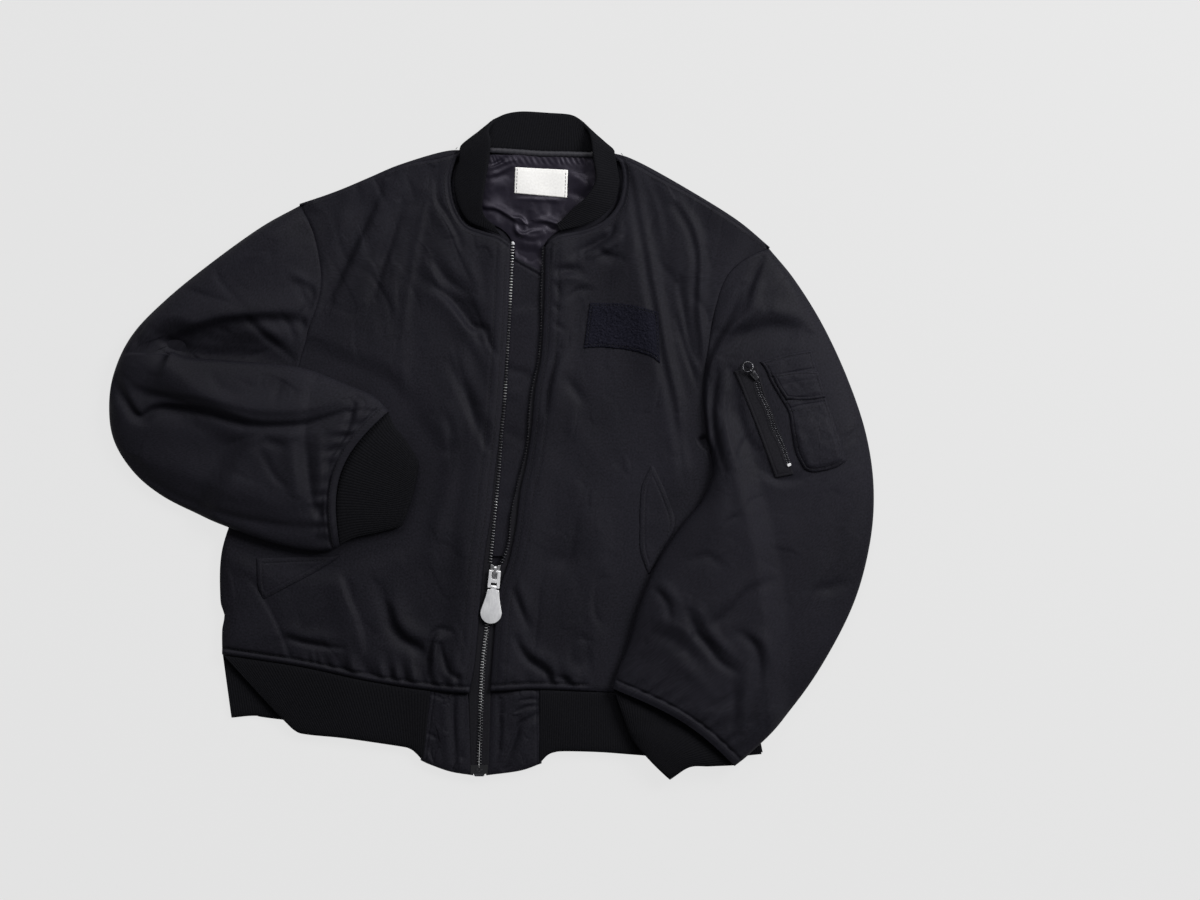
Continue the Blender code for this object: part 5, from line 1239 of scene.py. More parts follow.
def sleeve_grid(sleeve, support, folds_of, squeeze):
    """Rings of a sleeve: top height = base + edge + (height - edge) (1 - |2u - 1|^p)^0.5, plus folds."""
    rows = smooth_rows(sleeve.sections, SLEEVE_RINGS)
    section = even(len(rows))[:, None] * (len(sleeve.sections) - 1)
    rings = {}
    for label, places in (("over", round_places(TOP_POINTS)), ("below", round_places(UNDER_POINTS))):
        curve = smooth_curve(sleeve.armhole, places)
        outward = np.sign(rows[9, 0] - rows[0, 0])
        plan = bowed_plan(rows, places, curve + (outward * SEAM_GAP, 0), sleeve.bow)
        on_top = np.clip(rows[:, 5], 0, 1)[:, None]
        rings[label] = (plan, places, on_top, support(plan) * on_top)
    plan, places, on_top, base = rings["over"]
    height = squeeze(plan, rows[:, 5][:, None], rows[:, 4][:, None] + np.zeros(plan.shape[:2]))
    across = np.abs(2 * places - 1)[None]
    power = START_POWER + (CROWN_POWER - START_POWER) * ease(even(len(rows)), 0, 0.16)[:, None]
    crown = (1 - across ** power) ** 0.5
    upper = base + SLEEVE_EDGE + (height - SLEEVE_EDGE) * crown
    from_end = lengths(plan[::-1], 0)[::-1] / MM
    from_start = lengths(plan, 0) / MM
    room = (0.3 + 0.7 * ease(from_start, 0, 9)) * ease(from_end, 7, 16)
    folds = folds_of(plan, section) + slack(plan, sleeve.seed, 1.0, sleeve.lean)
    folds = folds * room * ease(crown, 0.25, 0.7)
    sewn = grooved(from_end, END_GROOVES) + grooved(from_start, START_GROOVES)
    upper = upper + folds + (sewn + gathered_end(plan, from_end)) * ease(crown, 0.1, 0.4)
    over = at_height(plan, upper)
    plan, places, on_top, base = rings["below"]
    across = np.abs(2 * places - 1)[None]
    below = at_height(plan, base + SLEEVE_EDGE * across ** UNDER_POWER)
    return over, np.concatenate([over, below[:, -2:0:-1]], axis=1), rows


def gathered_end(plan, from_end):
    """Small gathers where the sleeve is sewn to its narrower cuff: a wave round the ring that fades."""
    round_way = lengths(plan, 1) / MM
    drift = 5.0 * soft_noise(np.stack([round_way, from_end * 0.3], axis=-1), 17, 83)
    wave = np.sin((round_way + drift) * math.tau / 16.0)
    size = 0.8 + 0.6 * soft_noise(np.stack([round_way, from_end * 0.1], axis=-1), 26, 84)
    return 1.2 * size * wave * bump(from_end - END_BAND - 4, 14) * ease(from_end, 7, 13)


def inner_rings(over, rows, support):
    """The sleeve's inner wall: a narrow slit inside the padded wall, on the same rings."""
    around = over.shape[1]
    places = np.concatenate([round_places(TOP_POINTS), round_places(UNDER_POINTS)[-2:0:-1]])
    inset = SLEEVE_WALL / np.linalg.norm(rows[:, :2] - rows[:, 2:4], axis=1)
    wanted = inset[:, None] + places[None] * (1 - 2 * inset[:, None])
    given = round_places(TOP_POINTS)
    plan = np.empty((len(rows), around, 2))
    for row in range(len(rows)):
        for axis in range(2):
            plan[row, :, axis] = np.interp(wanted[row], given, over[row, :TOP_POINTS + 1, axis])
    on_top = np.clip(rows[:, 5], 0, 1)[:, None]
    base = support(plan) * on_top + SLEEVE_WALL
    slit = SLEEVE_SLIT * np.sin(np.pi * places)[None] * (np.arange(around) <= TOP_POINTS)
    return at_height(plan, base + slit)


def press_upper_arm(plan, on_top, height):
    """The upper arm is flat where the forearm lies on it."""
    free = ease(outside(FOREARM, plan), *CLEAR_OF_COVER)
    pressed = PRESSED_ARM + (height - PRESSED_ARM) * free
    return np.where(on_top > 0.1, height, np.minimum(height, pressed))


def leave_height(plan, on_top, height):
    """Nothing lies on this sleeve."""
    return height


SLEEVE_TOPS = {}
for label, support, folds_of, squeeze in (
        ("sleeve_right", lower_arm_support, right_folds, press_upper_arm),
        ("sleeve_left", left_support, left_folds, leave_height)):
    over, outer, rows = sleeve_grid(SLEEVES[label], support, folds_of, squeeze)
    SLEEVE_TOPS[label] = over
    mesh = closed_tube(label + "_shell", outer, inner_rings(outer, rows, support), 13)
    add_piece(label + "_shell", mesh, "shell", "jacket", [label])
    print(label, len(mesh.polygons), "faces, up to", round(float(outer[..., 2].max()), 1), "mm high")

# %% [markdown]
# ## Rib knit
#
# Collar, cuffs and hem are a doubled rib knit.  Its wales are real relief: round
# ribs about 2.6 mm apart with sharp valleys between them, that run from the seam
# to the free edge.  The collar stands up in a roll at both sides of the neck and
# shows its inner face at the back.

# %% Rib helpers
WALE = 2.6
WALE_DEPTH = 0.5
WALE_SAMPLES = 7


def wales(count):
    """Profile of a number of wales: sqrt(|sin|), round on top and sharp in the valleys."""
    turn = np.arange(count * WALE_SAMPLES + 1) / WALE_SAMPLES
    return WALE_DEPTH * (np.sqrt(np.abs(np.sin(np.pi * turn))) - 0.75)


def wale_count(length):
    """Number of whole wales on a length."""
    return max(int(round(length / WALE)), 3)


def normals_of(grid, closed):
    """Unit normals of a grid of points; the columns wrap round when it is closed."""
    along = np.gradient(grid, axis=0)
    if closed:
        across = (np.roll(grid, -1, axis=1) - np.roll(grid, 1, axis=1)) / 2
    else:
        across = np.gradient(grid, axis=1)
    normal = np.cross(along, across)
    return normal / np.maximum(np.linalg.norm(normal, axis=-1, keepdims=True), 1e-9)


def resample(rows, places):
    """Rows of numbers at given fractions, by linear steps between them."""
    given = np.linspace(0, 1, len(rows))
    flat = rows.reshape(len(rows), -1)
    made = np.column_stack([np.interp(places, given, column) for column in flat.T])
    return made.reshape((len(places),) + rows.shape[1:])


# %% Collar
COLLAR_THICK = 4.4
Band = namedtuple("Band", "seam_x seam_y free_x free_y seam_z free_z")
COLLAR = [
    Band(11, 227, 2, 238, 13.2, 14.2),
    Band(-8, 235, -8, 250, 13.6, 17.0),
    Band(-25, 243, -9, 262, 13.8, 20.0),
    Band(-36, 262, -6, 283, 14.0, 22.0),
    Band(-40, 287, -2, 308, 14.0, 23.0),
    Band(-35, 305, 0, 328, 15.2, 22.0),
    Band(-34, 316.5, -2.5, 338, 15.8, 17.5),
    Band(-31, 324, 0, 347, 10.8, 11.0),
    Band(-19, 326, 5.5, 354, 5.2, 4.8),
    Band(-2, 322.5, 16, 359.5, 3.2, 2.8),
    Band(26, 320.6, 34, 362, 2.8, 2.6),
    Band(53, 318.4, 62, 360.5, 2.8, 2.6),
    Band(84, 317.8, 84, 358.8, 2.8, 2.6),
    Band(106, 317.5, 94.5, 354.5, 3.2, 2.8),
    Band(120, 322, 99.5, 348.5, 5.2, 4.8),
    Band(131, 319, 105, 340.5, 10.8, 11.0),
    Band(133.5, 314, 108, 329.5, 15.8, 17.5),
    Band(136, 301, 110.5, 309.5, 15.2, 22.0),
    Band(138, 283, 113, 286, 14.0, 23.0),
    Band(132, 262, 103, 268, 14.0, 22.0),
    Band(118, 247, 90, 257, 13.8, 19.0),
    Band(99, 238, 80, 247, 13.6, 16.5),
    Band(74, 232, 71, 239, 13.2, 14.2),
]


def collar_grids():
    """Middle surface of the band, half the thickness out to both sides, with wales on both faces."""
    rows = smooth_rows(COLLAR, 12)
    middle_line = (rows[:, :2] + rows[:, 2:4]) / 2
    count = wale_count(length_of(middle_line))
    places = even(count * WALE_SAMPLES + 1)
    rows = np.column_stack([np.interp(places, fractions(middle_line), column) for column in rows.T])
    across = np.array((0, 0.03, 0.08, 0.2, 0.35, 0.5, 0.65, 0.8, 0.92, 0.97, 1.0))
    share = np.array((0.6, 0.85, 1, 1.05, 1.1, 1.1, 1.08, 1.05, 0.98, 0.82, 0.45))
    seam = np.column_stack([rows[:, :2], rows[:, 4]])
    free = np.column_stack([rows[:, 2:4], rows[:, 5]])
    u = across[None, :, None]
    middle = seam[:, None] * (1 - u) + free[:, None] * u
    smooth = resample(middle[::WALE_SAMPLES], places)
    normal = normals_of(smooth, False)
    half = COLLAR_THICK * share[None] / 2 - 0.15
    relief_of = wales(count)[:, None] * ease(share[None], 0.4, 0.9)
    outer = middle + normal * (half + relief_of)[..., None]
    under = middle - normal * (half + relief_of)[..., None]
    for grid in (outer, under):
        grid[..., 2] = np.maximum(grid[..., 2], 0.05)
    return outer, under


outer, under = collar_grids()
mesh = add_cloth("collar_rib_knit", outer, under, 1, "rib_knit", "collar_rib", True)
print("collar:", len(mesh.polygons), "faces")

# %% Cuffs
CUFF_WALL = 3.6


def cuff_grids(sections, end_bow, support):
    """Flattened rings from the sleeve-end seam to the cuff's edge, with wales round them."""
    rows = smooth_rows(sections, 10)
    fine = round_places(60)
    along = even(len(rows))[:, None, None]
    place = fine[None, :, None]
    plan = rows[:, None, :2] * (1 - place) + rows[:, None, 2:4] * place
    bow = np.sin(np.pi * fine)[None, :, None] * np.array(end_bow, float)
    plan = plan + bow * (1 - 1.12 * along)
    heading = rows[10, :2] + rows[10, 2:4] - rows[0, :2] - rows[0, 2:4]
    plan = plan + heading / np.linalg.norm(heading) * SEAM_GAP
    height = rows[:, 4][:, None]
    end = along[..., 0]
    squeeze = 1 - 0.10 * bump(end - 1.0, 0.05) - 0.16 * bump(end, 0.05)
    base = support(plan)
    reach = np.abs(2 * fine - 1)[None]
    half = height / 2
    swell = 0.35 * soft_noise(plan, 24, 91) * (1 - reach ** 2)
    upper = base + half + (half * squeeze) * (1 - reach ** CROWN_POWER) ** 0.5 + swell
    under = base + half - half * (1 - reach ** UNDER_POWER)
    over = at_height(plan, upper)
    below = at_height(plan, under)
    count = wale_count(length_of(over[len(over) // 2]))
    rings = []
    for top, low in zip(over, below):
        ring_top = smooth_path(top, even(count * WALE_SAMPLES + 1))
        ring_low = smooth_path(low[::-1], even(61))[1:-1]
        rings.append(np.vstack([ring_top, ring_low]))
    outer = np.array(rings)
    knit = np.concatenate([wales(count), np.zeros(59)])[None] * np.ones((len(rows), 1))
    normal = normals_of(outer, True)
    if normal[len(rows) // 2, count * WALE_SAMPLES // 2, 2] < 0:
        normal = -normal
    outer = outer + normal * (knit - 0.1)[..., None]
    centre = outer.mean(axis=1, keepdims=True)
    flat = outer - centre
    inset = 1 - 2 * CUFF_WALL / np.linalg.norm(rows[:, :2] - rows[:, 2:4], axis=1)[:, None, None]
    inner = centre + flat * inset
    middle = support(inner[..., :2]) + half
    inner[..., 2] = middle + (inner[..., 2] - middle) * (0.5 - 0.56 * CUFF_WALL / height)
    return outer, inner


def smooth_path(points, places):
    """Points at given fractions of a 3-D line's length."""
    along = fractions(points)
    return np.column_stack([np.interp(places, along, axis) for axis in points.T])


for label, sections, bow, support in (("cuff_right", CUFF_RIGHT, END_BOW_RIGHT, lower_arm_support),
                                      ("cuff_left", CUFF_LEFT, END_BOW_LEFT, left_support)):
    outer, inner = cuff_grids(sections, bow, support)
    mesh = closed_tube(label + "_knit", outer, inner, 6)
    add_piece(label + "_knit", mesh, "rib_knit", "jacket", [label])
    print(label, len(mesh.polygons), "faces, up to", round(float(outer[..., 2].max()), 1), "mm high")

# %% Hem
RIB_THICK = 5.0
BACK_RIB_LOW = [(-281.5, -295), (-255, -293), (-228, -297), (-12, -322), (139, -327), (294, -332.5)]
BLOCK_RIGHT_LOW = [(-19.5, -357), (-44, -353), (-67, -345), (-76.5, -340.5)]
RIB_RIGHT_LOW = [(-73.5, -342), (-81, -333.6), (-88, -328.4), (-100, -325.5), (-158, -317), (-198, -313),
                 (-212, -309), (-226, -296)]
BLOCK_LEFT_LOW = [(-5.5, -357), (31, -352), (54.5, -344)]
RIB_LEFT_LOW = [(52.5, -344), (60.5, -335.6), (68, -332.2), (80, -331), (118, -332), (158, -335),
                (226, -340), (292.5, -334)]
BLOCK_RIGHT_X = -66
BLOCK_LEFT_X = 53
FOLDS_BLOCKS = [
    Fold([(-39.5, -264), (-41.3, -296), (-38, -348)], -2.4, 3.5, 5),
    Fold([(-47, -268), (-49, -296), (-47, -342)], 1.3, 6, 5),
    Fold([(-28, -266), (-28.5, -312)], -0.9, 2.5, 3),
    Fold([(8, -272), (9.7, -306), (6.3, -342)], -2.0, 3, 4),
    Fold([(52, -289), (38, -297), (29.6, -303.5), (25.3, -317), (14, -347)], -2.8, 4, 3),
    Fold([(52, -299), (38, -307), (33, -322), (24, -343)], 1.4, 5, 6),
    Fold([(31, -276), (42, -274.5), (54, -275.5)], -1.7, 2.2, 2.8),
    Fold([(29, -287), (38, -283), (52, -281)], -2.0, 2.4, 2.6),
    Fold([(-68, -269), (-58, -271), (-52, -275)], -1.5, 2.2, 2.8),
    Fold([(-70, -311), (-63, -314), (-58, -318)], -1.3, 2.2, 2.8),
]


def split_at(edge, x):
    """An edge in two, with a seam gap where the block meets the rib."""
    dense = smooth_curve(edge, even(60))
    away = np.sign(dense[-1, 0] - dense[0, 0])
    near = dense[away * (dense[:, 0] - x) < -0.5]
    far = dense[away * (dense[:, 0] - x) > 0.5]
    start = np.array((x - away * SEAM_GAP / 2, near[-1, 1]))
    go_on = np.array((x + away * SEAM_GAP / 2, near[-1, 1]))
    return np.vstack([near[::3], start]), np.vstack([go_on, far[::3], dense[-1:]])


HEM_V = np.array((0, 0.02, 0.05, 0.1, 0.2, 0.35, 0.5, 0.65, 0.8, 0.9, 0.95, 0.985, 1.0))
HEM_ROUND = np.array((-1.6, -0.5, 0.1, 0.2, 0.1, 0, 0, 0, 0.1, 0.1, -0.2, -0.9, -2.2))


def hem_plan(top_edge, bottom_edge, columns):
    """Straight wales between the seam and the hem's lower edge."""
    high = smooth_curve(top_edge, columns) - (0, SEAM_GAP)
    low = smooth_curve(bottom_edge, columns)
    v = HEM_V[:, None, None]
    return high[None] * (1 - v) + low[None] * v


def add_hem_rib(name, top_edge, bottom_edge, z_low, node):
    """Rib piece of the hem: a flat doubled knit with wales from seam to edge."""
    count = wale_count(length_of(smooth_curve(bottom_edge, even(40))))
    plan = hem_plan(top_edge, bottom_edge, even(count * WALE_SAMPLES + 1))
    knit = wales(count)[None] * ease(1 - np.abs(2 * HEM_V - 1), 0.0, 0.1)[:, None]
    sway = 0.5 * soft_noise(plan, 31, 17)
    top = z_low + RIB_THICK + HEM_ROUND[:, None] + knit + sway
    mesh = add_cloth(name, at_height(plan, top), at_height(plan, z_low), 4, "rib_knit", node)
    return len(mesh.polygons)


BLOCK_COLUMNS = 73
BLOCK_ROWS = 97
BLOCK_EDGE = RIB_THICK - 2.0
BLOCK_SWELL = 2.3
BLOCK_LEAN = np.array(((0.94, 0.34), (-0.34, 0.94)))
BLOCK_GROOVES = [Groove(-0.7, 5.0, 1.2)]


def add_block(name, top_edge, bottom_edge, z_low, node, seed):
    """Woven block beside the zip: a small padded panel with its own folds and short wrinkles."""
    columns = even(BLOCK_COLUMNS)
    v = even(BLOCK_ROWS)
    high = smooth_curve(top_edge, columns) - (0, SEAM_GAP)
    low = smooth_curve(bottom_edge, columns)
    plan = high[None] * (1 - v[:, None, None]) + low[None] * v[:, None, None]
    from_zip = edge_distance(plan[:, 0], plan)
    from_rib = edge_distance(plan[:, -1], plan)
    from_ends = np.minimum(edge_distance(plan[-1], plan), edge_distance(plan[0], plan))
    swell = 1 - np.exp(-np.minimum.reduce([from_ends, from_zip, from_rib]) / 4.0)
    wave = 0.5 * soft_noise(plan * (1.0, 0.5), 13, seed)
    wave = wave + lapped(plan @ BLOCK_LEAN * (1.0, 0.5), 12, seed + 1, 2.4)
    wave = wave + lapped(plan * (1.0, 0.6), 7, seed + 7, 1.3)
    wave = wave * ease(from_zip, 5, 14) + relief(FOLDS_BLOCKS, plan)
    top = z_low + BLOCK_EDGE + (BLOCK_SWELL + wave) * swell + grooved(from_rib, BLOCK_GROOVES)
    mesh = add_cloth(name, at_height(plan, top), at_height(plan, z_low), 12, "shell", node)
    return len(mesh.polygons)


HEM_LOW_Z = RIB_THICK + LAY_GAP
block_right, rib_right = split_at(HEM_RIGHT, BLOCK_RIGHT_X)
block_left, rib_left = split_at(HEM_LEFT, BLOCK_LEFT_X)
counts = [
    add_hem_rib("hem_back_knit", BACK_HEM, BACK_RIB_LOW, 0.0, "hem_rib_back"),
    add_hem_rib("hem_right_knit", rib_right, RIB_RIGHT_LOW, HEM_LOW_Z, "hem_rib_right"),
    add_hem_rib("hem_left_knit", rib_left, RIB_LEFT_LOW, HEM_LOW_Z, "hem_rib_left"),
    add_block("hem_block_right_cloth", block_right, BLOCK_RIGHT_LOW, HEM_LOW_Z, "hem_block_right", 53),
    add_block("hem_block_left_cloth", block_left, BLOCK_LEFT_LOW, HEM_LOW_Z, "hem_block_left", 57),
]
print("hem pieces, faces:", counts)

# %% [markdown]
# ## Lining, binding and label
#
# Inside the neck the satin lining of the back shows.  It is gathered under the
# binding, lies flat under the label and folds into a soft ridge below it.  The
# label stays bare.

# %% Lining
LiningRow = namedtuple("LiningRow", "y right left")
LINING_ROWS = [LiningRow(314.5, -22, 122), LiningRow(309, -25, 125), LiningRow(300, -31, 132),
               LiningRow(285, -35, 134), LiningRow(264, -31, 129), LiningRow(250, -20, 114),
               LiningRow(242, -6, 96), LiningRow(235, 10, 78), LiningRow(224, 21, 62),
               LiningRow(210, 25, 55), LiningRow(200, 26, 56), LiningRow(189, 26, 56)]
FOLDS_LINING = [
    Fold([(-12, 261), (-6, 258), (4, 257), (11, 254), (19, 249), (27, 244), (33, 241)], 2.6, 5, 2.2),
    Fold([(24, 246), (31, 246), (36, 241), (37, 236)], 1.8, 2.4, 2.4),
    Fold([(26, 241), (27, 233), (33, 228), (43, 231), (55, 233)], 2.0, 2.6, 2.6),
    Fold([(28, 232), (36, 227), (46, 226), (56, 229)], 1.8, 3.4, 4),
    Fold([(30, 222), (40, 217), (54, 218)], 1.4, 4, 5),
    Fold([(47, 243), (56, 243), (64, 242), (70, 240), (75, 237)], 2.2, 4, 2.2),
    Fold([(60, 238), (65, 235), (71, 233)], -1.6, 2.4, 2.6),
    Fold([(0, 303), (8, 307), (15, 312)], -1.8, 2.0, 2.2),
    Fold([(-2, 299), (8, 303), (18, 307), (27, 309)], 1.4, 2.6, 2.0),
    Fold([(-3, 292), (8, 295), (16, 299), (24, 303)], 1.5, 3.0, 2.0),
    Fold([(-2, 288), (8, 290), (18, 294)], -1.0, 2.6, 3),
    Fold([(-4, 276), (8, 281), (20, 288)], 1.2, 9, 5),
    Fold([(86, 291), (96, 288), (103, 282), (106, 276)], 1.8, 5, 7),
    Fold([(84, 272), (94, 271), (102, 266)], -1.2, 4, 3),
    Fold([(30, 268), (52, 266), (78, 265)], 1.0, 3, 2.4),
    Fold([(22, 213), (40, 207), (57, 202)], -1.8, 7, 6),
    Fold([(42, 258), (45, 250), (43, 243)], 0.9, 5, 4),
]


def surface_tree(mesh):
    """Search tree of a mesh's faces, in millimetres."""
    points = np.empty(len(mesh.vertices) * 3, np.float32)
    mesh.vertices.foreach_get("co", points)
    faces = [tuple(face.vertices) for face in mesh.polygons]
    return BVHTree.FromPolygons((points.reshape(-1, 3) / MM).tolist(), faces)


def height_on(tree, xy, default=0.0):
    """Height of a surface at each plan point, by a ray from above."""
    down = Vector((0, 0, -1))
    found = np.full(xy.reshape(-1, 2).shape[0], float(default))
    for k, (x, y) in enumerate(xy.reshape(-1, 2)):
        hit = tree.ray_cast(Vector((x, y, 90)), down)[0]
        if hit:
            found[k] = hit.z
    return found.reshape(xy.shape[:-1])


GATHER_RISE = (302, 307)
GATHER_FALL = (310.5, 314)
LABEL_ZONE = ((22, 30), (78, 86), (266, 270), (300, 304))


def lining_grid():
    """Grid between the lining's two sides, with a soft drape, gathers under the binding and folds."""
    rows = smooth_rows(LINING_ROWS, 15)
    across = even(161)[None]
    x = rows[:, 1, None] * (1 - across) + rows[:, 2, None] * across
    y = np.broadcast_to(rows[:, 0, None], x.shape)
    plan = np.stack([x, y], axis=-1)
    middle = (1 - np.abs(2 * across - 1) ** 3) * ease(y, 205, 235)
    wave = 0.5 * np.sin(x / 7.0 + y / 19.0) + 0.5 * np.sin(y / 9.0)
    top = FRONT_BOTTOM + 1.8 + 0.7 * middle * (1 + wave)
    phase = 1.7 * soft_noise(plan * (1, 0.2), 9, 3)
    gather = ease(y, *GATHER_RISE) * (1 - ease(y, *GATHER_FALL))
    ripple = np.sin((x + 0.5 * (y - 300)) * math.tau / 6.0 + 1.6 * phase) * gather
    small = 0.7 * soft_noise(plan, 14, 4) + 0.25 * soft_noise(plan, 5, 6)
    from_left, to_right, from_low, to_high = LABEL_ZONE
    label_zone = ease(x, *from_left) * (1 - ease(x, *to_right)) * ease(y, *from_low) * (1 - ease(y, *to_high))
    folds = (relief(FOLDS_LINING, plan) + 0.22 * ripple + small) * (1 - 0.8 * label_zone)
    return at_height(plan, np.maximum(top + folds, FRONT_BOTTOM + 0.7)), at_height(plan, FRONT_BOTTOM)


top, under = lining_grid()
mesh = add_cloth("lining_satin", top, under, 10, "lining", "back_lining")
LINING_TREE = surface_tree(mesh)
print("lining:", len(mesh.polygons), "faces")

# %% Binding
PIPING = [(-4, 319.6), (20, 318.2), (53, 315.8), (84, 315.2), (112, 314.3)]
PIPING_RADIUS = 2.6


def swept_tube(name, line, radii, squash, around=16):
    """Closed rod along a line: rings of points round it, squashed in height, with small end rings."""
    line = np.asarray(line, float)
    along = np.gradient(line, axis=0)
    along /= np.linalg.norm(along, axis=1, keepdims=True)
    side = np.cross(along, (0, 0, 1))
    side /= np.linalg.norm(side, axis=1, keepdims=True)
    up = np.cross(side, along)
    turn = np.arange(around) * math.tau / around
    across = side[:, None] * np.cos(turn)[None, :, None]
    ring = across + up[:, None] * (np.sin(turn) * squash)[None, :, None]
    points = line[:, None] + ring * np.asarray(radii)[:, None, None]
    index = np.arange(len(line) * around).reshape(len(line), around)
    index = np.column_stack([index, index[:, 0]])
    caps = [index[0, :-1][None], index[-1, :-1][::-1][None]]
    uv = np.stack([np.broadcast_to(turn * 0.002, points.shape[:2]), lengths(points, 0)], axis=-1)
    return mesh_from(name, points.reshape(-1, 3), [quads(index)[:, ::-1]] + [c[:, ::-1] for c in caps],
                     uv.reshape(-1, 2))


line = smooth_curve(PIPING, even(241))
swell = 0.12 * np.sin(line[:, 0] * math.tau / 6.3) + 0.10 * soft_noise(line, 9, 12)
radii = (PIPING_RADIUS + 0.4 + swell) * np.sqrt(np.clip(np.minimum(even(241), 1 - even(241)) * 60, 0.15, 1))
spine = at_height(line, FRONT_BOTTOM + PIPING_RADIUS - 0.2)
mesh = swept_tube("neck_binding", spine, radii, 0.8)
add_piece("neck_binding", mesh, "piping", "jacket", ["neck_piping"])
print("binding:", len(mesh.polygons), "faces")

# %% Pieces laid on others


def edges_grid(low, high, left, right, rows, columns):
    """Coons grid between four edges, each a short table of plan points."""
    low, high = smooth_curve(low, even(columns)), smooth_curve(high, even(columns))
    left, right = smooth_curve(left, even(rows)), smooth_curve(right, even(rows))
    return coons(low, high, left, right)


def smoothed(height, passes):
    """Heights with each value averaged with its neighbours a number of times."""
    for _ in range(passes):
        padded = np.pad(height, 1, mode="edge")
        height = (padded[:-2, 1:-1] + padded[2:, 1:-1] + padded[1:-1, :-2] + padded[1:-1, 2:]
                  + 2 * height) / 6
    return height


def widest(height, reach):
    """Heights with each value raised to the highest within a few grid steps."""
    padded = np.pad(height, reach, mode="edge")
    rows, columns = height.shape
    best = height
    for i in range(2 * reach + 1):
        for j in range(2 * reach + 1):
            best = np.maximum(best, padded[i:i + rows, j:j + columns])
    return best


def laid_grid(tree, plan, rise, passes=12, reach=2, default=0.0):
    """Under side of a piece that follows the surface below it, eased over small folds."""
    seen = height_on(tree, plan, default)
    return smoothed(widest(seen, reach), passes) + rise


def rim_distance(plan):
    """Distance in plan to the nearest edge of a grid."""
    edges = (plan[0], plan[-1], plan[:, 0], plan[:, -1])
    return np.minimum.reduce([edge_distance(edge[::2], plan) for edge in edges])


LABEL_PLAN = edges_grid([(25, 273), (82, 268)], [(26, 301), (83, 298)], [(25, 273), (26, 301)],
                        [(82, 268), (83, 298)], 33, 61)
base = laid_grid(LINING_TREE, LABEL_PLAN, 0.35, 10, 1)
rim = rim_distance(LABEL_PLAN)
top = base + 0.75 - 0.45 * bump(rim, 0.8) - 0.25 * bump(rim - 2.2, 0.6)
mesh = add_cloth("neck_label", at_height(LABEL_PLAN, top), at_height(LABEL_PLAN, base - 0.25), 4,
                 "label", "label")
LABEL_TREE = surface_tree(mesh)
print("label:", len(mesh.polygons), "faces")

# %% [markdown]
# ## Wind flap, tapes and zip
#
# Behind the open zip lies a thin padded flap with a few slack folds, stitched
# along its top.  Each zip tape is a thin woven strip, whose edge carries the metal
# teeth.  The teeth are one mesh for each chain: a small template placed every 3 mm
# along the tape's edge.  Below the slider the two chains interlock.

# %% Wind flap
FLAP_TOP = 197.0
FLAP_FOOT = -120.0
FLAP_UNDER = 7.0
FOLDS_WIND_FLAP = [
    Fold([(14, 133), (26, 141), (40, 146)], 1.3, 5, 8),
    Fold([(8, 88), (22, 82), (36, 78), (46, 72)], -1.3, 5, 6),
    Fold([(10, 58), (22, 56), (34, 60)], 0.9, 6, 8),
    Fold([(6, 22), (20, 12), (34, 6)], -0.9, 7, 6),
    Fold([(4, -30), (14, -18), (28, -6)], 1.2, 6, 8),
    Fold([(2, -72), (12, -60), (22, -52)], -0.9, 6, 6),
]


FLAP_GROOVES = [Groove(0.9, 1.8, 1.8), Groove(-0.7, 5, 1.2)]


def wind_flap_grid():
    """Flap between the two front edges: a loose double cloth with a few slack folds and a stitched top."""
    y = np.linspace(FLAP_TOP, FLAP_FOOT, 301)
    right_edge = smooth_curve(CENTRE_RIGHT, even(60))
    left_edge = smooth_curve(CENTRE_LEFT, even(60))
    low = np.interp(y, right_edge[:, 1], right_edge[:, 0]) - FLAP_UNDER
    high = np.interp(y, left_edge[:, 1], left_edge[:, 0]) + FLAP_UNDER
    across = even(61)
    x = low[:, None] * (1 - across) + high[:, None] * across
    slope = -0.55 * (x - (low[0] + high[0]) / 2) * (1 - ease(FLAP_TOP - y[:, None], 0, 60))
    y_all = np.broadcast_to(y[:, None], x.shape) + np.clip(slope, -10, 10)
    plan = np.stack([x, y_all], axis=-1)
    from_top = edge_distance(plan[0], plan)
    top = FRONT_BOTTOM + 2.3 + relief(FOLDS_WIND_FLAP, plan)
    top = top + 0.35 * soft_noise(plan, 14, 8) + grooved(from_top, FLAP_GROOVES)
    top = np.maximum(top, FRONT_BOTTOM + 0.8)
    return at_height(plan, top), at_height(plan, FRONT_BOTTOM)


top, under = wind_flap_grid()
mesh = add_cloth("wind_flap_quilt", top, under, 10, "shell", "wind_flap")
print("wind flap:", len(mesh.polygons), "faces")

# %% Zip tapes
TAPE_Z = 10.2
TAPE_THICK = 1.4
TAPE_DROP = 1.9
TAPE_PLACES = (0, 0.06, 0.18, 0.3, 0.42, 0.54, 0.66, 0.78, 0.9, 0.96, 1.0)
TAPE_GROOVES = [Groove(0.3, 0.93, 0.09), Groove(-0.4, 0, 0.04), Groove(-0.4, 1, 0.03)]
TAPE_FOOT_RIGHT = (-21.5, -352)
TAPE_FOOT_LEFT = (-3.5, -352)


def tape_drop(y):
    """The tape lies lower on the hem than on the body."""
    return TAPE_DROP * ease(-y, 240, 275)


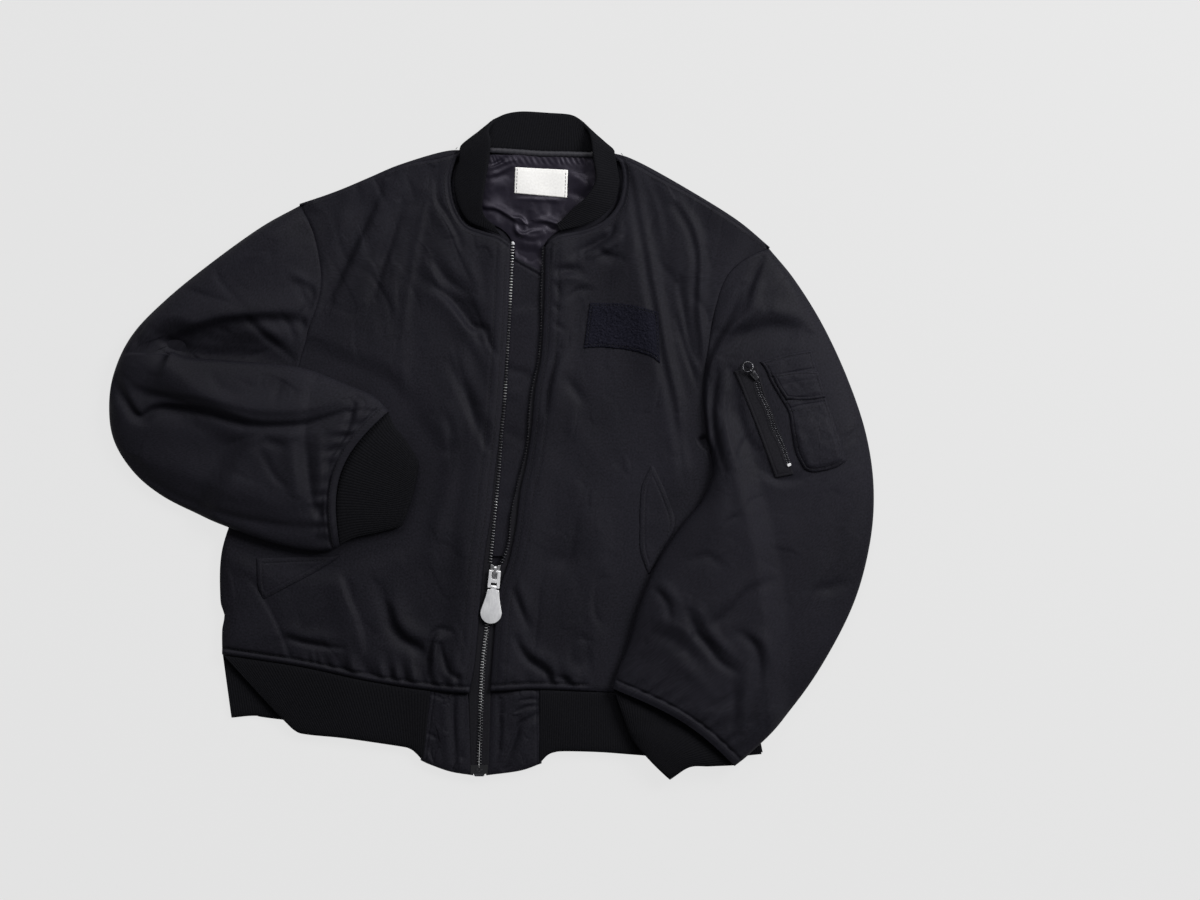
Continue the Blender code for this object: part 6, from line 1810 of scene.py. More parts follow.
def tape_grid(centre, foot, teeth, side):
    """Strip from the front's edge to the row of teeth, with a raised bead and two woven ridges."""
    on_front = smooth_curve(centre, even(260))
    on_hem = np.linspace(foot, on_front[0], 46)[:-1]
    edge = np.vstack([on_hem, on_front]) + (side * SEAM_GAP, 0)
    row = smooth_curve(teeth, even(200))
    chain = np.column_stack([np.interp(edge[:, 1], row[:, 1], row[:, 0]), edge[:, 1]])
    chain = chain - (side * SEAM_GAP / 2, 0)
    u = np.array(TAPE_PLACES)[None, :, None]
    plan = edge[:, None] * (1 - u) + chain[:, None] * u
    place = u[..., 0]
    ridges = 0.14 * np.cos(place * 5 * math.tau) + grooved(place, TAPE_GROOVES)
    drop = tape_drop(plan[..., 1])
    top = TAPE_Z + TAPE_THICK - 0.2 - drop + ridges
    return at_height(plan, top), at_height(plan, TAPE_Z - drop), chain


TAPES = {"right": (CENTRE_RIGHT, TAPE_FOOT_RIGHT, TEETH_RIGHT, 1),
         "left": (CENTRE_LEFT, TAPE_FOOT_LEFT, TEETH_LEFT, -1)}
CHAINS = {}
for label, (centre, foot, teeth, side) in TAPES.items():
    top, under, CHAINS[label] = tape_grid(centre, foot, teeth, side)
    add_cloth("zip_tape_" + label + "_woven", top, under, 2, "zip_tape", "zip_tape_" + label)
print("tape rows:", len(CHAINS["right"]))

# %% Teeth
TOOTH_PITCH = 3.1
FIRST_TOOTH = 0.4
TEETH_FOOT = -344
SLIDER_REACH = 9.2
PARTING = (-128, -60)
OPEN_TILT = {"right": math.radians(6), "left": math.radians(72)}
SLIDER_AT = (4.2, -137.0)
TOOTH_OUTLINE = [(-2.7, -0.42), (-0.1, -0.48), (0.7, -0.34), (0.95, 0.0), (0.7, 0.34), (-0.1, 0.48),
                 (-2.7, 0.42), (-2.9, 0.0)]


def prism_rows(outline, levels):
    """Template of a small part: its outline at several heights, each scaled, as one column of rings."""
    outline = np.asarray(outline, float)
    return np.array([at_height(outline * scale, z) for z, scale in levels])


def place_many(name, template, origins, sides, forwards, ups):
    """One mesh of many copies of a ring-column template, each in its own axes."""
    rings, around = template.shape[:2]
    flat = template.reshape(-1, 3)
    points = (origins[:, None] + flat[None, :, :1] * sides[:, None] + flat[None, :, 1:2] * forwards[:, None]
              + flat[None, :, 2:] * ups[:, None])
    index = np.arange(rings * around).reshape(rings, around)
    loop = np.column_stack([index, index[:, 0]])
    body = quads(loop)
    low, high = index[0][::-1][None], index[-1][None]
    shift = (np.arange(len(origins)) * rings * around)[:, None, None]
    polygons = [(part[None] + shift).reshape(-1, part.shape[1]) for part in (body, low, high)]
    spin = np.cross(flat[1] - flat[0], flat[2] - flat[1])[2] * (template[-1, 0, 2] - template[0, 0, 2])
    hand = np.einsum("ij,ij->i", np.cross(sides, forwards), ups)[0]
    if spin * hand < 0:
        polygons = [p[:, ::-1] for p in polygons]
    uv = np.tile(flat[:, :2] * MM, (len(origins), 1))
    return mesh_from(name, points.reshape(-1, 3), polygons, uv)


def along_path(path, pitch, start=0.0):
    """Points and unit directions every pitch along a 3-D path."""
    total = length_of(path)
    places = np.arange(start, total, pitch) / total
    points = smooth_path(path, places)
    ahead = smooth_path(path, np.clip(places + 0.5 / total, 0, 1))
    behind = smooth_path(path, np.clip(places - 0.5 / total, 0, 1))
    heading = ahead - behind
    return points, heading / np.linalg.norm(heading, axis=1, keepdims=True)


TOOTH = prism_rows(TOOTH_OUTLINE, [(-0.9, 0.86), (-0.7, 1.0), (0.75, 1.0), (1.05, 0.8)])


def add_teeth(name, chain, side, tilt, start):
    """Teeth along a tape's edge: heads towards the other chain, tilted with the tape where it is open."""
    path = at_height(chain, TAPE_Z + TAPE_THICK - 0.25 - tape_drop(chain[:, 1]))
    points, heading = along_path(path, TOOTH_PITCH, start)
    keep = (points[:, 1] > TEETH_FOOT) & (np.abs(points[:, 1] - SLIDER_AT[1]) > SLIDER_REACH)
    points, heading = points[keep], heading[keep]
    flat = np.cross(heading, (0, 0, 1.0)) * side
    flat /= np.linalg.norm(flat, axis=1, keepdims=True)
    opened = ease(points[:, 1], *PARTING)
    angle = (tilt * opened)[:, None]
    straight = np.array((0, 0, 1.0))[None]
    across = flat * np.cos(angle) + straight * np.sin(angle)
    up = straight * np.cos(angle) - flat * np.sin(angle)
    origin = points + flat * 0.25 + up * 0.3
    mesh = place_many(name, TOOTH, origin, across, heading * side, up)
    add_piece(name, mesh, name, "jacket")
    return len(points)


counts = (add_teeth("teeth_right", CHAINS["right"], 1, OPEN_TILT["right"], FIRST_TOOTH),
          add_teeth("teeth_left", CHAINS["left"], -1, OPEN_TILT["left"], FIRST_TOOTH + TOOTH_PITCH / 2))
print("teeth:", counts)

# %% [markdown]
# ## Metalware
#
# The slider has a shield-shaped plate and an arched bridge.  A link swings on a
# rod under the bridge, and a teardrop tab turns on the link's pin.  Flat parts are
# drawn as curves with holes and get rounded edges, rods and rings are turned.  The
# tab is left plain.

# %% Metal helpers
ZIP_LEAN = math.radians(-5.4)
ROD_RADIUS = 0.9
ROD_Y = 1.0
ROD_Z = 3.4
LINK_LENGTH = 17.0
LINK_THICK = 1.5
TAB_THICK = 1.6
SHARP_ANGLE = math.radians(38)


def local_frame(at, lean, z):
    """Frame of a zip: X across it, Y towards its open end, Z out of the cloth."""
    return Matrix.Translation(Vector((at[0], at[1], z)) * MM) @ Matrix.Rotation(lean, 4, "Z")


def flat_part(outlines, thick, bevel, shift=(0, 0, 0)):
    """Plate from closed outlines, the first the rim and the others holes, with rounded edges."""
    line = bpy.data.curves.new("plate", "CURVE")
    line.dimensions = "2D"
    line.fill_mode = "BOTH"
    line.extrude = (thick / 2 - bevel) * MM
    line.bevel_depth = bevel * MM
    line.bevel_resolution = 3
    line.offset = -bevel * MM
    for outline in outlines:
        outline = np.asarray(outline, float)
        spline = line.splines.new("POLY")
        spline.points.add(len(outline) - 1)
        flat = np.column_stack([outline * MM, np.zeros(len(outline)), np.ones(len(outline))])
        spline.points.foreach_set("co", flat.ravel())
        spline.use_cyclic_u = True
    item = bpy.data.objects.new("plate", line)
    bpy.context.scene.collection.objects.link(item)
    graph = bpy.context.evaluated_depsgraph_get()
    mesh = bpy.data.meshes.new_from_object(item.evaluated_get(graph))
    bpy.data.objects.remove(item)
    bpy.data.curves.remove(line)
    shape = bmesh.new()
    shape.from_mesh(mesh)
    bpy.data.meshes.remove(mesh)
    bmesh.ops.remove_doubles(shape, verts=shape.verts, dist=0.00001)
    bmesh.ops.translate(shape, vec=Vector(shift) * MM, verts=shape.verts)
    return shape


def rod_part(radius, length, at, axis="Y", segments=24):
    """Rod with rounded ends; axis names the turn from upright."""
    shape = bmesh.new()
    bmesh.ops.create_cone(shape, cap_ends=True, segments=segments, radius1=radius * MM,
                          radius2=radius * MM, depth=length * MM)
    rims = [e for e in shape.edges if abs(e.verts[0].co.z - e.verts[1].co.z) < 1e-7]
    bmesh.ops.bevel(shape, geom=rims, offset=0.2 * MM, segments=2, affect="EDGES", clamp_overlap=True)
    if axis:
        bmesh.ops.rotate(shape, matrix=Matrix.Rotation(math.pi / 2, 3, axis), verts=shape.verts)
    bmesh.ops.translate(shape, vec=Vector(at) * MM, verts=shape.verts)
    return shape


def block_part(size, at, bevel):
    """Box with rounded edges."""
    shape = bmesh.new()
    bmesh.ops.create_cube(shape, size=1)
    bmesh.ops.scale(shape, vec=Vector(size) * MM, verts=shape.verts)
    bmesh.ops.bevel(shape, geom=shape.edges[:], offset=bevel * MM, segments=3, affect="EDGES",
                    clamp_overlap=True)
    bmesh.ops.translate(shape, vec=Vector(at) * MM, verts=shape.verts)
    return shape


def ring_part(radius, wire, turn, at, segments=56, sides=16):
    """Torus: a circle of small circles, turned and moved."""
    u = np.arange(segments) * math.tau / segments
    v = np.arange(sides) * math.tau / sides
    reach = radius + wire * np.cos(v)[None]
    points = np.stack([reach * np.cos(u)[:, None], reach * np.sin(u)[:, None],
                       np.broadcast_to(wire * np.sin(v)[None], (segments, sides))], axis=-1)
    index = np.arange(segments * sides).reshape(segments, sides)
    index = np.pad(index, ((0, 1), (0, 1)), mode="wrap")
    mesh = mesh_from("ring", points.reshape(-1, 3), [quads(index)[:, ::-1]])
    shape = bmesh.new()
    shape.from_mesh(mesh)
    bpy.data.meshes.remove(mesh)
    bmesh.ops.transform(shape, matrix=turn, verts=shape.verts)
    bmesh.ops.translate(shape, vec=Vector(at) * MM, verts=shape.verts)
    return shape


def strip_part(profile, width):
    """Bent strip: a closed profile in the YZ plane, extruded across, with rounded long edges."""
    profile = np.asarray(profile, float)
    count = len(profile)
    shape = bmesh.new()
    sides = []
    for x in (-width / 2, width / 2):
        sides.append([shape.verts.new(Vector((x, y, z)) * MM) for y, z in profile])
    low, high = sides
    rims = [shape.faces.new(low[::-1]), shape.faces.new(high)]
    for k in range(count):
        after = (k + 1) % count
        shape.faces.new((low[k], low[after], high[after], high[k]))
    edges = list({e for face in rims for e in face.edges})
    bmesh.ops.bevel(shape, geom=edges, offset=0.22 * MM, segments=2, affect="EDGES", clamp_overlap=True)
    return shape


def metal_piece(name, parts, place, body, nodes=(), finish="zip_metal"):
    """One object of several closed parts, in millimetres round its own origin, put in its place."""
    joined = bmesh.new()
    for shape in parts:
        bmesh.ops.recalc_face_normals(shape, faces=shape.faces)
        mesh = bpy.data.meshes.new(name + "_part")
        shape.to_mesh(mesh)
        shape.free()
        joined.from_mesh(mesh)
        bpy.data.meshes.remove(mesh)
    bmesh.ops.transform(joined, matrix=place, verts=joined.verts)
    mesh = bpy.data.meshes.new(name)
    joined.to_mesh(mesh)
    joined.free()
    mesh.shade_smooth()
    mesh.set_sharp_from_angle(angle=SHARP_ANGLE)
    add_piece(name, mesh, finish, body, nodes)
    return len(mesh.polygons)


def rounded(points, radius, steps=5):
    """Closed outline with each corner replaced by a short round."""
    points = np.asarray(points, float)
    made = []
    for before, here, after in zip(np.roll(points, 1, axis=0), points, np.roll(points, -1, axis=0)):
        to_before = (before - here) / np.linalg.norm(before - here)
        to_after = (after - here) / np.linalg.norm(after - here)
        for t in even(steps + 1):
            start = here + to_before * radius * (1 - t)
            made.append(start * (1 - t) + (here + to_after * radius * t) * t)
    return np.array(made)


# %% Main slider, link and tab
MAIN_ZIP = local_frame(SLIDER_AT, ZIP_LEAN, TAPE_Z + TAPE_THICK + LAY_GAP)
SHIELD = rounded([(-5.5, 8.5), (-5.2, 3.0), (-3.9, -8.5), (3.9, -8.5), (5.2, 3.0), (5.5, 8.5),
                  (0, 6.6)], 1.1)


def bridge_profile():
    """Arch over the rod: an outer arc down to both feet and an inner arc 1.1 mm inside it."""
    outer = [(7.5, 0.9), (7.45, 2.6), (6.9, 4.3), (5.4, 5.45), (3.0, 5.85), (0.5, 5.9), (-2.0, 5.75),
             (-4.2, 5.1), (-5.2, 3.6), (-5.35, 2.0), (-5.35, 0.9)]
    inner = [(-4.3, 0.9), (-4.25, 2.2), (-4.0, 3.6), (-3.2, 4.5), (-1.6, 4.85), (0.5, 4.95), (3.0, 4.9),
             (4.8, 4.5), (5.9, 3.6), (6.3, 2.4), (6.35, 0.9)]
    return np.vstack([smooth_rows(outer, 3), smooth_rows(inner, 3)])


slider_parts = [flat_part([SHIELD], 1.4, 0.35, (0, 0, 0.7)), strip_part(bridge_profile(), 2.6)]
count = metal_piece("zip_slider_metal", slider_parts, MAIN_ZIP, "jacket", ["zip_slider"], "zip_body")
ROD_PLACE = MAIN_ZIP @ Matrix.Translation(Vector((0, ROD_Y, ROD_Z)) * MM)
LINK_RIM = rounded([(-6.3, 1.25), (-6.5, -LINK_LENGTH - 1.25), (6.5, -LINK_LENGTH - 1.25),
                    (6.3, 1.25)], 1.0)
LINK_SLOT = rounded([(-2.9, -1.3), (-2.9, -8.4), (2.9, -8.4), (2.9, -1.3)], 0.5)
LINK_NOTCH = rounded([(-3.2, -12.6), (-3.2, -LINK_LENGTH), (3.2, -LINK_LENGTH), (3.2, -12.6)], 0.4)
link_parts = [flat_part([LINK_RIM, LINK_SLOT, LINK_NOTCH], LINK_THICK, 0.3),
              rod_part(ROD_RADIUS, 12.0, (0, 0, 0)),
              rod_part(ROD_RADIUS - 0.1, 12.0, (0, -LINK_LENGTH, 0))]
count += metal_piece("zip_link_metal", link_parts, ROD_PLACE, "link", ["zip_link"])
PIN_PLACE = ROD_PLACE @ Matrix.Translation(Vector((0, -LINK_LENGTH, 0)) * MM)


def teardrop_outline():
    """Shoulders as wide as the link, straight flanks, and a round end 23 mm wide."""
    wide, centre = 11.5, -(38.0 - 11.5)
    turn = np.linspace(math.radians(-14), math.radians(194), 60)
    arc = np.column_stack([wide * np.cos(turn), centre - wide * np.sin(turn)])
    right = [(2.6, 0.0), (2.6, -1.0), (5.6, -1.1), (6.2, -1.8), (7.2, -8.0), (9.2, -16.5)]
    left = [(-x, y) for x, y in right[::-1]]
    return np.vstack([right, arc, left])


def eye_part():
    """Eye of the tab: a short tube round the link's pin."""
    shape = bmesh.new()
    rings = []
    for radius, x in ((1.25, -2.8), (1.95, -2.8), (2.1, -2.6), (2.1, 2.6), (1.95, 2.8), (1.25, 2.8)):
        turn = np.arange(28) * math.tau / 28
        rings.append([shape.verts.new(Vector((x, radius * math.cos(a), radius * math.sin(a))) * MM)
                      for a in turn])
    for here, there in zip(rings, rings[1:] + rings[:1]):
        for k in range(28):
            after = (k + 1) % 28
            shape.faces.new((here[k], here[after], there[after], there[k]))
    return shape


tab_parts = [flat_part([teardrop_outline()], TAB_THICK, 0.4, (0, -1.62, 0.62)), eye_part()]
count += metal_piece("zip_tab_metal", tab_parts, PIN_PLACE, "tab", ["zip_tab"])
print("main pull:", count, "faces")

# %% Zip foot
ZIP_BOX_AT = (-13.0, -355.2)
ZIP_BOX_Z = 7.9
FOOT_FILM = (9.2, 9.6, 0.35)
foot_place = local_frame(ZIP_BOX_AT, 0, ZIP_BOX_Z)
box_parts = [block_part((11.4, 5.6, 2.2), (0, 0, 1.1), 0.9)]
box_parts += [block_part((9.6, 1.3, 0.8), (0, 2.6, 2.2), 0.3)]
box_parts += [block_part((3.2, 3.0, 1.6), (side * 2.6, 4.2, 1.9), 0.5) for side in (-1, 1)]
stop_at = (CHAINS["right"][-1, 0] - 0.4, CHAINS["right"][-1, 1] + 0.6)
stop_place = local_frame(stop_at, 0.5, TAPE_Z + TAPE_THICK)
metal_piece("zip_top_stop", [block_part((2.8, 3.8, 2.0), (0, 0, 0.6), 0.6)], stop_place, "jacket")
count = metal_piece("zip_box_metal", box_parts, foot_place, "jacket", ["zip_box"], "zip_teeth")
film_parts = [block_part(FOOT_FILM, (side * 4.75, 4.7, 2.15), 0.12) for side in (-1, 1)]
count += metal_piece("zip_foot_film", film_parts, foot_place, "jacket", (), "film")
print("zip foot:", count, "faces")

# %% [markdown]
# ## Patch, flaps and sleeve pocket
#
# These pieces lie on the shell and follow it: rays from above find the surface, a
# few rounds of averaging ease it over small folds, and the piece is that plus its
# own thickness.  The chest patch is a fuzzy loop fabric.  The sleeve pocket has a
# zip, rows of stitching for pens and a bag that bulges at its foot.

# %% Trees of the main pieces
TREES = {label: surface_tree(bpy.data.objects[label + "_shell"].data)
         for label in ("front_right", "front_left", "sleeve_right", "sleeve_left")}
print("under the pocket slider:", height_on(TREES["sleeve_left"], np.array([[284.0, 75.0]])).round(1))

# %% Chest patch
PATCH_LOW = [(100.4, 105.3), (117.7, 106.4), (150, 103.1), (171.7, 96.7), (182.5, 89.1)]
PATCH_HIGH = [(107, 154), (144.7, 152.8), (180.4, 144.2)]
PATCH_PLAN = edges_grid(PATCH_LOW, PATCH_HIGH, [(100.4, 105.3), (107, 154)],
                        [(182.5, 89.1), (180.4, 144.2)], 97, 151)
base = laid_grid(TREES["front_left"], PATCH_PLAN, 0.3, 16, 1, 12.0)
rim = rim_distance(PATCH_PLAN)
pile = 0.42 * soft_noise(PATCH_PLAN, 1.1, 201) + 0.30 * soft_noise(PATCH_PLAN, 2.3, 202)
pile = pile + 0.16 * soft_noise(PATCH_PLAN, 7.0, 203)
top = base + 1.7 + pile - 0.8 * bump(rim, 1.0) - 0.7 * bump(rim - 2.4, 0.9)
mesh = add_cloth("chest_patch_loops", at_height(PATCH_PLAN, top), at_height(PATCH_PLAN, base), 10,
                 "hook_and_loop", "chest_patch")
PATCH_GRID = at_height(PATCH_PLAN, base + 1.5)
print("patch:", len(mesh.polygons), "faces")

# %% Welt flaps
Flap = namedtuple("Flap", "tree low high left right")
FLAPS = {
    "pocket_flap_right": Flap("front_right", [(-246, -166), (-243.5, -165.2), (-240, -163)],
                              [(-253.5, -122), (-205, -120), (-163, -119)],
                              [(-246, -166), (-251.6, -153.9), (-253, -136), (-253.5, -122)],
                              [(-240, -163), (-208, -146.5), (-176.4, -129), (-163, -119)]),
    "pocket_flap_left": Flap("front_left", [(169.6, -139), (172, -138)], [(173, -22), (176, -23)],
                             [(169.6, -139), (161.5, -114.6), (160.6, -90.2), (160.9, -66.4),
                              (163.5, -42.2), (173, -22)],
                             [(172, -138), (186, -112), (199, -86), (190, -54.3), (176, -23)]),
}
FLAP_GRIDS = {}
for label, flap in FLAPS.items():
    plan = edges_grid(flap.low, flap.high, flap.left, flap.right, 97, 73)
    base = laid_grid(TREES[flap.tree], plan, 0.2, 14, 1, 12.0)
    rim = rim_distance(plan)
    swell = 1 - np.exp(-rim / 1.6)
    top = base + 0.3 + 1.1 * swell - 0.4 * bump(rim - 5.5, 1.2) + 0.5 * soft_noise(plan, 17, 301) * swell

    mesh = add_cloth(label + "_cloth", at_height(plan, top), at_height(plan, base - 0.2), 12,
                     "shell", label)
    FLAP_GRIDS[label] = at_height(plan, top)
    print(label, len(mesh.polygons), "faces")

# %% Sleeve pocket
POCKET_LEFT = [(337.5, -25.4), (328.1, -6.7), (323.5, 19), (321, 35.4), (313, 49.5), (302, 68.1),
               (296, 82), (290, 90)]
POCKET_RIGHT = [(383, -16.5), (376.9, 7.3), (365.6, 37.7), (358.6, 58.9), (350, 86.9), (346, 103)]
POCKET_LOW = [(337.5, -25.4), (346, -28.5), (360, -27), (374, -22.5), (383, -16.5)]
POCKET_HIGH = [(290, 90), (318, 98), (346, 103)]
TAPE_LEFT = [(306.7, -35), (290.5, 9.7), (272.2, 56.7), (262.4, 80)]
TAPE_RIGHT = [(326, -31), (313, 10), (297, 52), (287, 86)]
POCKET_CHAIN = [(284, 75), (286, 70.7), (290.5, 54.5), (297.8, 40.5), (304.6, 18.9), (311.8, 4.9),
                (318.6, -13.5), (320.6, -19.5)]
PEN_ROWS = (3.0, 20.0, 31.0, 48.0, 57.0)

plan = edges_grid([(306.7, -35), (326, -31)], [(262.4, 80), (287, 86)], TAPE_LEFT, TAPE_RIGHT, 161, 41)
base = laid_grid(TREES["sleeve_left"], plan, 0.2, 20, 2, 20.0)
rim = rim_distance(plan)
ridge = 0.5 * bump(edge_distance(smooth_curve(POCKET_CHAIN, even(40)), plan) - 3.6, 0.8)
top = base + 1.3 - 0.6 * bump(rim, 0.9) - 0.35 * bump(rim - 3.0, 0.9) + ridge
mesh = add_cloth("pocket_zip_tape_woven", at_height(plan, top), at_height(plan, base), 8,
                 "zip_tape", "pocket_zip_tape")
TREES["pocket_tape"] = surface_tree(mesh)

plan = edges_grid(POCKET_LOW, POCKET_HIGH, POCKET_LEFT, POCKET_RIGHT, 181, 109)
base = laid_grid(TREES["sleeve_left"], plan, 0.3, 20, 2, 20.0)
rim = rim_distance(plan)
from_top = edge_distance(plan[-1], plan)
from_foot = edge_distance(plan[0], plan)
swell = 1 - np.exp(-rim / 1.8)
rows_of_pens = sum(-0.8 * bump(from_top - row, 1.1) for row in PEN_ROWS)
bag = 3.0 * ease(from_top, 60, 96) * (1 - np.exp(-from_foot / 3.0)) * ease(rim, 0, 9)
crumple = 0.5 * soft_noise(plan * (0.8, 1.3), 13, 401) + 0.35 * soft_noise(plan, 6, 402)
top = base + 0.8 + 2.0 * swell + rows_of_pens * ease(rim, 1, 4) + bag + crumple * swell
top = top - 0.5 * bump(rim - 3.2, 0.9)
mesh = add_cloth("sleeve_pocket_cloth", at_height(plan, top), at_height(plan, base), 12,
                 "shell", "sleeve_pocket")
TREES["pocket"] = surface_tree(mesh)
POCKET_GRID = at_height(plan, top)
print("pocket:", len(mesh.polygons), "faces")

PEN_LEFT = [(318, 50), (309, 64), (303.5, 76)]
PEN_RIGHT = [(361, 52), (356, 68), (352.5, 80)]
plan = edges_grid([(318, 50), (340, 49), (361, 52)], [(303.5, 76), (330, 80), (352.5, 80)], PEN_LEFT,
                  PEN_RIGHT, 61, 97)
base = laid_grid(TREES["pocket"], plan, 0.15, 10, 1, 24.0)
rim = rim_distance(plan)
top = base + 0.4 + 1.1 * (1 - np.exp(-rim / 1.3)) - 0.5 * bump(rim - 3.0, 0.8)
top = top + 0.3 * soft_noise(plan, 8, 411)
mesh = add_cloth("pen_pocket_cloth", at_height(plan, top), at_height(plan, base), 12, "shell", "pen_pocket")
PEN_GRID = at_height(plan, top)
print("pen pocket:", len(mesh.polygons), "faces")

# %% Pocket zip


def on_surface(tree, path, rise=0.0, default=12.0):
    """Plan path lifted onto a surface and smoothed along its length."""
    z = height_on(tree, path, default)
    for _ in range(3):
        padded = np.pad(z, 1, mode="edge")
        z = (padded[:-2] + padded[2:] + 2 * z) / 4
    return at_height(path, z + rise)


SMALL_TOOTH = TOOTH * 0.6
path = on_surface(TREES["pocket_tape"], smooth_curve(POCKET_CHAIN, even(60)), 0.45, 26.0)
counts = []
for label, side, start in (("right", 1, 8.0), ("left", -1, 9.0)):
    points, heading = along_path(path, 2.0, start)
    across = np.cross(heading, (0, 0, 1.0)) * side
    across /= np.linalg.norm(across, axis=1, keepdims=True)
    up = np.cross(across, heading) * side
    up = up * np.sign(up[:, 2:])
    mesh = place_many("pocket_teeth_" + label, SMALL_TOOTH, points - across * 0.85, across,
                      heading * side, up)
    add_piece("pocket_teeth_" + label, mesh, "zip_teeth", "jacket")
    counts.append(len(points))
POCKET_Z = 27.55
POCKET_ZIP = local_frame((284.0, 75.0), math.radians(38.0), POCKET_Z)
EYE_TURN = Matrix.Rotation(math.pi / 2, 4, "Y")
pocket_rim = rounded([(-3.2, 5.0), (-3.0, 1.0), (-2.3, -5.0), (2.3, -5.0), (3.0, 1.0), (3.2, 5.0)], 1.0)
parts = [flat_part([pocket_rim], 1.2, 0.3, (0, 0, 0.6)), flat_part([pocket_rim], 0.7, 0.2, (0, 0, 1.85)),
         ring_part(2.3, 0.75, EYE_TURN, (0, 6.6, 3.2), 36, 12)]
parts.append(block_part((1.6, 6.0, 0.9), (0, 1.0, 2.5), 0.3))
counts.append(metal_piece("pocket_slider_metal", parts, POCKET_ZIP, "jacket", ["pocket_slider"],
                          "zip_dark"))
RING_PLACE = (POCKET_ZIP @ Matrix.Translation(Vector((0, 6.6, 3.2)) * MM)
              @ Matrix.Rotation(math.radians(-10.0), 4, "X"))
parts = [ring_part(5.4, 0.85, Matrix.Identity(4), (0, 5.4, 0))]
counts.append(metal_piece("pocket_ring_metal", parts, RING_PLACE, "ring", ["pocket_ring"], "zip_dark"))
foot = path[-1]
parts = [block_part((4.2, 3.2, 1.6), (0, 0, 0.7), 0.45)]
stop_at = local_frame((foot[0] + 0.6, foot[1] - 1.4), math.radians(24), foot[2] - 0.2)
counts.append(metal_piece("pocket_zip_stop", parts, stop_at, "jacket"))
print("pocket zip:", counts)

# %% [markdown]
# ## Stitching
#
# Each stitch is a small capsule about 3 mm long, half sunk in the cloth, placed
# along a path with a short gap to the next.  The paths are offsets of the panels'
# edges, lifted onto their surfaces.  The stitches of one piece are one mesh.

# %% Stitches
STITCH = 2.9
STITCH_PITCH = 3.9
THREAD_RISE = 0.08
SLEEVE_STITCH = 7.4
ZIP_STITCHES = (5.5, 15.0)
NECK_STITCH = 7.6
SHOULDER_STITCH = 3.4
HEM_STITCH = 7.4
FLAP_INSET = 5.2
PATCH_INSET = 2.4
POCKET_INSET = 3.2
PEN_INSET = 2.6
turn = np.arange(5) * math.tau / 5
PENTAGON = np.column_stack([0.30 * np.cos(turn), 0.30 * np.sin(turn)])
STITCH_TEMPLATE = prism_rows(PENTAGON, [(0.0, 0.35), (0.45, 1.0), (STITCH - 0.45, 1.0), (STITCH, 0.35)])


def offset(curve, distance):
    """Curve moved to its left in plan."""
    heading = np.gradient(np.asarray(curve, float), axis=0)
    heading /= np.linalg.norm(heading, axis=1, keepdims=True)
    return curve + distance * np.column_stack([-heading[:, 1], heading[:, 0]])


def inset_path(grid, inset):
    """Closed 3-D path at a distance inside a grid's rim."""
    rows = inset / length_of(grid[:, grid.shape[1] // 2])
    columns = inset / length_of(grid[grid.shape[0] // 2])
    t = even(80)
    along = np.concatenate([t, np.ones(80), 1 - t, np.zeros(80)])
    across = np.concatenate([np.zeros(80), t, np.ones(80), 1 - t])
    return on_grid(grid, rows + along * (1 - 2 * rows), columns + across * (1 - 2 * columns))


def add_stitches(name, paths):
    """One mesh of capsules along 3-D paths."""
    starts, ends = [], []
    for path in paths:
        total = length_of(path)
        places = np.arange(0.6, total - STITCH, STITCH_PITCH)
        starts.append(smooth_path(path, places / total))
        ends.append(smooth_path(path, (places + STITCH) / total))
    starts, ends = np.vstack(starts), np.vstack(ends)
    heading = ends - starts
    heading /= np.maximum(np.linalg.norm(heading, axis=1, keepdims=True), 1e-6)
    side = np.cross(heading, (0, 0, 1.0))
    side /= np.maximum(np.linalg.norm(side, axis=1, keepdims=True), 1e-6)
    up = np.cross(side, heading)
    mesh = place_many(name, STITCH_TEMPLATE, starts, side, up, heading)
    add_piece(name, mesh, "thread", "jacket")
    return len(starts)


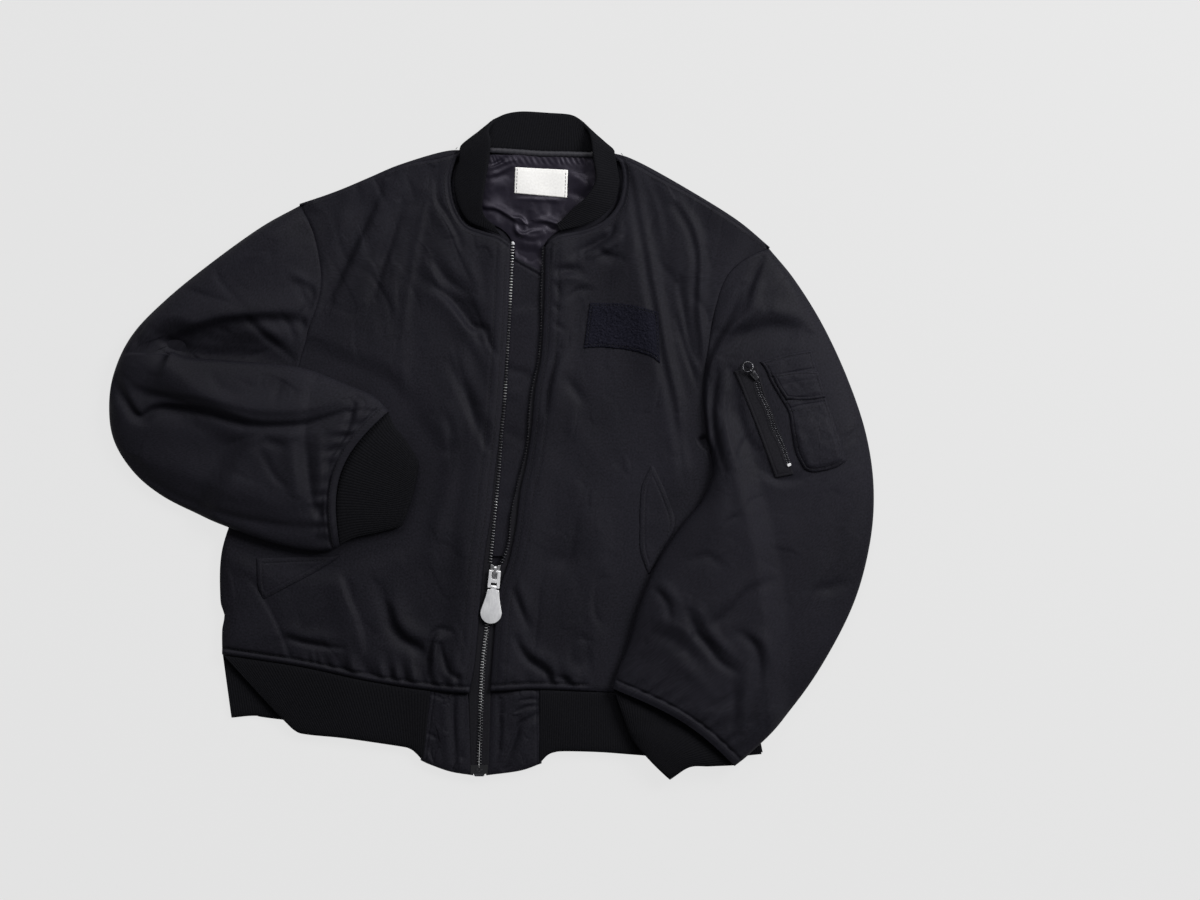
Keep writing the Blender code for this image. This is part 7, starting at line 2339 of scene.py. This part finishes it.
def edge_paths(front, tree, hand):
    """Stitch lines of a front: two beside the zip, one round the neck, shoulder and hem."""
    centre = smooth_curve(front.centre, even(220))
    neck = smooth_curve(front.neck, even(120))[6:]
    shoulder = smooth_curve(front.shoulder, even(120))
    hem = smooth_curve(front.hem, even(200))
    near, far = ZIP_STITCHES
    lines = [offset(centre, hand * near)[3:-8], offset(centre, hand * far)[6:-12],
             offset(neck, hand * NECK_STITCH), offset(shoulder, hand * SHOULDER_STITCH),
             offset(hem, -hand * HEM_STITCH)[6:]]
    return [on_surface(tree, line, THREAD_RISE) for line in lines]


def ring_path(over, distance):
    """3-D path at a distance before the sleeve's end, from side to side."""
    from_end = lengths(over[::-1], 0)[::-1] / MM
    path = [[np.interp(distance, from_end[::-1, k], over[::-1, k, axis]) for axis in range(3)]
            for k in range(6, over.shape[1] - 6)]
    return np.array(path) + (0, 0, THREAD_RISE)


counts = {
    label: add_stitches("stitches_" + label, edge_paths(FRONTS[label], TREES[label], hand))
    for label, hand in (("front_right", 1), ("front_left", -1))
}
counts |= {label: add_stitches("stitches_" + label, [ring_path(over, SLEEVE_STITCH)])
           for label, over in SLEEVE_TOPS.items()}
counts |= {
    "flaps": add_stitches("stitches_flaps", [inset_path(grid, FLAP_INSET) for grid in FLAP_GRIDS.values()]),
    "patch": add_stitches("stitches_patch", [inset_path(PATCH_GRID, PATCH_INSET)]),
    "pocket": add_stitches("stitches_pocket",
                           [inset_path(POCKET_GRID, POCKET_INSET), inset_path(PEN_GRID, PEN_INSET)]
                           + [on_grid(POCKET_GRID, np.full(80, 1 - row / 120.0), 0.05 + 0.9 * even(80))
                              + (0, 0, 0.05) for row in PEN_ROWS[1:]]),
}
LABEL_TOP = at_height(LABEL_PLAN, height_on(LABEL_TREE, LABEL_PLAN, 9.0))
ends = [on_grid(LABEL_TOP, even(40), np.full(40, place)) for place in (0.04, 0.96)]
counts["label"] = add_stitches("stitches_label", ends)
print("stitches:", counts)

# %% [markdown]
# ## Cuts
#
# A cut row would hold the size a cloth piece was cut to: the piece, the width
# and length of the cut, its area where it isn't a rectangle, and held, under and
# carries.  Here only the row is defined.  Doubled rib shows one of its two
# layers here, and the report gives the whole cut.  Doubled rib shows one of its
# two layers here, and the neck binding is a filled roll.

# %% Cuts
Cut = namedtuple("Cut", "piece width length area held under carries")

# %% Finish
VISUAL_BOX = [[float(v) for v in corner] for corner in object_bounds()]
grown = [round((high - low) / MM, 1) for low, high in zip(*VISUAL_BOX)]
print("visual box:", grown, "mm")
